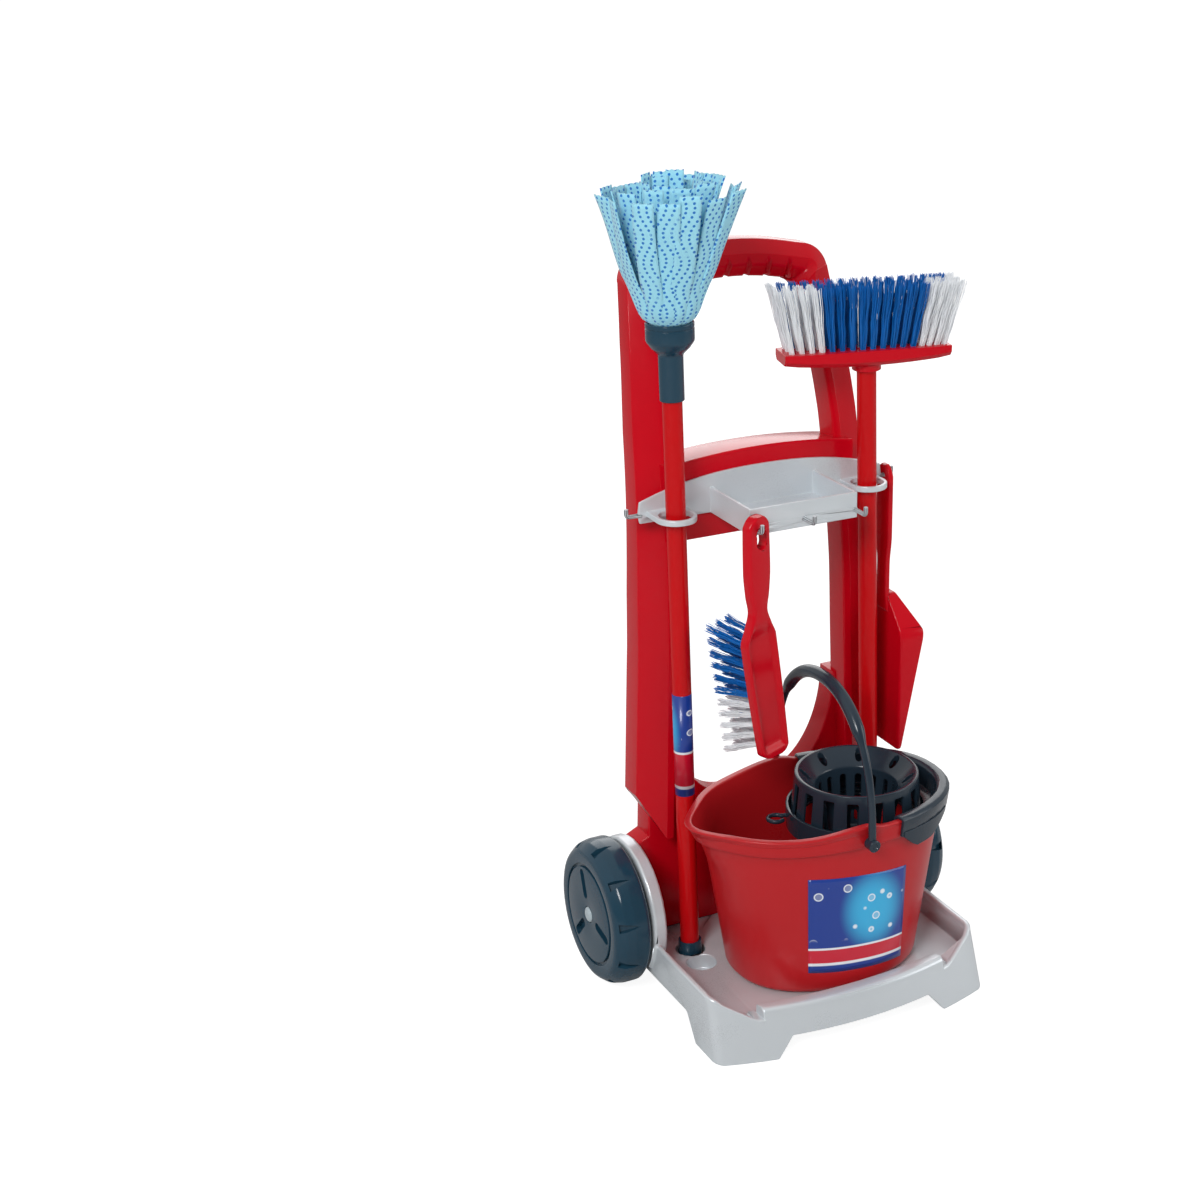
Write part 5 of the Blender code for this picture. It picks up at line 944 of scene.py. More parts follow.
def plate(outline, place, start, end, round_edge, steps=4):
    """Thick plate from a flat outline, with round edges on both faces."""
    angles = [math.pi / 2 * t for t in shares(steps)]
    levels = [(round_edge * (1 - math.sin(a)), round_edge * (1 - math.cos(a))) for a in angles]
    sign = 1 if end > start else -1
    rings = [(start + sign * rise, inset) for inset, rise in levels]
    rings += [(end - sign * rise, inset) for inset, rise in reversed(levels)]
    return loft([[place(p.x, p.y, level) for p in inset_outline(outline, inset)] for level, inset in rings])


def prism(outline, place, start, end):
    """Straight bar with a flat outline."""
    return loft([[place(*point, level) for point in outline] for level in (start, end)])


def slot_outline(middle, top, width, reach):
    """Upright slot with round ends, hanging from its top."""
    half = width / 2
    angles = [math.pi * t for t in shares(10)]
    crown = [(middle + half * math.cos(a), top - half + half * math.sin(a)) for a in angles]
    foot = [(middle - half * math.cos(a), top - reach + half - half * math.sin(a)) for a in angles]
    return crown + foot


def smooth_table(table, at):
    """Smooth value between the rows of a table of (position, value), without overshoot."""
    slopes = [(b[1] - a[1]) / (b[0] - a[0]) for a, b in zip(table, table[1:])]
    leans = [slopes[0]]
    for before, after in zip(slopes, slopes[1:]):
        leans.append(2 * before * after / (before + after) if before * after > 0 else 0)
    leans.append(slopes[-1])
    row = max(i for i in range(len(slopes)) if i == 0 or at >= table[i][0])
    (low, value), (high, end) = table[row], table[row + 1]
    span = high - low
    t = min(max((at - low) / span, 0), 1)
    start_part = (2 * t ** 3 - 3 * t ** 2 + 1) * value + (t ** 3 - 2 * t ** 2 + t) * span * leans[row]
    return start_part + (3 * t ** 2 - 2 * t ** 3) * end + (t ** 3 - t ** 2) * span * leans[row + 1]


def ease(value, low, high):
    """Smooth rise from 0 at low to 1 at high."""
    t = min(max((value - low) / (high - low), 0), 1)
    return t * t * (3 - 2 * t)


def along_y(x, z, y):
    """Point of an outline drawn across and up, at a depth."""
    return Vector((x, y, z))


def along_x(y, z, x):
    """Point of an outline drawn in depth and up, at a place across."""
    return Vector((x, y, z))


def mix_value(share, low, high):
    """Value at a share of the way from low to high."""
    return low + (high - low) * min(max(share, 0), 1)


# Push frame

def frame_half_width(z):
    """Half width of the frame's outer edge at a height."""
    for (low, low_width), (high, high_width) in zip(FRAME_EDGE, FRAME_EDGE[1:]):
        if z <= high:
            break
    return low_width + (high_width - low_width) * (z - low) / (high - low)


def frame_corner():
    """Centre of the handle's rounded corner."""
    corner_z = FRAME_TOP_Z - FRAME_TOP_ARCH - FRAME_CORNER_RADIUS
    return frame_half_width(corner_z) - FRAME_CORNER_RADIUS, corner_z


def frame_edge():
    """The frame's outer edge from the right foot over the handle to the left foot."""
    corner_x, corner_z = frame_corner()
    heights = [mix_value(t, FRAME_LOW_Z, corner_z) for t in shares(56)[:-1]]
    right = [(frame_half_width(z), z) for z in heights]
    right += round_run((corner_x, corner_z), FRAME_CORNER_RADIUS, 0, 90, 14)
    span = 15
    for k in range(1, span):
        x = corner_x * (1 - k / (span - 0.5))
        right.append((x, FRAME_TOP_Z - FRAME_TOP_ARCH * (x / corner_x) ** 2))
    return mirrored(right)


def inset_point(here, inward, inset):
    """Point inside the frame's edge; round the handle's corner it keeps a small radius of its own."""
    corner_x, corner_z = frame_corner()
    if abs(here.x) < corner_x - CORNER_MARGIN or here.y < corner_z - CORNER_MARGIN:
        return here + inward * inset
    radius = max(FRAME_CORNER_RADIUS - inset, FRAME_INNER_RADIUS)
    shift = FRAME_CORNER_RADIUS - inset - radius
    centre = Vector((math.copysign(corner_x + shift, here.x), corner_z + shift))
    return centre - inward * radius


def frame_front_y(z):
    """Depth of the frame's front at a height; its top leans back."""
    share = max(z - FRAME_LEAN_Z, 0) / (FRAME_TOP_Z - FRAME_LEAN_Z)
    return FRAME_FRONT_Y + FRAME_TOP_LEAN * share ** FRAME_LEAN_POWER


def frame_ring(edge, i):
    """Rounded section of the bar at one place along its edge."""
    before = Vector(edge[max(i - 1, 0)])
    after = Vector(edge[min(i + 1, len(edge) - 1)])
    tangent = (after - before).normalized()
    inward = Vector((-tangent.y, tangent.x))
    here = Vector(edge[i])
    front = frame_front_y(here.y)
    share = (here.y - FRAME_LEAN_Z) / (FRAME_TOP_Z - FRAME_LEAN_Z)
    depth = mix_value(share, FRAME_DEPTH_LOW, FRAME_DEPTH_TOP)
    inner = RIDGE_OFFSET + RIDGE_FLAT
    grip = ease(here.y, frame_corner()[1] - GRIP_FADE, FRAME_TOP_Z - FRAME_TOP_ARCH)
    ridge = mix_value(grip, RIDGE_OFFSET, GRIP_RIDGE)
    belly = mix_value(grip, RIDGE_OFFSET + RIDGE_FLAT / 2, GRIP_BELLY)
    crest = front - RIDGE_RISE
    corners = [(0, front + depth), (0, front), (ridge, crest + GRIP_CREST * grip), (belly, crest),
               (inner, crest + GRIP_UNDER * grip), (inner, front + INNER_BACK)]
    *rounds, under, back = FRAME_ROUNDS
    section = filleted(corners, (*rounds, mix_value(grip, under, GRIP_UNDER_ROUND), back))
    foot = mix_value((FRAME_SECOND_Z - here.y) / (FRAME_SECOND_Z - FRAME_LOW_Z), 0, 1)
    drop = foot * (FRAME_LOW_Z - FRAME_RIDGE_END_Z)
    ring = []
    for inset, y in section:
        spot = inset_point(here, inward, inset)
        ring.append(Vector((spot.x, y, spot.y - drop * min(inset / RIDGE_OFFSET, 1))))
    return ring


def frame_hoop():
    """Uprights and handle in one bent bar."""
    edge = frame_edge()
    return loft([frame_ring(edge, i) for i in range(len(edge))])


def lower_panel():
    """Panel between the wheel housings, with a U-shaped top edge."""
    wide = PANEL_HORN_X - PANEL_DIP_HALF_WIDTH
    deep = PANEL_HORN_Z - PANEL_DIP_Z
    angles = [math.pi / 2 * t for t in shares(20)]
    dip = [(PANEL_DIP_HALF_WIDTH + wide * math.cos(a), PANEL_HORN_Z - deep * math.sin(a)) for a in angles]
    right = [(PANEL_FOOT_HALF_WIDTH, PANEL_FOOT_Z), (PANEL_FOOT_HALF_WIDTH, PANEL_SHOULDER_Z - PANEL_SLOPE),
             (PANEL_HALF_WIDTH, PANEL_SHOULDER_Z), (PANEL_HALF_WIDTH - PANEL_HORN_INSET, PANEL_HORN_Z), *dip]
    return plate(mirrored(right), along_y, 0, PANEL_DEPTH, PLATE_EDGE)


def crossbar():
    """Arched beam behind the shelf."""
    low, front, edge = CROSSBAR_LOW_Z, CROSSBAR_FRONT_Y, CROSSBAR_EDGE
    foot_y, back_y, top_y = CROSSBAR_BACK_Y
    rings = []
    for t in shares(36):
        x = CROSSBAR_HALF_WIDTH * (2 * t - 1)
        top = CROSSBAR_TOP_Z - CROSSBAR_ARCH * (x / CROSSBAR_HALF_WIDTH) ** 2
        corners = [(front, low), (foot_y, low), (back_y, low + CROSSBAR_HEEL), (top_y, top - CROSSBAR_FALL),
                   (front + edge, top), (front, top - edge)]
        rings.append([along_x(y, z, x) for y, z in filleted(corners, CROSSBAR_ROUNDS)])
    return loft(rings)


def grip_grooves():
    """Finger grooves under the front of the handle."""
    tools = []
    under = RIDGE_OFFSET + RIDGE_FLAT
    path = ((-0.0026, GRIP_RIDGE + 0.0005), (-0.0008, GRIP_BELLY), (0.0048, under + 0.0006),
            (0.0120, under + 0.0012))       # (behind the crest, below the handle's top)
    corner_x = frame_corner()[0]
    for k in range(GRIP_NOTCHES):
        x = GRIP_NOTCH_PITCH * (k - (GRIP_NOTCHES - 1) / 2)
        z = FRAME_TOP_Z - FRAME_TOP_ARCH * (x / corner_x) ** 2
        y = frame_front_y(z) - RIDGE_RISE
        points = [Vector((x, y + back, z - down)) for back, down in path]
        tools.append(sweep(points, [GRIP_NOTCH_RADIUS] * len(points), 14))
    return merge(tools)


def screw_seats():
    """Round seats behind the crossbar for the heads of the shelf's screws."""
    tools = []
    for side in ("left", "right"):
        low, high = (corner - SET_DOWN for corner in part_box(f"shelf_screw_{side}"))
        start = Vector(((low.x + high.x) / 2, high.y - SCREW_HEAD_THICK, (low.z + high.z) / 2))
        seat = rod(SCREW_SEAT_RADIUS, 0, SCREW_SEAT_REACH)
        tools.append(turned(seat, 28, aim(start, start + Vector((0, 1, 0)))))
    return merge(tools)


class TROLLEY_OT_push_frame(bpy.types.Operator):
    """Make the push frame: uprights, handle, crossbar and lower panel in one moulding"""

    bl_idname = "trolley.push_frame"
    bl_label = "Push frame"

    def execute(self, context):
        body = combine(frame_hoop(), crossbar(), "UNION")
        body = combine(body, lower_panel(), "UNION")
        for tools in (grip_grooves(), screw_seats()):
            body = combine(body, tools, "DIFFERENCE")
        add_piece("frame_moulding", placed(body), "red", "chassis", ("push_frame",), sharp=35)
        return {"FINISHED"}


# Base, wheels, shelf and fixings

def base_front(x, lean):
    """Depth of the tray's bowed front at a place across it."""
    return BASE_CORNER_Y + lean - BASE_FRONT_BOW * (1 - (x / BASE_HALF_WIDTH) ** 2)


def corner_tools():
    """Tools that round the tray's two upright front corners, and one that lowers the sill for its lip."""
    tools = []
    for side in (-1, 1):
        rings = []
        for z in (-PAST, BASE_RIM_Z + PAST):
            half = BASE_HALF_WIDTH - BASE_SIDE_DRAFT * z / BASE_RIM_Z
            lean = tray_lean(z)
            corner = Vector((half, base_front(half, lean)))
            beside = half * (1 - 2 / BASE_FRONT_STEPS)
            inward = (Vector((beside, base_front(beside, lean))) - corner).normalized()
            outward = Vector((-inward.y, inward.x))
            start = corner + Vector((CORNER_LIFT, BASE_CORNER_RUN))
            end = corner + inward * BASE_CORNER_RUN + outward * CORNER_LIFT
            outline = [curve(start, corner, end, t) for t in shares(CORNER_STEPS)]
            outline += [end + Vector((0, -PAST)), corner + Vector((PAST, -PAST)), start + Vector((PAST, 0))]
            rings.append([Vector((side * p.x, p.y, z)) for p in outline])
        tools.append(loft(rings))
    front = BASE_CORNER_Y - PAST
    plan = [(-SILL_HALF_WIDTH, front), (SILL_HALF_WIDTH, front), (SILL_HALF_WIDTH, TRAY_FRONT_Y),
            (-SILL_HALF_WIDTH, TRAY_FRONT_Y)]
    tools.append(loft([[Vector((x, y, z)) for x, y in plan] for z in (SILL_CUT_Z, BASE_RIM_Z + PAST)]))
    return merge(tools)


def corner_tops():
    """Tools that lower the walls at the front corners, where the thick rim takes over."""
    half = BASE_HALF_WIDTH - BASE_SIDE_DRAFT
    foot, top = NOTCH_Z - RIM_CUT, BASE_RIM_Z - RIM_CUT
    wedge = [(NOTCH_X, foot), (half, top), (half + PAST, top), (half + PAST, BASE_RIM_Z + PAST),
             (NOTCH_X, BASE_RIM_Z + PAST)]
    front = BASE_CORNER_Y - BASE_FRONT_BOW
    sides = [[(side * x, z) for x, z in wedge] for side in (-1, 1)]
    return merge([prism(outline, along_y, front, CORNER_BACK_Y) for outline in sides])


def tray_lean(z):
    """How far the tray's front leans back at a height."""
    return BASE_CORNER_LEAN * z / BASE_RIM_Z


def sill_lip():
    """Broad round lip across the tray's front."""
    lip, back = SILL_ROUND
    slope = math.atan(BASE_CORNER_LEAN / BASE_RIM_Z)
    touch_z = SILL_TOP_Z - lip * (1 - math.sin(slope))
    rings = []
    for t in shares(SILL_STEPS):
        x = SILL_HALF_WIDTH * (2 * t - 1)
        inner = SILL_INNER_Y + SILL_INNER_BOW * (x / SILL_HALF_WIDTH) ** 2
        touch = base_front(x, tray_lean(touch_z)) - RIM_PROUD
        section = [(base_front(x, tray_lean(SILL_FOOT_Z[0])) + RIM_PROUD, SILL_FOOT_Z[0])]
        section += round_run((touch + lip * math.cos(slope), SILL_TOP_Z - lip), lip,
                             180 - math.degrees(slope), 90)
        section += round_run((inner - back, SILL_TOP_Z - SILL_BACK_DROP - back), back, 90, 0)
        section.append((inner, SILL_FOOT_Z[1]))
        rings.append([along_x(y, z, x) for y, z in section])
    return loft(rings)


def rim_path(side):
    """Outer top edge of a side wall, round the front corner and down to the notch."""
    straight_steps, corner_steps, slope_steps = 4, 8, 6
    half = BASE_HALF_WIDTH - BASE_SIDE_DRAFT
    rising = (BASE_RIM_Z - NOTCH_Z) / (half - NOTCH_X)
    corner = Vector((half, base_front(half, BASE_CORNER_LEAN), BASE_RIM_Z))

    def front(x):
        z = NOTCH_Z + rising * max(0, x - NOTCH_X)
        return Vector((x, base_front(x, tray_lean(z)), z))

    start = corner + Vector((0, BASE_CORNER_RUN, 0))
    end = front(half - BASE_CORNER_RUN)
    behind = corner.copy()
    behind.y = AXLE_Y - RIM_START_Y
    path = [behind.lerp(start, t) for t in shares(straight_steps)[:-1]]
    for t in shares(corner_steps):
        point = curve(start, corner, end, t)
        point.z = mix_value(t ** 4, start.z, end.z)
        path.append(point)
    path += [front(mix_value(t, end.x, NOTCH_END_X)) for t in shares(slope_steps)[1:]]
    return [Vector((side * p.x, p.y, p.z)) for p in path]


def rim_bar(side):
    """Thick round rim along a side wall and down to the notch."""
    path = rim_path(side)
    top = RIM_PROUD - RIM_ROUND
    section = [*RIM_FOOT]
    section += round_run((top, top), RIM_ROUND, 0, 90, 4)
    section += round_run((top - RIM_FLAT, top), RIM_ROUND, 90, 180, 4)
    slope = BASE_CORNER_LEAN / BASE_RIM_Z
    rings = []
    for i, point in enumerate(path):
        run = (path[min(i + 1, len(path) - 1)] - path[max(i - 1, 0)]).normalized()
        flat = Vector((-run.y, run.x, 0)).normalized() * side
        flat = flat if flat.x * side > 0 or flat.y < 0 else -flat
        outward = Vector((flat.x, flat.y, slope * max(0, -flat.y))).normalized()
        upward = outward.cross(run).normalized()
        upward = upward if upward.z > 0 else -upward
        rings.append([point + outward * out + upward * up for out, up in section])
    return loft(rings)


def tray_edge_share(edge):
    """How round an edge of the tray is, from 0 to 1: most on the wheel housings, not at the front corners."""
    if not edge.is_manifold or edge.calc_face_angle() < math.radians(EDGE_ANGLE):
        return 0
    first, second = (vert.co for vert in edge.verts)
    here = (first + second) / 2 - SET_DOWN
    upright = abs((first - second).normalized().z) > 0.8
    near_corner = here.y < CORNER_BACK_Y + RIM_CUT and abs(here.x) > NOTCH_X
    if near_corner and (upright or here.z > NOTCH_Z - RIM_CUT):
        return 0
    from_axle = math.hypot(here.y - AXLE_Y, here.z - WHEEL_RADIUS)
    outside = abs(here.x) > FENDER_INNER_X - HOUSING_MARGINS[0]
    return TRAY_EDGE_SHARES[outside and abs(from_axle - FENDER_RADIUS) < HOUSING_MARGINS[1]]


class TROLLEY_OT_base_tray(bpy.types.Operator):
    """Make the base tray with its wheel housings"""

    bl_idname = "trolley.base_tray"
    bl_label = "Base tray"

    def execute(self, context):
        body = node_mesh("base_tray")
        for tools in (corner_tools(), corner_tops()):
            body = combine(body, placed(tools), "DIFFERENCE")
        body = merge([body, placed(sill_lip()), placed(rim_bar(-1)), placed(rim_bar(1))])
        share = body.edges.layers.float.new("bevel_weight_edge")
        for edge in body.edges:
            edge[share] = tray_edge_share(edge)
        piece = add_piece("tray_moulding", body, "silver", "chassis", ("base_tray",))
        add_bevel(piece, sizes().tray_edge, 4).modifiers["edges"].limit_method = "WEIGHT"
        return {"FINISHED"}


def wheel_profile():
    """Section of the wheel as (radius, distance out from the middle of the trolley), each corner rounded."""
    out = WHEEL_OUTER_X
    inner = out - WHEEL_WIDTH
    seat, groove, recess = out - WHEEL_CAP_DEPTH, out - WHEEL_GROOVE, inner + WHEEL_RECESS
    disc = WHEEL_DISC_RADIUS - WHEEL_GROOVE
    rim = WHEEL_RADIUS - WHEEL_RIM_THICK
    corners = [((WHEEL_BORE, seat), 0.0001), ((WHEEL_CAP_SEAT, seat), 0.0002),
               ((WHEEL_CAP_SEAT, out), 0.0005), ((disc, out), 0.0008), ((disc, groove), 0.0003),
               ((WHEEL_DISC_RADIUS, groove), 0.0003), ((WHEEL_DISC_RADIUS, out - 0.0002), 0.0008),
               ((WHEEL_RADIUS - WHEEL_SHOULDER, out), 0.006),
               ((WHEEL_RADIUS - 0.0017, out - WHEEL_SHOULDER), 0.007),
               ((WHEEL_RADIUS, out - 2 * WHEEL_SHOULDER), 0.008), ((WHEEL_RADIUS, inner + 0.003), 0.003),
               ((WHEEL_RADIUS - 0.003, inner), 0.001), ((rim, inner), 0.0008),
               ((rim - 0.002, recess), 0.002), ((WHEEL_HUB_RADIUS, recess), 0.002),
               ((WHEEL_HUB_RADIUS, inner), 0.0006), ((WHEEL_BORE, inner), 0.0003)]
    return rounded_section(corners, 3)


def wheel_cutters():
    """Three slots in the disc and a ring of tapered notches in the tread's shoulder."""
    tools = []
    near, far = WHEEL_SLOT_RUN
    for k in range(WHEEL_SLOTS):
        slot = prism(slot_outline(0, far, WHEEL_SLOT_WIDTH, far - near), along_x,
                     WHEEL_OUTER_X - WHEEL_SLOT_DEPTH, WHEEL_OUTER_X + PAST)
        turn = Matrix.Rotation(math.tau * k / WHEEL_SLOTS + WHEEL_SLOT_TURN, 4, "X")
        tools.append(placed(slot, WHEEL_CENTRE @ turn))
    end_width, foot_width = WHEEL_NOTCH_TAPER
    high = WHEEL_RADIUS + PAST
    for k in range(WHEEL_NOTCHES):
        rings = []
        for run, width, depth in ((WHEEL_NOTCH_RUN[0], 1, 1), (WHEEL_NOTCH_RUN[1], end_width, 0)):
            half = WHEEL_NOTCH_HALF_WIDTH * width
            foot = half * foot_width
            low = WHEEL_RADIUS - WHEEL_NOTCH_DEPTH * depth - 0.0001
            lug = [(-foot, low), (-half, high), (half, high), (foot, low)]
            rings.append([along_x(y, z, WHEEL_OUTER_X - run) for y, z in lug])
        turn = Matrix.Rotation(math.tau * (k + WHEEL_NOTCH_PHASE) / WHEEL_NOTCHES, 4, "X")
        tools.append(placed(loft(rings), WHEEL_CENTRE @ turn))
    return merge(tools)


def wheel(side):
    """Wheel for the right-hand side, or its mirror image."""
    turn = WHEEL_CENTRE @ Matrix.Rotation(math.pi / 2, 4, "Y")
    body = combine(turned(wheel_profile(), 96, turn, closed=True), wheel_cutters(), "DIFFERENCE")
    if side < 0:
        body.transform(Matrix.Scale(-1, 4, (1, 0, 0)))
        bmesh.ops.reverse_faces(body, faces=body.faces)
    return placed(body)


class TROLLEY_OT_wheels(bpy.types.Operator):
    """Make the wheels, and finish their caps and pins"""

    bl_idname = "trolley.wheels"
    bl_label = "Wheels"

    def execute(self, context):
        for side, sign in (("left", -1), ("right", 1)):
            add_piece(f"tyre_{side}", wheel(sign), "slate", f"wheel_{side}", (f"wheel_{side}",), sharp=30)
            rounded_copy(f"hub_cap_{side}", f"hub_button_{side}", sizes().fine_edge)
            dress(f"axle_pin_{side}")
        return {"FINISHED"}


class TROLLEY_OT_shelf(bpy.types.Operator):
    """Make the shelf, and finish the screws that hold the frame"""

    bl_idname = "trolley.shelf"
    bl_label = "Shelf"

    def execute(self, context):
        rounded_copy("shelf", "shelf_moulding", sizes().edge)
        for node in frame["nodes"]:
            if "screw" in node:
                dress(node)
        return {"FINISHED"}


# Bucket

def bucket_point(angle, half, z, spout):
    """Point of the bucket's oval plan at an angle, with the pouring spout at its left end."""
    power = 2 / BUCKET_ROUNDNESS
    c, s = math.cos(angle), math.sin(angle)
    x = math.copysign(abs(c) ** power, c) * half[0]
    y = math.copysign(abs(s) ** power, s) * half[1]
    off = abs(angle % math.tau - math.pi) / SPOUT_WIDTH
    return BUCKET_CENTRE + Vector((x - spout * math.exp(-off * off), y, z))


def bucket_half_sizes(z, grow):
    """Half length and half width of the bucket's plan at a height."""
    share = (z - BUCKET_FLOOR_Z) / (BUCKET_RIM_Z - BUCKET_FLOOR_Z)
    return [foot + share * (rim - foot) + grow for foot, rim in zip(BUCKET_FOOT, BUCKET_RIM)]


def bucket_ring(z, grow, bead):
    """Ring of the bucket's wall; the rim rises to an ear at each end of the bail, and is beaded up to it."""
    spout = SPOUT_REACH * max(0.0, 1 - (BUCKET_RIM_Z - z) / SPOUT_FADE) ** SPOUT_POWER
    lift = EAR_RISE * ease(z, BUCKET_RIM_Z - BUCKET_BAND, BUCKET_RIM_Z)
    ring = []
    for i in range(BUCKET_SIDES):
        angle = math.tau * i / BUCKET_SIDES
        from_collar = 180 - abs(180 - math.degrees(angle))
        past_ear = from_collar - 90
        ear = math.exp(-(past_ear / EAR_SPREAD[past_ear > 0]) ** 2)
        edge = grow + bead * ease(from_collar, *BEAD_START)
        point = bucket_point(angle, bucket_half_sizes(z, edge), z, spout)
        ring.append(point + Vector((0, 0, lift * ear)))
    return ring


def bucket_run(z, grow, radius, start, end, steps=5):
    """Run of (height, growth) points round an arc, angles in degrees from straight out."""
    return [(up, out) for out, up in round_run((grow, z), radius, start, end, steps)]


def bucket_shell():
    """Bucket from its round foot up to the banded rim, and down the inside."""
    foot, round_foot = BUCKET_FOOT_Z, BUCKET_FOOT_ROUND
    band = BUCKET_RIM_Z - BUCKET_BAND
    roll = 0.0014
    side = [mix_value(t, foot + round_foot, band - 0.0008) for t in shares(14)[1:]]
    outer = bucket_run(foot + round_foot, -round_foot, round_foot, -90, 0)
    outer += [(z, 0.0) for z in side]
    turn = 0.0007
    outer += [(band, 0.0004)] + bucket_run(band + turn, BUCKET_BAND_STEP - turn, turn, -90, 0, 3)
    outer += [(BUCKET_RIM_Z - 0.0090, BUCKET_BAND_STEP), (BUCKET_RIM_Z - 0.0050, BUCKET_BAND_STEP)]
    outer = [(z, grow, 0) for z, grow in outer]
    outer += [(BUCKET_RIM_Z - 0.0044, BUCKET_BAND_STEP, BEAD * 0.6)]
    crest = bucket_run(BUCKET_RIM_Z - roll, BUCKET_BAND_STEP - roll, roll, -40, 90, 8)
    outer += [(z, grow, BEAD) for z, grow in crest]
    lip = 0.001
    inner = [(BUCKET_RIM_Z, -0.0006)] + bucket_run(BUCKET_RIM_Z - lip, lip - BUCKET_WALL, lip, 90, 180, 4)
    inner += [(z, -BUCKET_WALL) for z in reversed(side)]
    inner += [(foot + round_foot, -BUCKET_WALL), (foot + BUCKET_WALL, -BUCKET_WALL - round_foot)]
    rings = outer + [(z, grow, 0) for z, grow in inner]
    return loft([bucket_ring(*ring) for ring in rings])


def oval_reach(x, half):
    """Distance from the bucket's long middle line out to its wall, at a place along that line."""
    share = abs(x - BUCKET_CENTRE.x) / half[0]
    return half[1] * (1 - share ** BUCKET_ROUNDNESS) ** (1 / BUCKET_ROUNDNESS)


def bucket_front(x, z, lift):
    """Point on the front of the bucket's outside, lifted off it a little."""
    return Vector((x, BUCKET_CENTRE.y - oval_reach(x, bucket_half_sizes(z, lift)), z))


def add_quad(bm, layer, corners, spots):
    """Four-sided face, with the place of each corner on the print."""
    face = bm.faces.new(corners)
    for loop, spot in zip(face.loops, spots):
        loop[layer].uv = spot


def bucket_label():
    """Thin sticker on the front of the bucket."""
    columns, rows = 28, 20
    bm = bmesh.new()
    layer = bm.loops.layers.uv.new("print")
    grid = {}
    for i in range(columns + 1):
        for j in range(rows + 1):
            u, v = i / columns, j / rows
            foot, top = ([mix_value(u, a, b) for a, b in zip(*edge)] for edge in (LABEL_FOOT, LABEL_TOP))
            x, z = [mix_value(v, a, b) for a, b in zip(foot, top)]
            grid[i, j] = bm.verts.new(bucket_front(x, z, FILM_LIFT[0]))
    for i in range(columns):
        for j in range(rows):
            cells = ((i, j), (i + 1, j), (i + 1, j + 1), (i, j + 1))
            add_quad(bm, layer, [grid[cell] for cell in cells], [(a / columns, b / rows) for a, b in cells])
    bmesh.ops.recalc_face_normals(bm, faces=bm.faces)
    return bm


class TROLLEY_OT_bucket(bpy.types.Operator):
    """Make the bucket and its plain printed label"""

    bl_idname = "trolley.bucket"
    bl_label = "Bucket"

    def execute(self, context):
        add_piece("bucket_moulding", placed(bucket_shell()), "bucket_red", "bucket", ("bucket",))
        material = printed_label("bucket_print", (7.0, 7.0), (0.10, 0.24))
        add_film(add_piece("bucket_label", placed(bucket_label()), "bucket_red", "bucket", (), material))
        return {"FINISHED"}


def wringer_shell():
    """Funnel, skirt and inner basket in one turned shell, each corner with its rounding."""
    wall, rim, top = WRINGER_WALL, WRINGER_RIM_RADIUS, WRINGER_TOP_Z
    mouth, mouth_z = WRINGER_MOUTH_RADIUS, WRINGER_MOUTH_Z
    basket, floor = WRINGER_BASKET_RADIUS, WRINGER_BASKET_Z
    drain = 0.002
    corners = [((WRINGER_SKIRT_RADIUS, WRINGER_SKIRT_Z), 0.0005), ((rim, top), 0.0013),
               ((rim - 0.0028, top - 0.0003), 0.0012), ((mouth, mouth_z), 0.0030),
               ((basket, floor + wall), 0.003), ((drain, floor + wall), 0.0002), ((drain, floor), 0.0002),
               ((basket + wall, floor), 0.002), ((mouth + wall, mouth_z - wall), 0.003),
               ((rim - wall, top - 0.006), 0.001), ((WRINGER_SKIRT_RADIUS - wall, WRINGER_SKIRT_Z), 0.0005)]
    return turned(rounded_section(corners, 4), 96, Matrix.Identity(4), closed=True)


def wringer_cutters():
    """Slots of the skirt, slots of the basket and drain holes of the funnel."""
    skirt, basket, holes = [], [], []
    half = WRINGER_SLOT_WIDTH / 2
    foot, top = WRINGER_SLOT_Z
    low, high = WRINGER_INNER_SLOT_Z
    outline = filleted([(-half, foot), (half, foot), (half, top), (-half, top)], [0.001] * 4)
    inner_outline = slot_outline(0, high, WRINGER_INNER_SLOT, high - low)
    for k in range(WRINGER_SLOTS):
        turn = Matrix.Rotation(math.tau * (k + 0.5) / WRINGER_SLOTS, 4, "Z")
        slot = prism(outline, along_x, WRINGER_RIM_RADIUS - WRINGER_CUT, WRINGER_SKIRT_RADIUS + PAST)
        skirt.append(placed(slot, turn))
        inner = prism(inner_outline, along_x, WRINGER_BASKET_RADIUS - WRINGER_CUT,
                      WRINGER_MOUTH_RADIUS + 2 * PAST)
        basket.append(placed(inner, turn))
    middle = Matrix.Translation(((WRINGER_RIM_RADIUS + WRINGER_MOUTH_RADIUS) / 2, 0, 0))
    oval = Matrix.Diagonal((*WRINGER_HOLE, 1, 1))
    profile = rod(1, WRINGER_MOUTH_Z - WRINGER_CUT, WRINGER_TOP_Z + PAST)
    for k in range(WRINGER_HOLES):
        turn = Matrix.Rotation(math.tau * (k + 0.25) / WRINGER_HOLES, 4, "Z")
        holes.append(turned(profile, 20, turn @ middle @ oval))
    return skirt, basket, holes


def collar_tab():
    """Pointed tab that hangs from the collar's front end, outside the bucket."""
    rings = []
    for share in shares(12):
        angle = math.radians(mix_value(share, *TAB_ANGLES))
        low = TAB_LOW_Z - TAB_DROP * min(1, share / TAB_RISE, (1 - share) / TAB_FALL)
        inner, outer = TAB_GROW
        section = ((TAB_TOP_Z, outer), (low, outer), (low, inner), (TAB_TOP_Z, inner))
        rings.append([bucket_point(angle, bucket_half_sizes(z, grow), z, 0) for z, grow in section])
    return loft(rings)


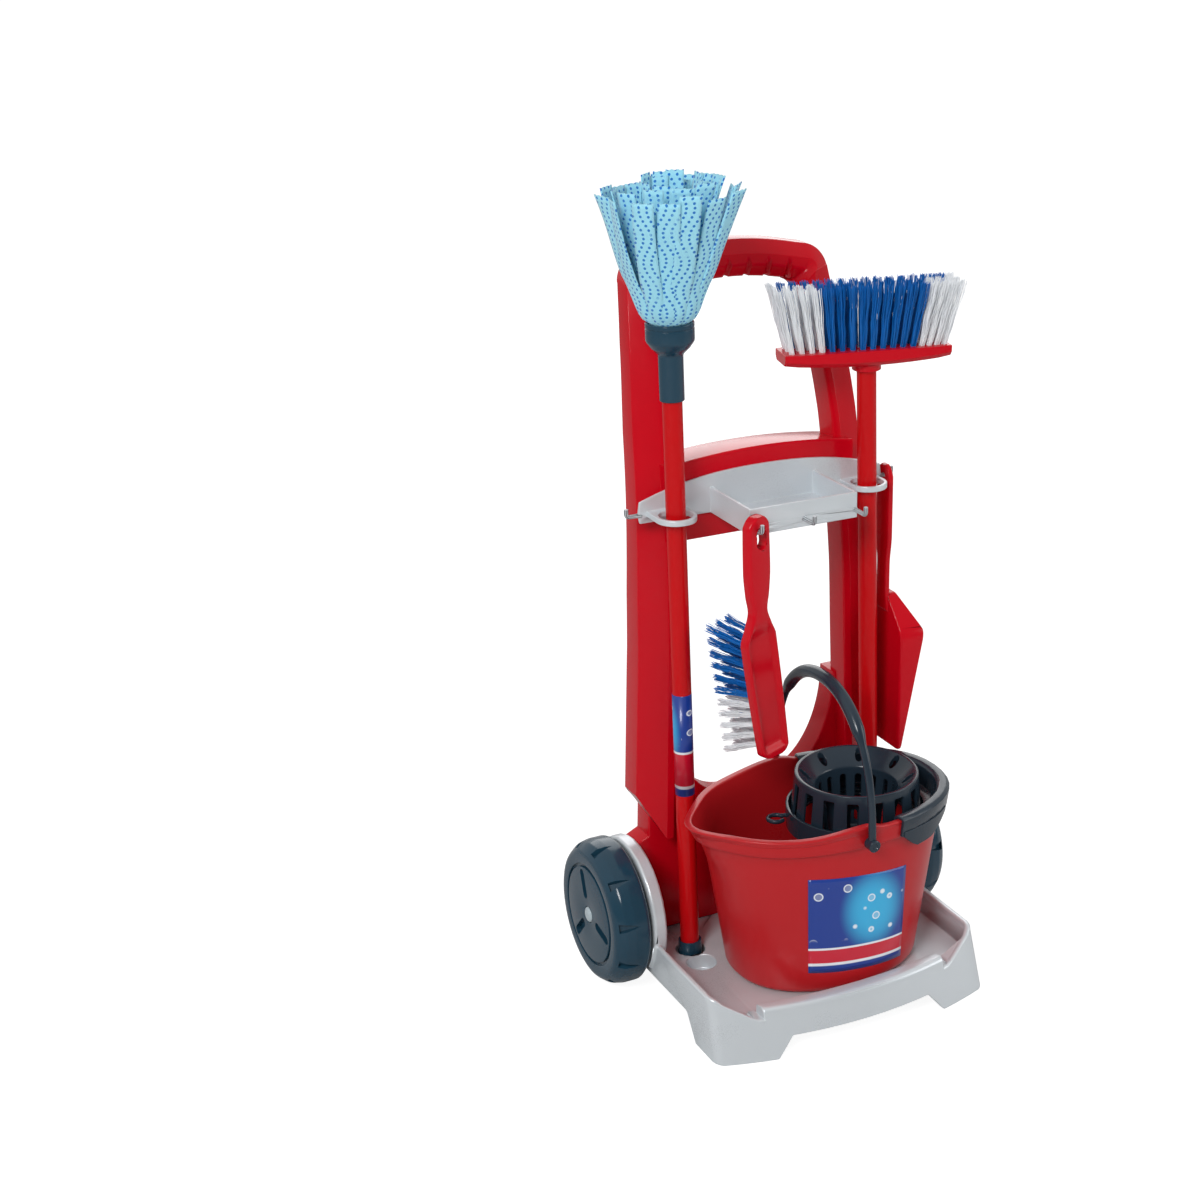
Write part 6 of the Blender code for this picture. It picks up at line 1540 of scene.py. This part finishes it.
class TROLLEY_OT_wringer(bpy.types.Operator):
    """Make the wringer and the carrier that clips over the bucket's rim"""

    bl_idname = "trolley.wringer"
    bl_label = "Wringer"

    def execute(self, context):
        body = wringer_shell()
        for tools in wringer_cutters():
            body = combine(body, merge(tools), "DIFFERENCE")
        placed(body, PLACE @ Matrix.Translation((WRINGER_X, BUCKET_CENTRE.y, 0)))
        basket = add_piece("wringer_moulding", body, "dark", "wringer", ("wringer_basket",), sharp=30)
        node = "wringer_carrier"
        shell = merge([node_mesh(node), placed(collar_tab())])
        carrier = add_piece("carrier_moulding", shell, "dark", body_of(node), (node,))
        for piece in (basket, carrier):
            add_bevel(piece, sizes().fine_edge)
        return {"FINISHED"}


def bail_pivot_y(side):
    """Outer face of the bucket's band where the bail is pinned."""
    return BUCKET_CENTRE.y + side * oval_reach(BAIL_X, bucket_half_sizes(BAIL_PIVOT_Z, BUCKET_BAND_STEP))


def bail_bar():
    """Thin legs that swell into the grip."""
    half = (bail_pivot_y(1) - bail_pivot_y(-1)) / 2 + BAIL_STANDOFF
    points, radii = [], []
    for angle in (math.pi * t for t in shares(96)):
        reach = half * math.copysign(abs(math.cos(angle)) ** BAIL_POWERS[0], math.cos(angle))
        height = BAIL_PIVOT_Z + BAIL_RISE * math.sin(angle) ** BAIL_POWERS[1]
        points.append(Vector((BAIL_X, BUCKET_CENTRE.y - reach, height)))
        past = BAIL_GRIP_SWEEP - abs(angle - math.pi / 2)
        radii.append(mix_value(ease(past, *BAIL_SWELL), BAIL_RADIUS, BAIL_GRIP_RADIUS))
    return sweep(points, radii, 20)


def bail_ends():
    """Boss and pin at each end of the bail."""
    ends = []
    boss, thick, edge, pin = BAIL_BOSS_RADIUS, BAIL_BOSS_THICK, BAIL_BOSS_EDGE, BAIL_PIN_RADIUS
    for side in (-1, 1):
        face = bail_pivot_y(side)
        near = face + side * BAIL_GAP
        out = Vector((0, side, 0))
        profile = rod(boss, 0, thick, edge)[:-1]
        profile += [(pin, thick), (pin * 0.8, thick - 0.0006), (0, thick - edge)]
        start = Vector((BAIL_X, near, BAIL_PIVOT_Z))
        ends.append(turned(profile, 28, aim(start, start + out)))
        inner = Vector((BAIL_X, face - side * BAIL_PIN_DEPTH, BAIL_PIVOT_Z))
        reach = abs(near + side * PAST - inner.y)
        ends.append(turned(rod(pin, 0, reach), 20, aim(inner, inner + out)))
    return ends


class TROLLEY_OT_bail(bpy.types.Operator):
    """Make the bucket's carrying handle"""

    bl_idname = "trolley.bail"
    bl_label = "Bucket handle"

    def execute(self, context):
        body = bail_bar()
        for end in bail_ends():
            body = combine(body, end, "UNION")
        add_piece("bail_moulding", placed(body), "dark", "bail", ("bucket_bail",))
        return {"FINISHED"}


# Sticks

def stick_axis(foot, top, z):
    """Point on a leaning stick's axis at a height."""
    share = (z - foot.z) / (top.z - foot.z)
    return foot + (top - foot) * share


def stick_tube(foot, top, span):
    """Round tube between two heights, with softened ends."""
    low, high = (stick_axis(foot, top, z) for z in span)
    return turned(rod(STICK_RADIUS, 0, (high - low).length, STICK_EDGE), STICK_SIDES, aim(low, high))


def stick_label():
    """Printed film wrapped round the mop stick."""
    sides = STICK_SIDES
    bm = bmesh.new()
    layer = bm.loops.layers.uv.new("print")
    low, high = (stick_axis(MOP_FOOT, MOP_TOP, z) for z in STICK_LABEL_Z)
    matrix = aim(low, high)
    radius = STICK_RADIUS + FILM_LIFT[1]
    rings = []
    for level in (0, (high - low).length):
        circle = [Vector((radius * math.cos(a), radius * math.sin(a), level)) for a in turns(sides)]
        rings.append([bm.verts.new(matrix @ point) for point in circle])
    for i in range(sides):
        j = (i + 1) % sides
        spots = [(side / sides, end) for side, end in ((i, 0), (i + 1, 0), (i + 1, 1), (i, 1))]
        add_quad(bm, layer, (rings[0][i], rings[0][j], rings[1][j], rings[1][i]), spots)
    return bm


def mop_cup():
    """Mop's socket: a sleeve over the stick, a round shoulder and a cup with a lined lip."""
    cup, sleeve, bore = SOCKET_CUP_RADIUS, SOCKET_RADIUS, SOCKET_BORE
    web_low, web_top = SOCKET_WEB_Z
    neck, line, top = SOCKET_NECK_Z, SOCKET_LINE_Z, MOP_TOP.z
    corners = [((SOCKET_VENT, web_low), 0.0002), ((bore, web_low), 0.0003), ((bore, SOCKET_FOOT_Z), 0.0003),
               ((sleeve, SOCKET_FOOT_Z), 0.0007), ((sleeve, neck), 0.004),
               ((sleeve + 0.0030, neck + 0.0030), 0.002), ((cup - 0.0035, neck + 0.0050), 0.005),
               ((cup, neck + 0.0100), 0.005), ((cup, line), 0.0003), ((cup - 0.0005, line + 0.0003), 0.0002),
               ((cup - 0.0005, line + 0.0010), 0.0002), ((cup, line + 0.0013), 0.0003), ((cup, top), 0.0008),
               ((SOCKET_CUP_BORE, top), 0.0008), ((SOCKET_CUP_BORE, web_top), 0.0004),
               ((SOCKET_VENT, web_top), 0.0002)]
    profile = rounded_section([((r, z - top), rounding) for (r, z), rounding in corners], 5)
    return turned(profile, 64, mop_matrix(), closed=True)


class TROLLEY_OT_sticks(bpy.types.Operator):
    """Make the mop and broom sticks, their foot caps, the mop's socket and the stick's label"""

    bl_idname = "trolley.sticks"
    bl_label = "Sticks"

    def execute(self, context):
        for name, foot, top, span in (("mop", MOP_FOOT, MOP_TOP, MOP_STICK_Z),
                                      ("broom", BROOM_FOOT, BROOM_TOP, BROOM_STICK_Z)):
            tube = placed(stick_tube(foot, top, span))
            add_piece(f"{name}_tube", tube, "stick", name, (f"{name}_stick",))
            rounded_copy(f"{name}_end_cap", f"{name}_foot", sizes().fine_edge)
        add_piece("mop_cup", mop_cup(), "slate", "mop", ("mop_socket",), sharp=35)
        material = printed_label("stick_print", (4.0, 9.0), (0.10, 0.42))
        add_film(add_piece("stick_film", placed(stick_label()), "stick", "mop", (), material))
        return {"FINISHED"}


# Mop cloth

def mop_matrix():
    """Mop's own axes: Z up its stick, with heights kept as on the upright trolley."""
    direction = MOP_TOP - MOP_FOOT
    turn = Vector((0, 0, 1)).rotation_difference(direction).to_matrix().to_4x4()
    return PLACE @ Matrix.Translation(MOP_TOP) @ turn


def strip_rows(layer, index, rng):
    """Rows of points across one strip, from inside the socket to its cut end."""
    count, root, belly, spread, reach, width = MOP_LAYERS[layer]
    angle = math.tau * (index + 0.5 * layer + rng.uniform(-MOP_STRAY, MOP_STRAY)) / count
    spread *= rng.uniform(0.93, 1.02)
    reach *= rng.uniform(0.94, 1.03)
    twist, drift, ripple = (rng.uniform(-most, most) for most in (MOP_TWIST, MOP_DRIFT, MOP_RIPPLE))
    phase = rng.uniform(0, math.tau)
    out = Vector((math.cos(angle), math.sin(angle), 0))
    side = Vector((-math.sin(angle), math.cos(angle), 0))
    rows = []
    for k in range(-1, MOP_STATIONS + 1):
        t = max(k, 0) / MOP_STATIONS
        swell = belly * (1 - math.exp(-t / MOP_BELLY_RUN))
        radius = root + swell + (spread - root - belly) * t
        height = reach * t if k >= 0 else -MOP_LEAD
        radius += ripple * math.sin(phase + MOP_RIPPLES * t) * t
        centre = out * radius + side * (drift * t * t) + Vector((MOP_SWAY * t * t, 0, height))
        turn = twist * t ** 1.3
        across_axis = side * math.cos(turn) + out * math.sin(turn)
        depth_axis = out * math.cos(turn) - side * math.sin(turn)
        curl = mix_value(t / MOP_CURL_RUN, *MOP_CURL)
        bend = width / curl
        row = []
        for j in range(MOP_ACROSS + 1):
            swing = curl * (j / MOP_ACROSS - 0.5)
            tooth = MOP_TOOTH * (j % 2) if k == MOP_STATIONS else 0
            row.append(centre + across_axis * (bend * math.sin(swing))
                       + depth_axis * (bend * (math.cos(swing) - 1)) - Vector((0, 0, tooth)))
        rows.append(row)
    return rows, width


def mop_cloth():
    """All strips as one gathered cloth; its UVs are in metres along and across each strip."""
    rng = random.Random(41)
    bm = bmesh.new()
    uv = bm.loops.layers.uv.new("cloth")
    middle = MOP_ACROSS // 2
    for layer, (count, *_) in enumerate(MOP_LAYERS):
        for index in range(count):
            rows, width = strip_rows(layer, index, rng)
            shift = rng.uniform(0, 1)
            verts = [[bm.verts.new(point) for point in row] for row in rows]
            run = 0.0
            for k in range(len(rows) - 1):
                ahead = run + (rows[k + 1][middle] - rows[k][middle]).length
                near, far = verts[k], verts[k + 1]
                for j in range(MOP_ACROSS):
                    cells = ((j, run), (j + 1, run), (j + 1, ahead), (j, ahead))
                    spots = [(shift + width * a / MOP_ACROSS, shift + b) for a, b in cells]
                    add_quad(bm, uv, (near[j], near[j + 1], far[j + 1], far[j]), spots)
                run = ahead
    return bm


class TROLLEY_OT_mop_cloth(bpy.types.Operator):
    """Make the mop's cloth strips, gathered in their socket"""

    bl_idname = "trolley.mop_cloth"
    bl_label = "Mop cloth"

    def execute(self, context):
        cloth = placed(mop_cloth(), mop_matrix())
        piece = add_piece("mop_strands", cloth, "cloth", "mop", ("mop_strips",), sharp=60)
        thick = piece.modifiers.new("cloth", "SOLIDIFY")
        thick.thickness = sizes().cloth_thick
        thick.offset = 0
        return {"FINISHED"}


# Bristles

def tuft(root, lean, radii, reach, rng):
    """Points and faces of one bunch of crimped filaments, which spreads from its hole to its tips."""
    segments, sides = 7, 3
    points, faces = [], []
    for _ in range(sizes().tuft_filaments):
        turn = rng.uniform(0, math.tau)
        far = math.sqrt(rng.random())
        spot = Vector((math.cos(turn), math.sin(turn), 0)) * far
        start = root + spot * radii[0]
        end = root + lean + spot * radii[1]
        end += Vector((rng.gauss(0, TUFT_SCATTER), rng.gauss(0, TUFT_SCATTER), 0))
        end.z += reach * rng.uniform(0.95, 1.0)
        phase = rng.uniform(0, math.tau)
        wobble = Vector((math.cos(phase), math.sin(phase), 0)) * TUFT_CRIMP
        base = len(points)
        for t in shares(segments):
            middle = start.lerp(end, t) + wobble * math.sin(phase + TUFT_WAVES * t) * min(3 * t, 1)
            thick = sizes().filament * (1 - TUFT_TAPER * t)
            points += [middle + Vector((math.cos(a + phase), math.sin(a + phase), 0)) * thick
                       for a in turns(sides)]
        for low in range(base, base + segments * sides, sides):
            high = low + sides
            pairs = [(m, (m + 1) % sides) for m in range(sides)]
            faces += [(low + m, low + n, high + n, high + m) for m, n in pairs]
        faces += [tuple(reversed(range(base, base + sides))), tuple(range(len(points) - sides, len(points)))]
    return points, faces


def tuft_spots(columns, pitch_x, pitch_y):
    """Column, row and place of each hole in a grid of holes, from its middle."""
    return [(i, j, (i + 0.5 - columns / 2) * pitch_x, (j + 0.5 - TUFT_ROWS / 2) * pitch_y)
            for i in range(columns) for j in range(TUFT_ROWS)]


def run_place(runs, run, whole):
    """Length of one run of bristles, and its middle from the middle of the whole row."""
    reach = whole * runs[run] / sum(runs)
    return reach, whole * (sum(runs[:run]) / sum(runs) - 0.5) + reach / 2


def add_bristles(name, tufts, radii, reach, matrix, body, node, seed):
    """All tufts of one run: (tone, root, lean) each; tone 0 is blue and 1 white."""
    rng = random.Random(seed)
    points, faces, tones = [], [], []
    for tone, root, lean in tufts:
        base = len(points)
        tuft_points, tuft_faces = tuft(root, lean, radii, reach, rng)
        points += [tuple(matrix @ point) for point in tuft_points]
        faces += [[base + corner for corner in face] for face in tuft_faces]
        tones += [tone] * len(tuft_faces)
    mesh = bpy.data.meshes.new(name)
    mesh.from_pydata(points, [], faces)
    used = sorted(set(tones))
    for tone in used:
        mesh.materials.append(finishes()[("blue_bristle", "white_bristle")[tone]])
    mesh.polygons.foreach_set("material_index", [used.index(tone) for tone in tones])
    declare(name, mesh, body, (node,), FILAMENT_SHARP)


def broom_matrix():
    """Broom's own axes: X along its head, Z up."""
    turn = Matrix.Rotation(BROOM_YAW, 4, "Z")
    return PLACE @ Matrix.Translation(BROOM_TOP) @ turn @ Matrix.Translation((BROOM_SHIFT, 0, 0))


class TROLLEY_OT_broom(bpy.types.Operator):
    """Make the broom's head and its three runs of bristles"""

    bl_idname = "trolley.broom"
    bl_label = "Broom"

    def execute(self, context):
        rounded_copy("broom_head", "broom_block", sizes().edge)
        pitch_y = (BROOM_DEPTH - 2 * BROOM_EDGE) / TUFT_ROWS
        for run, (name, slot) in enumerate((("left", "white_bristle"), ("middle", "blue_bristle"),
                                            ("right", "white_bristle"))):
            reach, middle = run_place(BROOM_RUNS, run, BROOM_LENGTH - 2 * BROOM_EDGE)
            columns = BROOM_COLUMNS[run]
            tufts = []
            for i, j, x, y in tuft_spots(columns, reach / columns, pitch_y):
                inner_column = columns - 1 - i if run == 0 else i
                behind = j == TUFT_ROWS - 1 and inner_column < 3
                root = Vector((x + middle, y, BROOM_BLOCK_THICK - TUFT_SINK))
                lean = Vector((BROOM_FLARE[0] * (x + middle), BROOM_FLARE[1] * y, 0))
                tufts.append((0 if run == 1 or behind else 1, root, lean))
            add_bristles(f"broom_tufts_{name}", tufts, BROOM_TUFT, BROOM_REACH, broom_matrix(),
                         "broom", f"broom_bristles_{name}", 7 + run)
        return {"FINISHED"}


# Hand brush

def brush_matrix():
    """Brush's own axes: X across, Y through its thickness, -Z down its length from the hook."""
    turn = Matrix.Rotation(-BRUSH_TILT, 4, "Y") @ Matrix.Rotation(BRUSH_YAW, 4, "Z")
    return PLACE @ Matrix.Translation(BRUSH_PIVOT) @ turn


def brush_shift(depth):
    """Sideways bow of the brush's middle line."""
    if depth < BRUSH_BODY_AT:
        return -BRUSH_BOW * depth / BRUSH_BODY_AT
    return -BRUSH_BOW * (BRUSH_LENGTH - depth) / (BRUSH_LENGTH - BRUSH_BODY_AT)


def brush_section(depth, shrink=1.0):
    """Section of the brush at a distance below its loop: crowned handle, then a dished body with a rim."""
    half = smooth_table(BRUSH_WIDTHS, depth) * shrink
    thick = BRUSH_THICK / 2 * shrink
    body = ease(depth, *BRUSH_BODY_RUN)
    dish = BRUSH_DISH_DEPTH * ease(depth, BRUSH_DISH[0], BRUSH_DISH[0] + BRUSH_DISH_FADE[0])
    dish *= 1 - ease(depth, BRUSH_DISH[1] - BRUSH_DISH_FADE[1], BRUSH_DISH[1])
    round_edge = mix_value(body, *BRUSH_ROUNDS)
    outline = []
    for t in shares(28):
        x = -half * math.cos(math.pi * t)
        margin = half - abs(x)
        lip = max(round_edge - margin, 0)
        y = -thick + round_edge - math.sqrt(round_edge ** 2 - lip ** 2)
        y -= BRUSH_CROWN * (1 - body) * (1 - (x / half) ** 2)
        y += dish * ease(margin, *(BRUSH_RIM + slope for slope in BRUSH_RIM_SLOPE))
        outline.append((x, y))
    for sign in (1, -1):
        for k in range(4):
            turn = math.pi / 6 * (k if sign > 0 else 3 - k)
            outline.append((sign * (half - BRUSH_BACK_ROUND * (1 - math.cos(turn))),
                            thick - BRUSH_BACK_ROUND * (1 - math.sin(turn))))
    middle = brush_shift(depth)
    return [Vector((middle + x, y, BRUSH_TOP - depth)) for x, y in outline]


def brush_shell():
    """Brush's body from its loop to its toe, with the slot that it hangs by."""
    marks = [BRUSH_LENGTH * (0.5 - 0.5 * math.cos(math.pi * t)) for t in shares(110)]
    first, *middle, last = marks
    rings = [brush_section(first, BRUSH_END), *map(brush_section, middle), brush_section(last, BRUSH_END)]
    outline = slot_outline(0, BRUSH_TOP - BRUSH_SLOT_AT, *BRUSH_SLOT)
    slot = prism(outline, along_y, -BRUSH_THICK, BRUSH_THICK)
    return combine(loft(rings), slot, "DIFFERENCE")


class TROLLEY_OT_hand_brush(bpy.types.Operator):
    """Make the hand brush's body and its two runs of bristles"""

    bl_idname = "trolley.hand_brush"
    bl_label = "Hand brush"

    def execute(self, context):
        body = placed(brush_shell(), brush_matrix())
        piece = add_piece("brush_moulding", body, "red", "hand_brush", ("brush_body",), sharp=50)
        add_bevel(piece, sizes().edge, 3, 55)
        whole = BRUSH_RUN[1] - BRUSH_RUN[0]
        pitch_y = (BRUSH_BODY_WIDTH - 2 * BRUSH_SIDE_MARGIN) / TUFT_ROWS
        lay = Matrix(((0, 1, 0, 0), (0, 0, 1, 0), (-1, 0, 0, 0), (0, 0, 0, 1)))
        slant = Matrix.Rotation(-math.atan(BRUSH_BOW / (BRUSH_LENGTH - BRUSH_BODY_AT)), 4, "Y")
        for run, (name, slot) in enumerate((("upper", "blue_bristle"), ("lower", "white_bristle"))):
            reach, middle = run_place(BRUSH_RUNS, run, whole)
            columns = BRUSH_COLUMNS[run]
            tufts = []
            for i, j, x, y in tuft_spots(columns, reach / columns, pitch_y):
                tone = 1 if run == 1 and (j < 2 or i > 2) else 0
                lean = Vector((BRUSH_FLARE[0] * (x + middle) + BRUSH_DROOP, BRUSH_FLARE[1] * y, 0))
                tufts.append((tone, Vector((x, y, -TUFT_SINK)), lean))
            depth = BRUSH_RUN[0] + whole / 2 + middle
            seat = Matrix.Translation((brush_shift(depth), BRUSH_THICK / 2, BRUSH_TOP - depth))
            add_bristles(f"brush_tufts_{name}", tufts, BRUSH_TUFT, BRUSH_REACH,
                         brush_matrix() @ seat @ slant @ lay, "hand_brush",
                         f"brush_bristles_{name}", 17 + run)
        return {"FINISHED"}


def pan_plan(inset):
    """Rounded plan of the pan: lip at the bottom, neck at the top."""
    lip, top, neck = (half - inset for half in PAN_HALF_WIDTHS)
    low = PAN_LIP_Z - (PAST if inset else 0)
    right = [(lip, low), (top, PAN_SHOULDER_Z - inset / 2), (neck + inset / 2, PAN_NECK_Z - inset)]
    return filleted(mirrored(right), PAN_ROUNDS + PAN_ROUNDS[::-1], 10)


def pan_handle():
    """Flat handle with rounded edges and a waist."""
    neck, half, crest = PAN_HALF_WIDTHS[2], PAN_HANDLE_HALF_WIDTH, PAN_HANDLE_TOP_Z
    widths = ((PAN_NECK_Z - 0.014, neck + 0.004), (PAN_NECK_Z + 0.004, neck), (PAN_NECK_Z + 0.024, neck),
              (PAN_NECK_Z + 0.049, half), (crest - 0.010, half), (crest - 0.003, half * 0.7),
              (crest, half * 0.3))
    low = widths[0][0]
    heights = [low + (crest - low) * math.sin(math.pi / 2 * t) for t in shares(44)]
    right = [(smooth_table(widths, z), z) for z in heights]
    return plate(mirrored(right), along_x, PAN_HANDLE_X, PAN_HANDLE_X + PAN_HANDLE_THICK, PLATE_EDGE)


def pan_shell():
    """Pan with its walls sloped to the lip, and the handle with its hole."""
    floor_out = PAN_FLOOR_X + PAN_FLOOR_THICK
    rim = floor_out + PAN_WALL_HEIGHT
    outer = plate(pan_plan(0.0), along_x, PAN_FLOOR_X, rim, PAN_EDGE)
    hollow = prism(pan_plan(PAN_WALL), along_x, floor_out, rim + PAST)
    lip_x, neck_x = floor_out + 0.0008, floor_out + PAN_NECK_HEIGHT
    low, high, past = PAN_LIP_Z - PAST, PAN_NECK_Z + PAST, rim + PAST
    slope = [(lip_x, low), (lip_x, PAN_LIP_Z), (rim, PAN_SHOULDER_Z), (neck_x, PAN_NECK_Z), (neck_x, high),
             (past, high), (past, low)]
    reach = PAN_HALF_WIDTHS[1] + PAST
    body = combine(outer, hollow, "DIFFERENCE")
    body = combine(body, prism(slope, along_y, -reach, reach), "DIFFERENCE")
    body = combine(body, pan_handle(), "UNION")
    hole = prism(slot_outline(0, PAN_HOOK_Z, *PAN_HOLE), along_x, PAN_HANDLE_X - PAST, rim)
    return combine(body, hole, "DIFFERENCE")


class TROLLEY_OT_dustpan(bpy.types.Operator):
    """Make the dustpan that hangs behind the broom"""

    bl_idname = "trolley.dustpan"
    bl_label = "Dustpan"

    def execute(self, context):
        low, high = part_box("dustpan")
        body = placed(pan_shell(), Matrix.Translation((SET_DOWN.x, (low.y + high.y) / 2, 0)))
        piece = add_piece("pan_moulding", body, "red", "dustpan", ("dustpan",), sharp=35)
        add_bevel(piece, sizes().fine_edge, 2, 40)
        return {"FINISHED"}


# Stage

def add_lamp(name, place, size):
    """Round soft lamp aimed at the trolley."""
    lamp = bpy.data.lights.new(name, "AREA")
    lamp.shape = "DISK"
    lamp.size = size
    lamp.energy = getattr(sizes(), f"{name}_light")
    item = show(name, lamp)
    item.visible_camera = False
    item.location = place
    item.rotation_euler = (Vector(LAMP_TARGET) - Vector(place)).to_track_quat("-Z", "Y").to_euler()


def add_floor():
    """Wide floor that takes the shadow, and shows half as a white glow."""
    bm = bmesh.new()
    reach = FLOOR_REACH
    corners = ((-reach, -reach), (reach, -reach), (reach, reach), (-reach, reach))
    bm.faces.new([bm.verts.new((x, y, 0)) for x, y in corners])
    mesh = mesh_of("floor", bm)
    finish = new_finish("studio_floor")
    finish.surface(Base_Color=(*colours().floor, 1), Roughness=0.9, Specular_IOR_Level=0.1)
    shader = Value(finish, finish.tree.nodes["Principled BSDF"].outputs[0])
    glow = finish.node("ShaderNodeEmission", None, {"Color": WHITE, "Strength": FLOOR_GLOW})
    mixed = finish.node("ShaderNodeMixShader", None, {0: finish.ray("Camera") * 0.5, 1: shader, 2: glow})
    finish.put(finish.tree.nodes["Material Output"].inputs["Surface"], mixed)
    mesh.materials.append(finish.owner)
    show("floor", mesh)


def add_world():
    """White round the trolley, with the studio's own softer light on it."""
    world = bpy.data.worlds.new("studio")
    bpy.context.scene.world = world
    finish = Finish(world)
    camera = finish.ray("Camera")
    glossy = finish.math("MAXIMUM", finish.ray("Glossy"), finish.ray("Transmission"))
    _, deep, up = finish.axes(finish.place("Generated"))
    behind = finish.step(deep + up * 0.8, -0.35, 0.75)
    mirror = 0.20 + behind * 0.55
    light = sizes().world_light * (1 - glossy) + mirror * glossy
    background = finish.tree.nodes["Background"]
    background.inputs["Color"].default_value = WHITE
    finish.put(background.inputs["Strength"], light * (1 - camera) + camera)


class TROLLEY_OT_stage(bpy.types.Operator):
    """Set up the floor, the soft studio light and the camera"""

    bl_idname = "trolley.stage"
    bl_label = "Stage"

    def execute(self, context):
        add_floor()
        add_world()
        for name, place, size in LAMPS:
            add_lamp(name, place, size)
        camera = bpy.data.cameras.new("camera")
        camera.lens = CAMERA_LENS
        camera.sensor_width = CAMERA_SENSOR
        camera.shift_x, camera.shift_y = CAMERA_SHIFT
        camera.clip_start = 0.01
        item = show("camera", camera)
        item.location = CAMERA_PLACE + SET_DOWN
        item.rotation_euler = CAMERA_TURN
        context.scene.camera = item
        context.scene.view_settings.view_transform = "Standard"
        return {"FINISHED"}


PIECE_STEPS = (TROLLEY_OT_stage, TROLLEY_OT_base_tray, TROLLEY_OT_wheels, TROLLEY_OT_push_frame,
               TROLLEY_OT_shelf, TROLLEY_OT_bucket, TROLLEY_OT_wringer, TROLLEY_OT_bail,
               TROLLEY_OT_sticks, TROLLEY_OT_mop_cloth, TROLLEY_OT_broom, TROLLEY_OT_hand_brush,
               TROLLEY_OT_dustpan)


class TROLLEY_PT_panel(bpy.types.Panel):
    """Lists the trolley's pieces, colours and sizes"""

    bl_idname = "TROLLEY_PT_panel"
    bl_label = "Toy cleaning trolley"
    bl_space_type = "VIEW_3D"
    bl_region_type = "UI"
    bl_category = "Trolley"

    def draw(self, context):
        for step in PIECE_STEPS:
            self.layout.operator(step.bl_idname)
        for group in (colours(), sizes()):
            for name in group.bl_rna.properties.keys():
                if name not in ("rna_type", "name"):
                    self.layout.prop(group, name)


CLASSES = (TrolleyColours, TrolleySizes, *PIECE_STEPS, TROLLEY_PT_panel)


def register():
    for item in CLASSES:
        bpy.utils.register_class(item)
    bpy.types.Scene.trolley_colours = PointerProperty(type=TrolleyColours)
    bpy.types.Scene.trolley_sizes = PointerProperty(type=TrolleySizes)


def unregister():
    del bpy.types.Scene.trolley_sizes
    del bpy.types.Scene.trolley_colours
    for item in reversed(CLASSES):
        bpy.utils.unregister_class(item)


def main():
    register()
    for step in PIECE_STEPS:
        group, name = step.bl_idname.split(".")
        getattr(getattr(bpy.ops, group), name)()


if __name__ == "__main__":
    main()
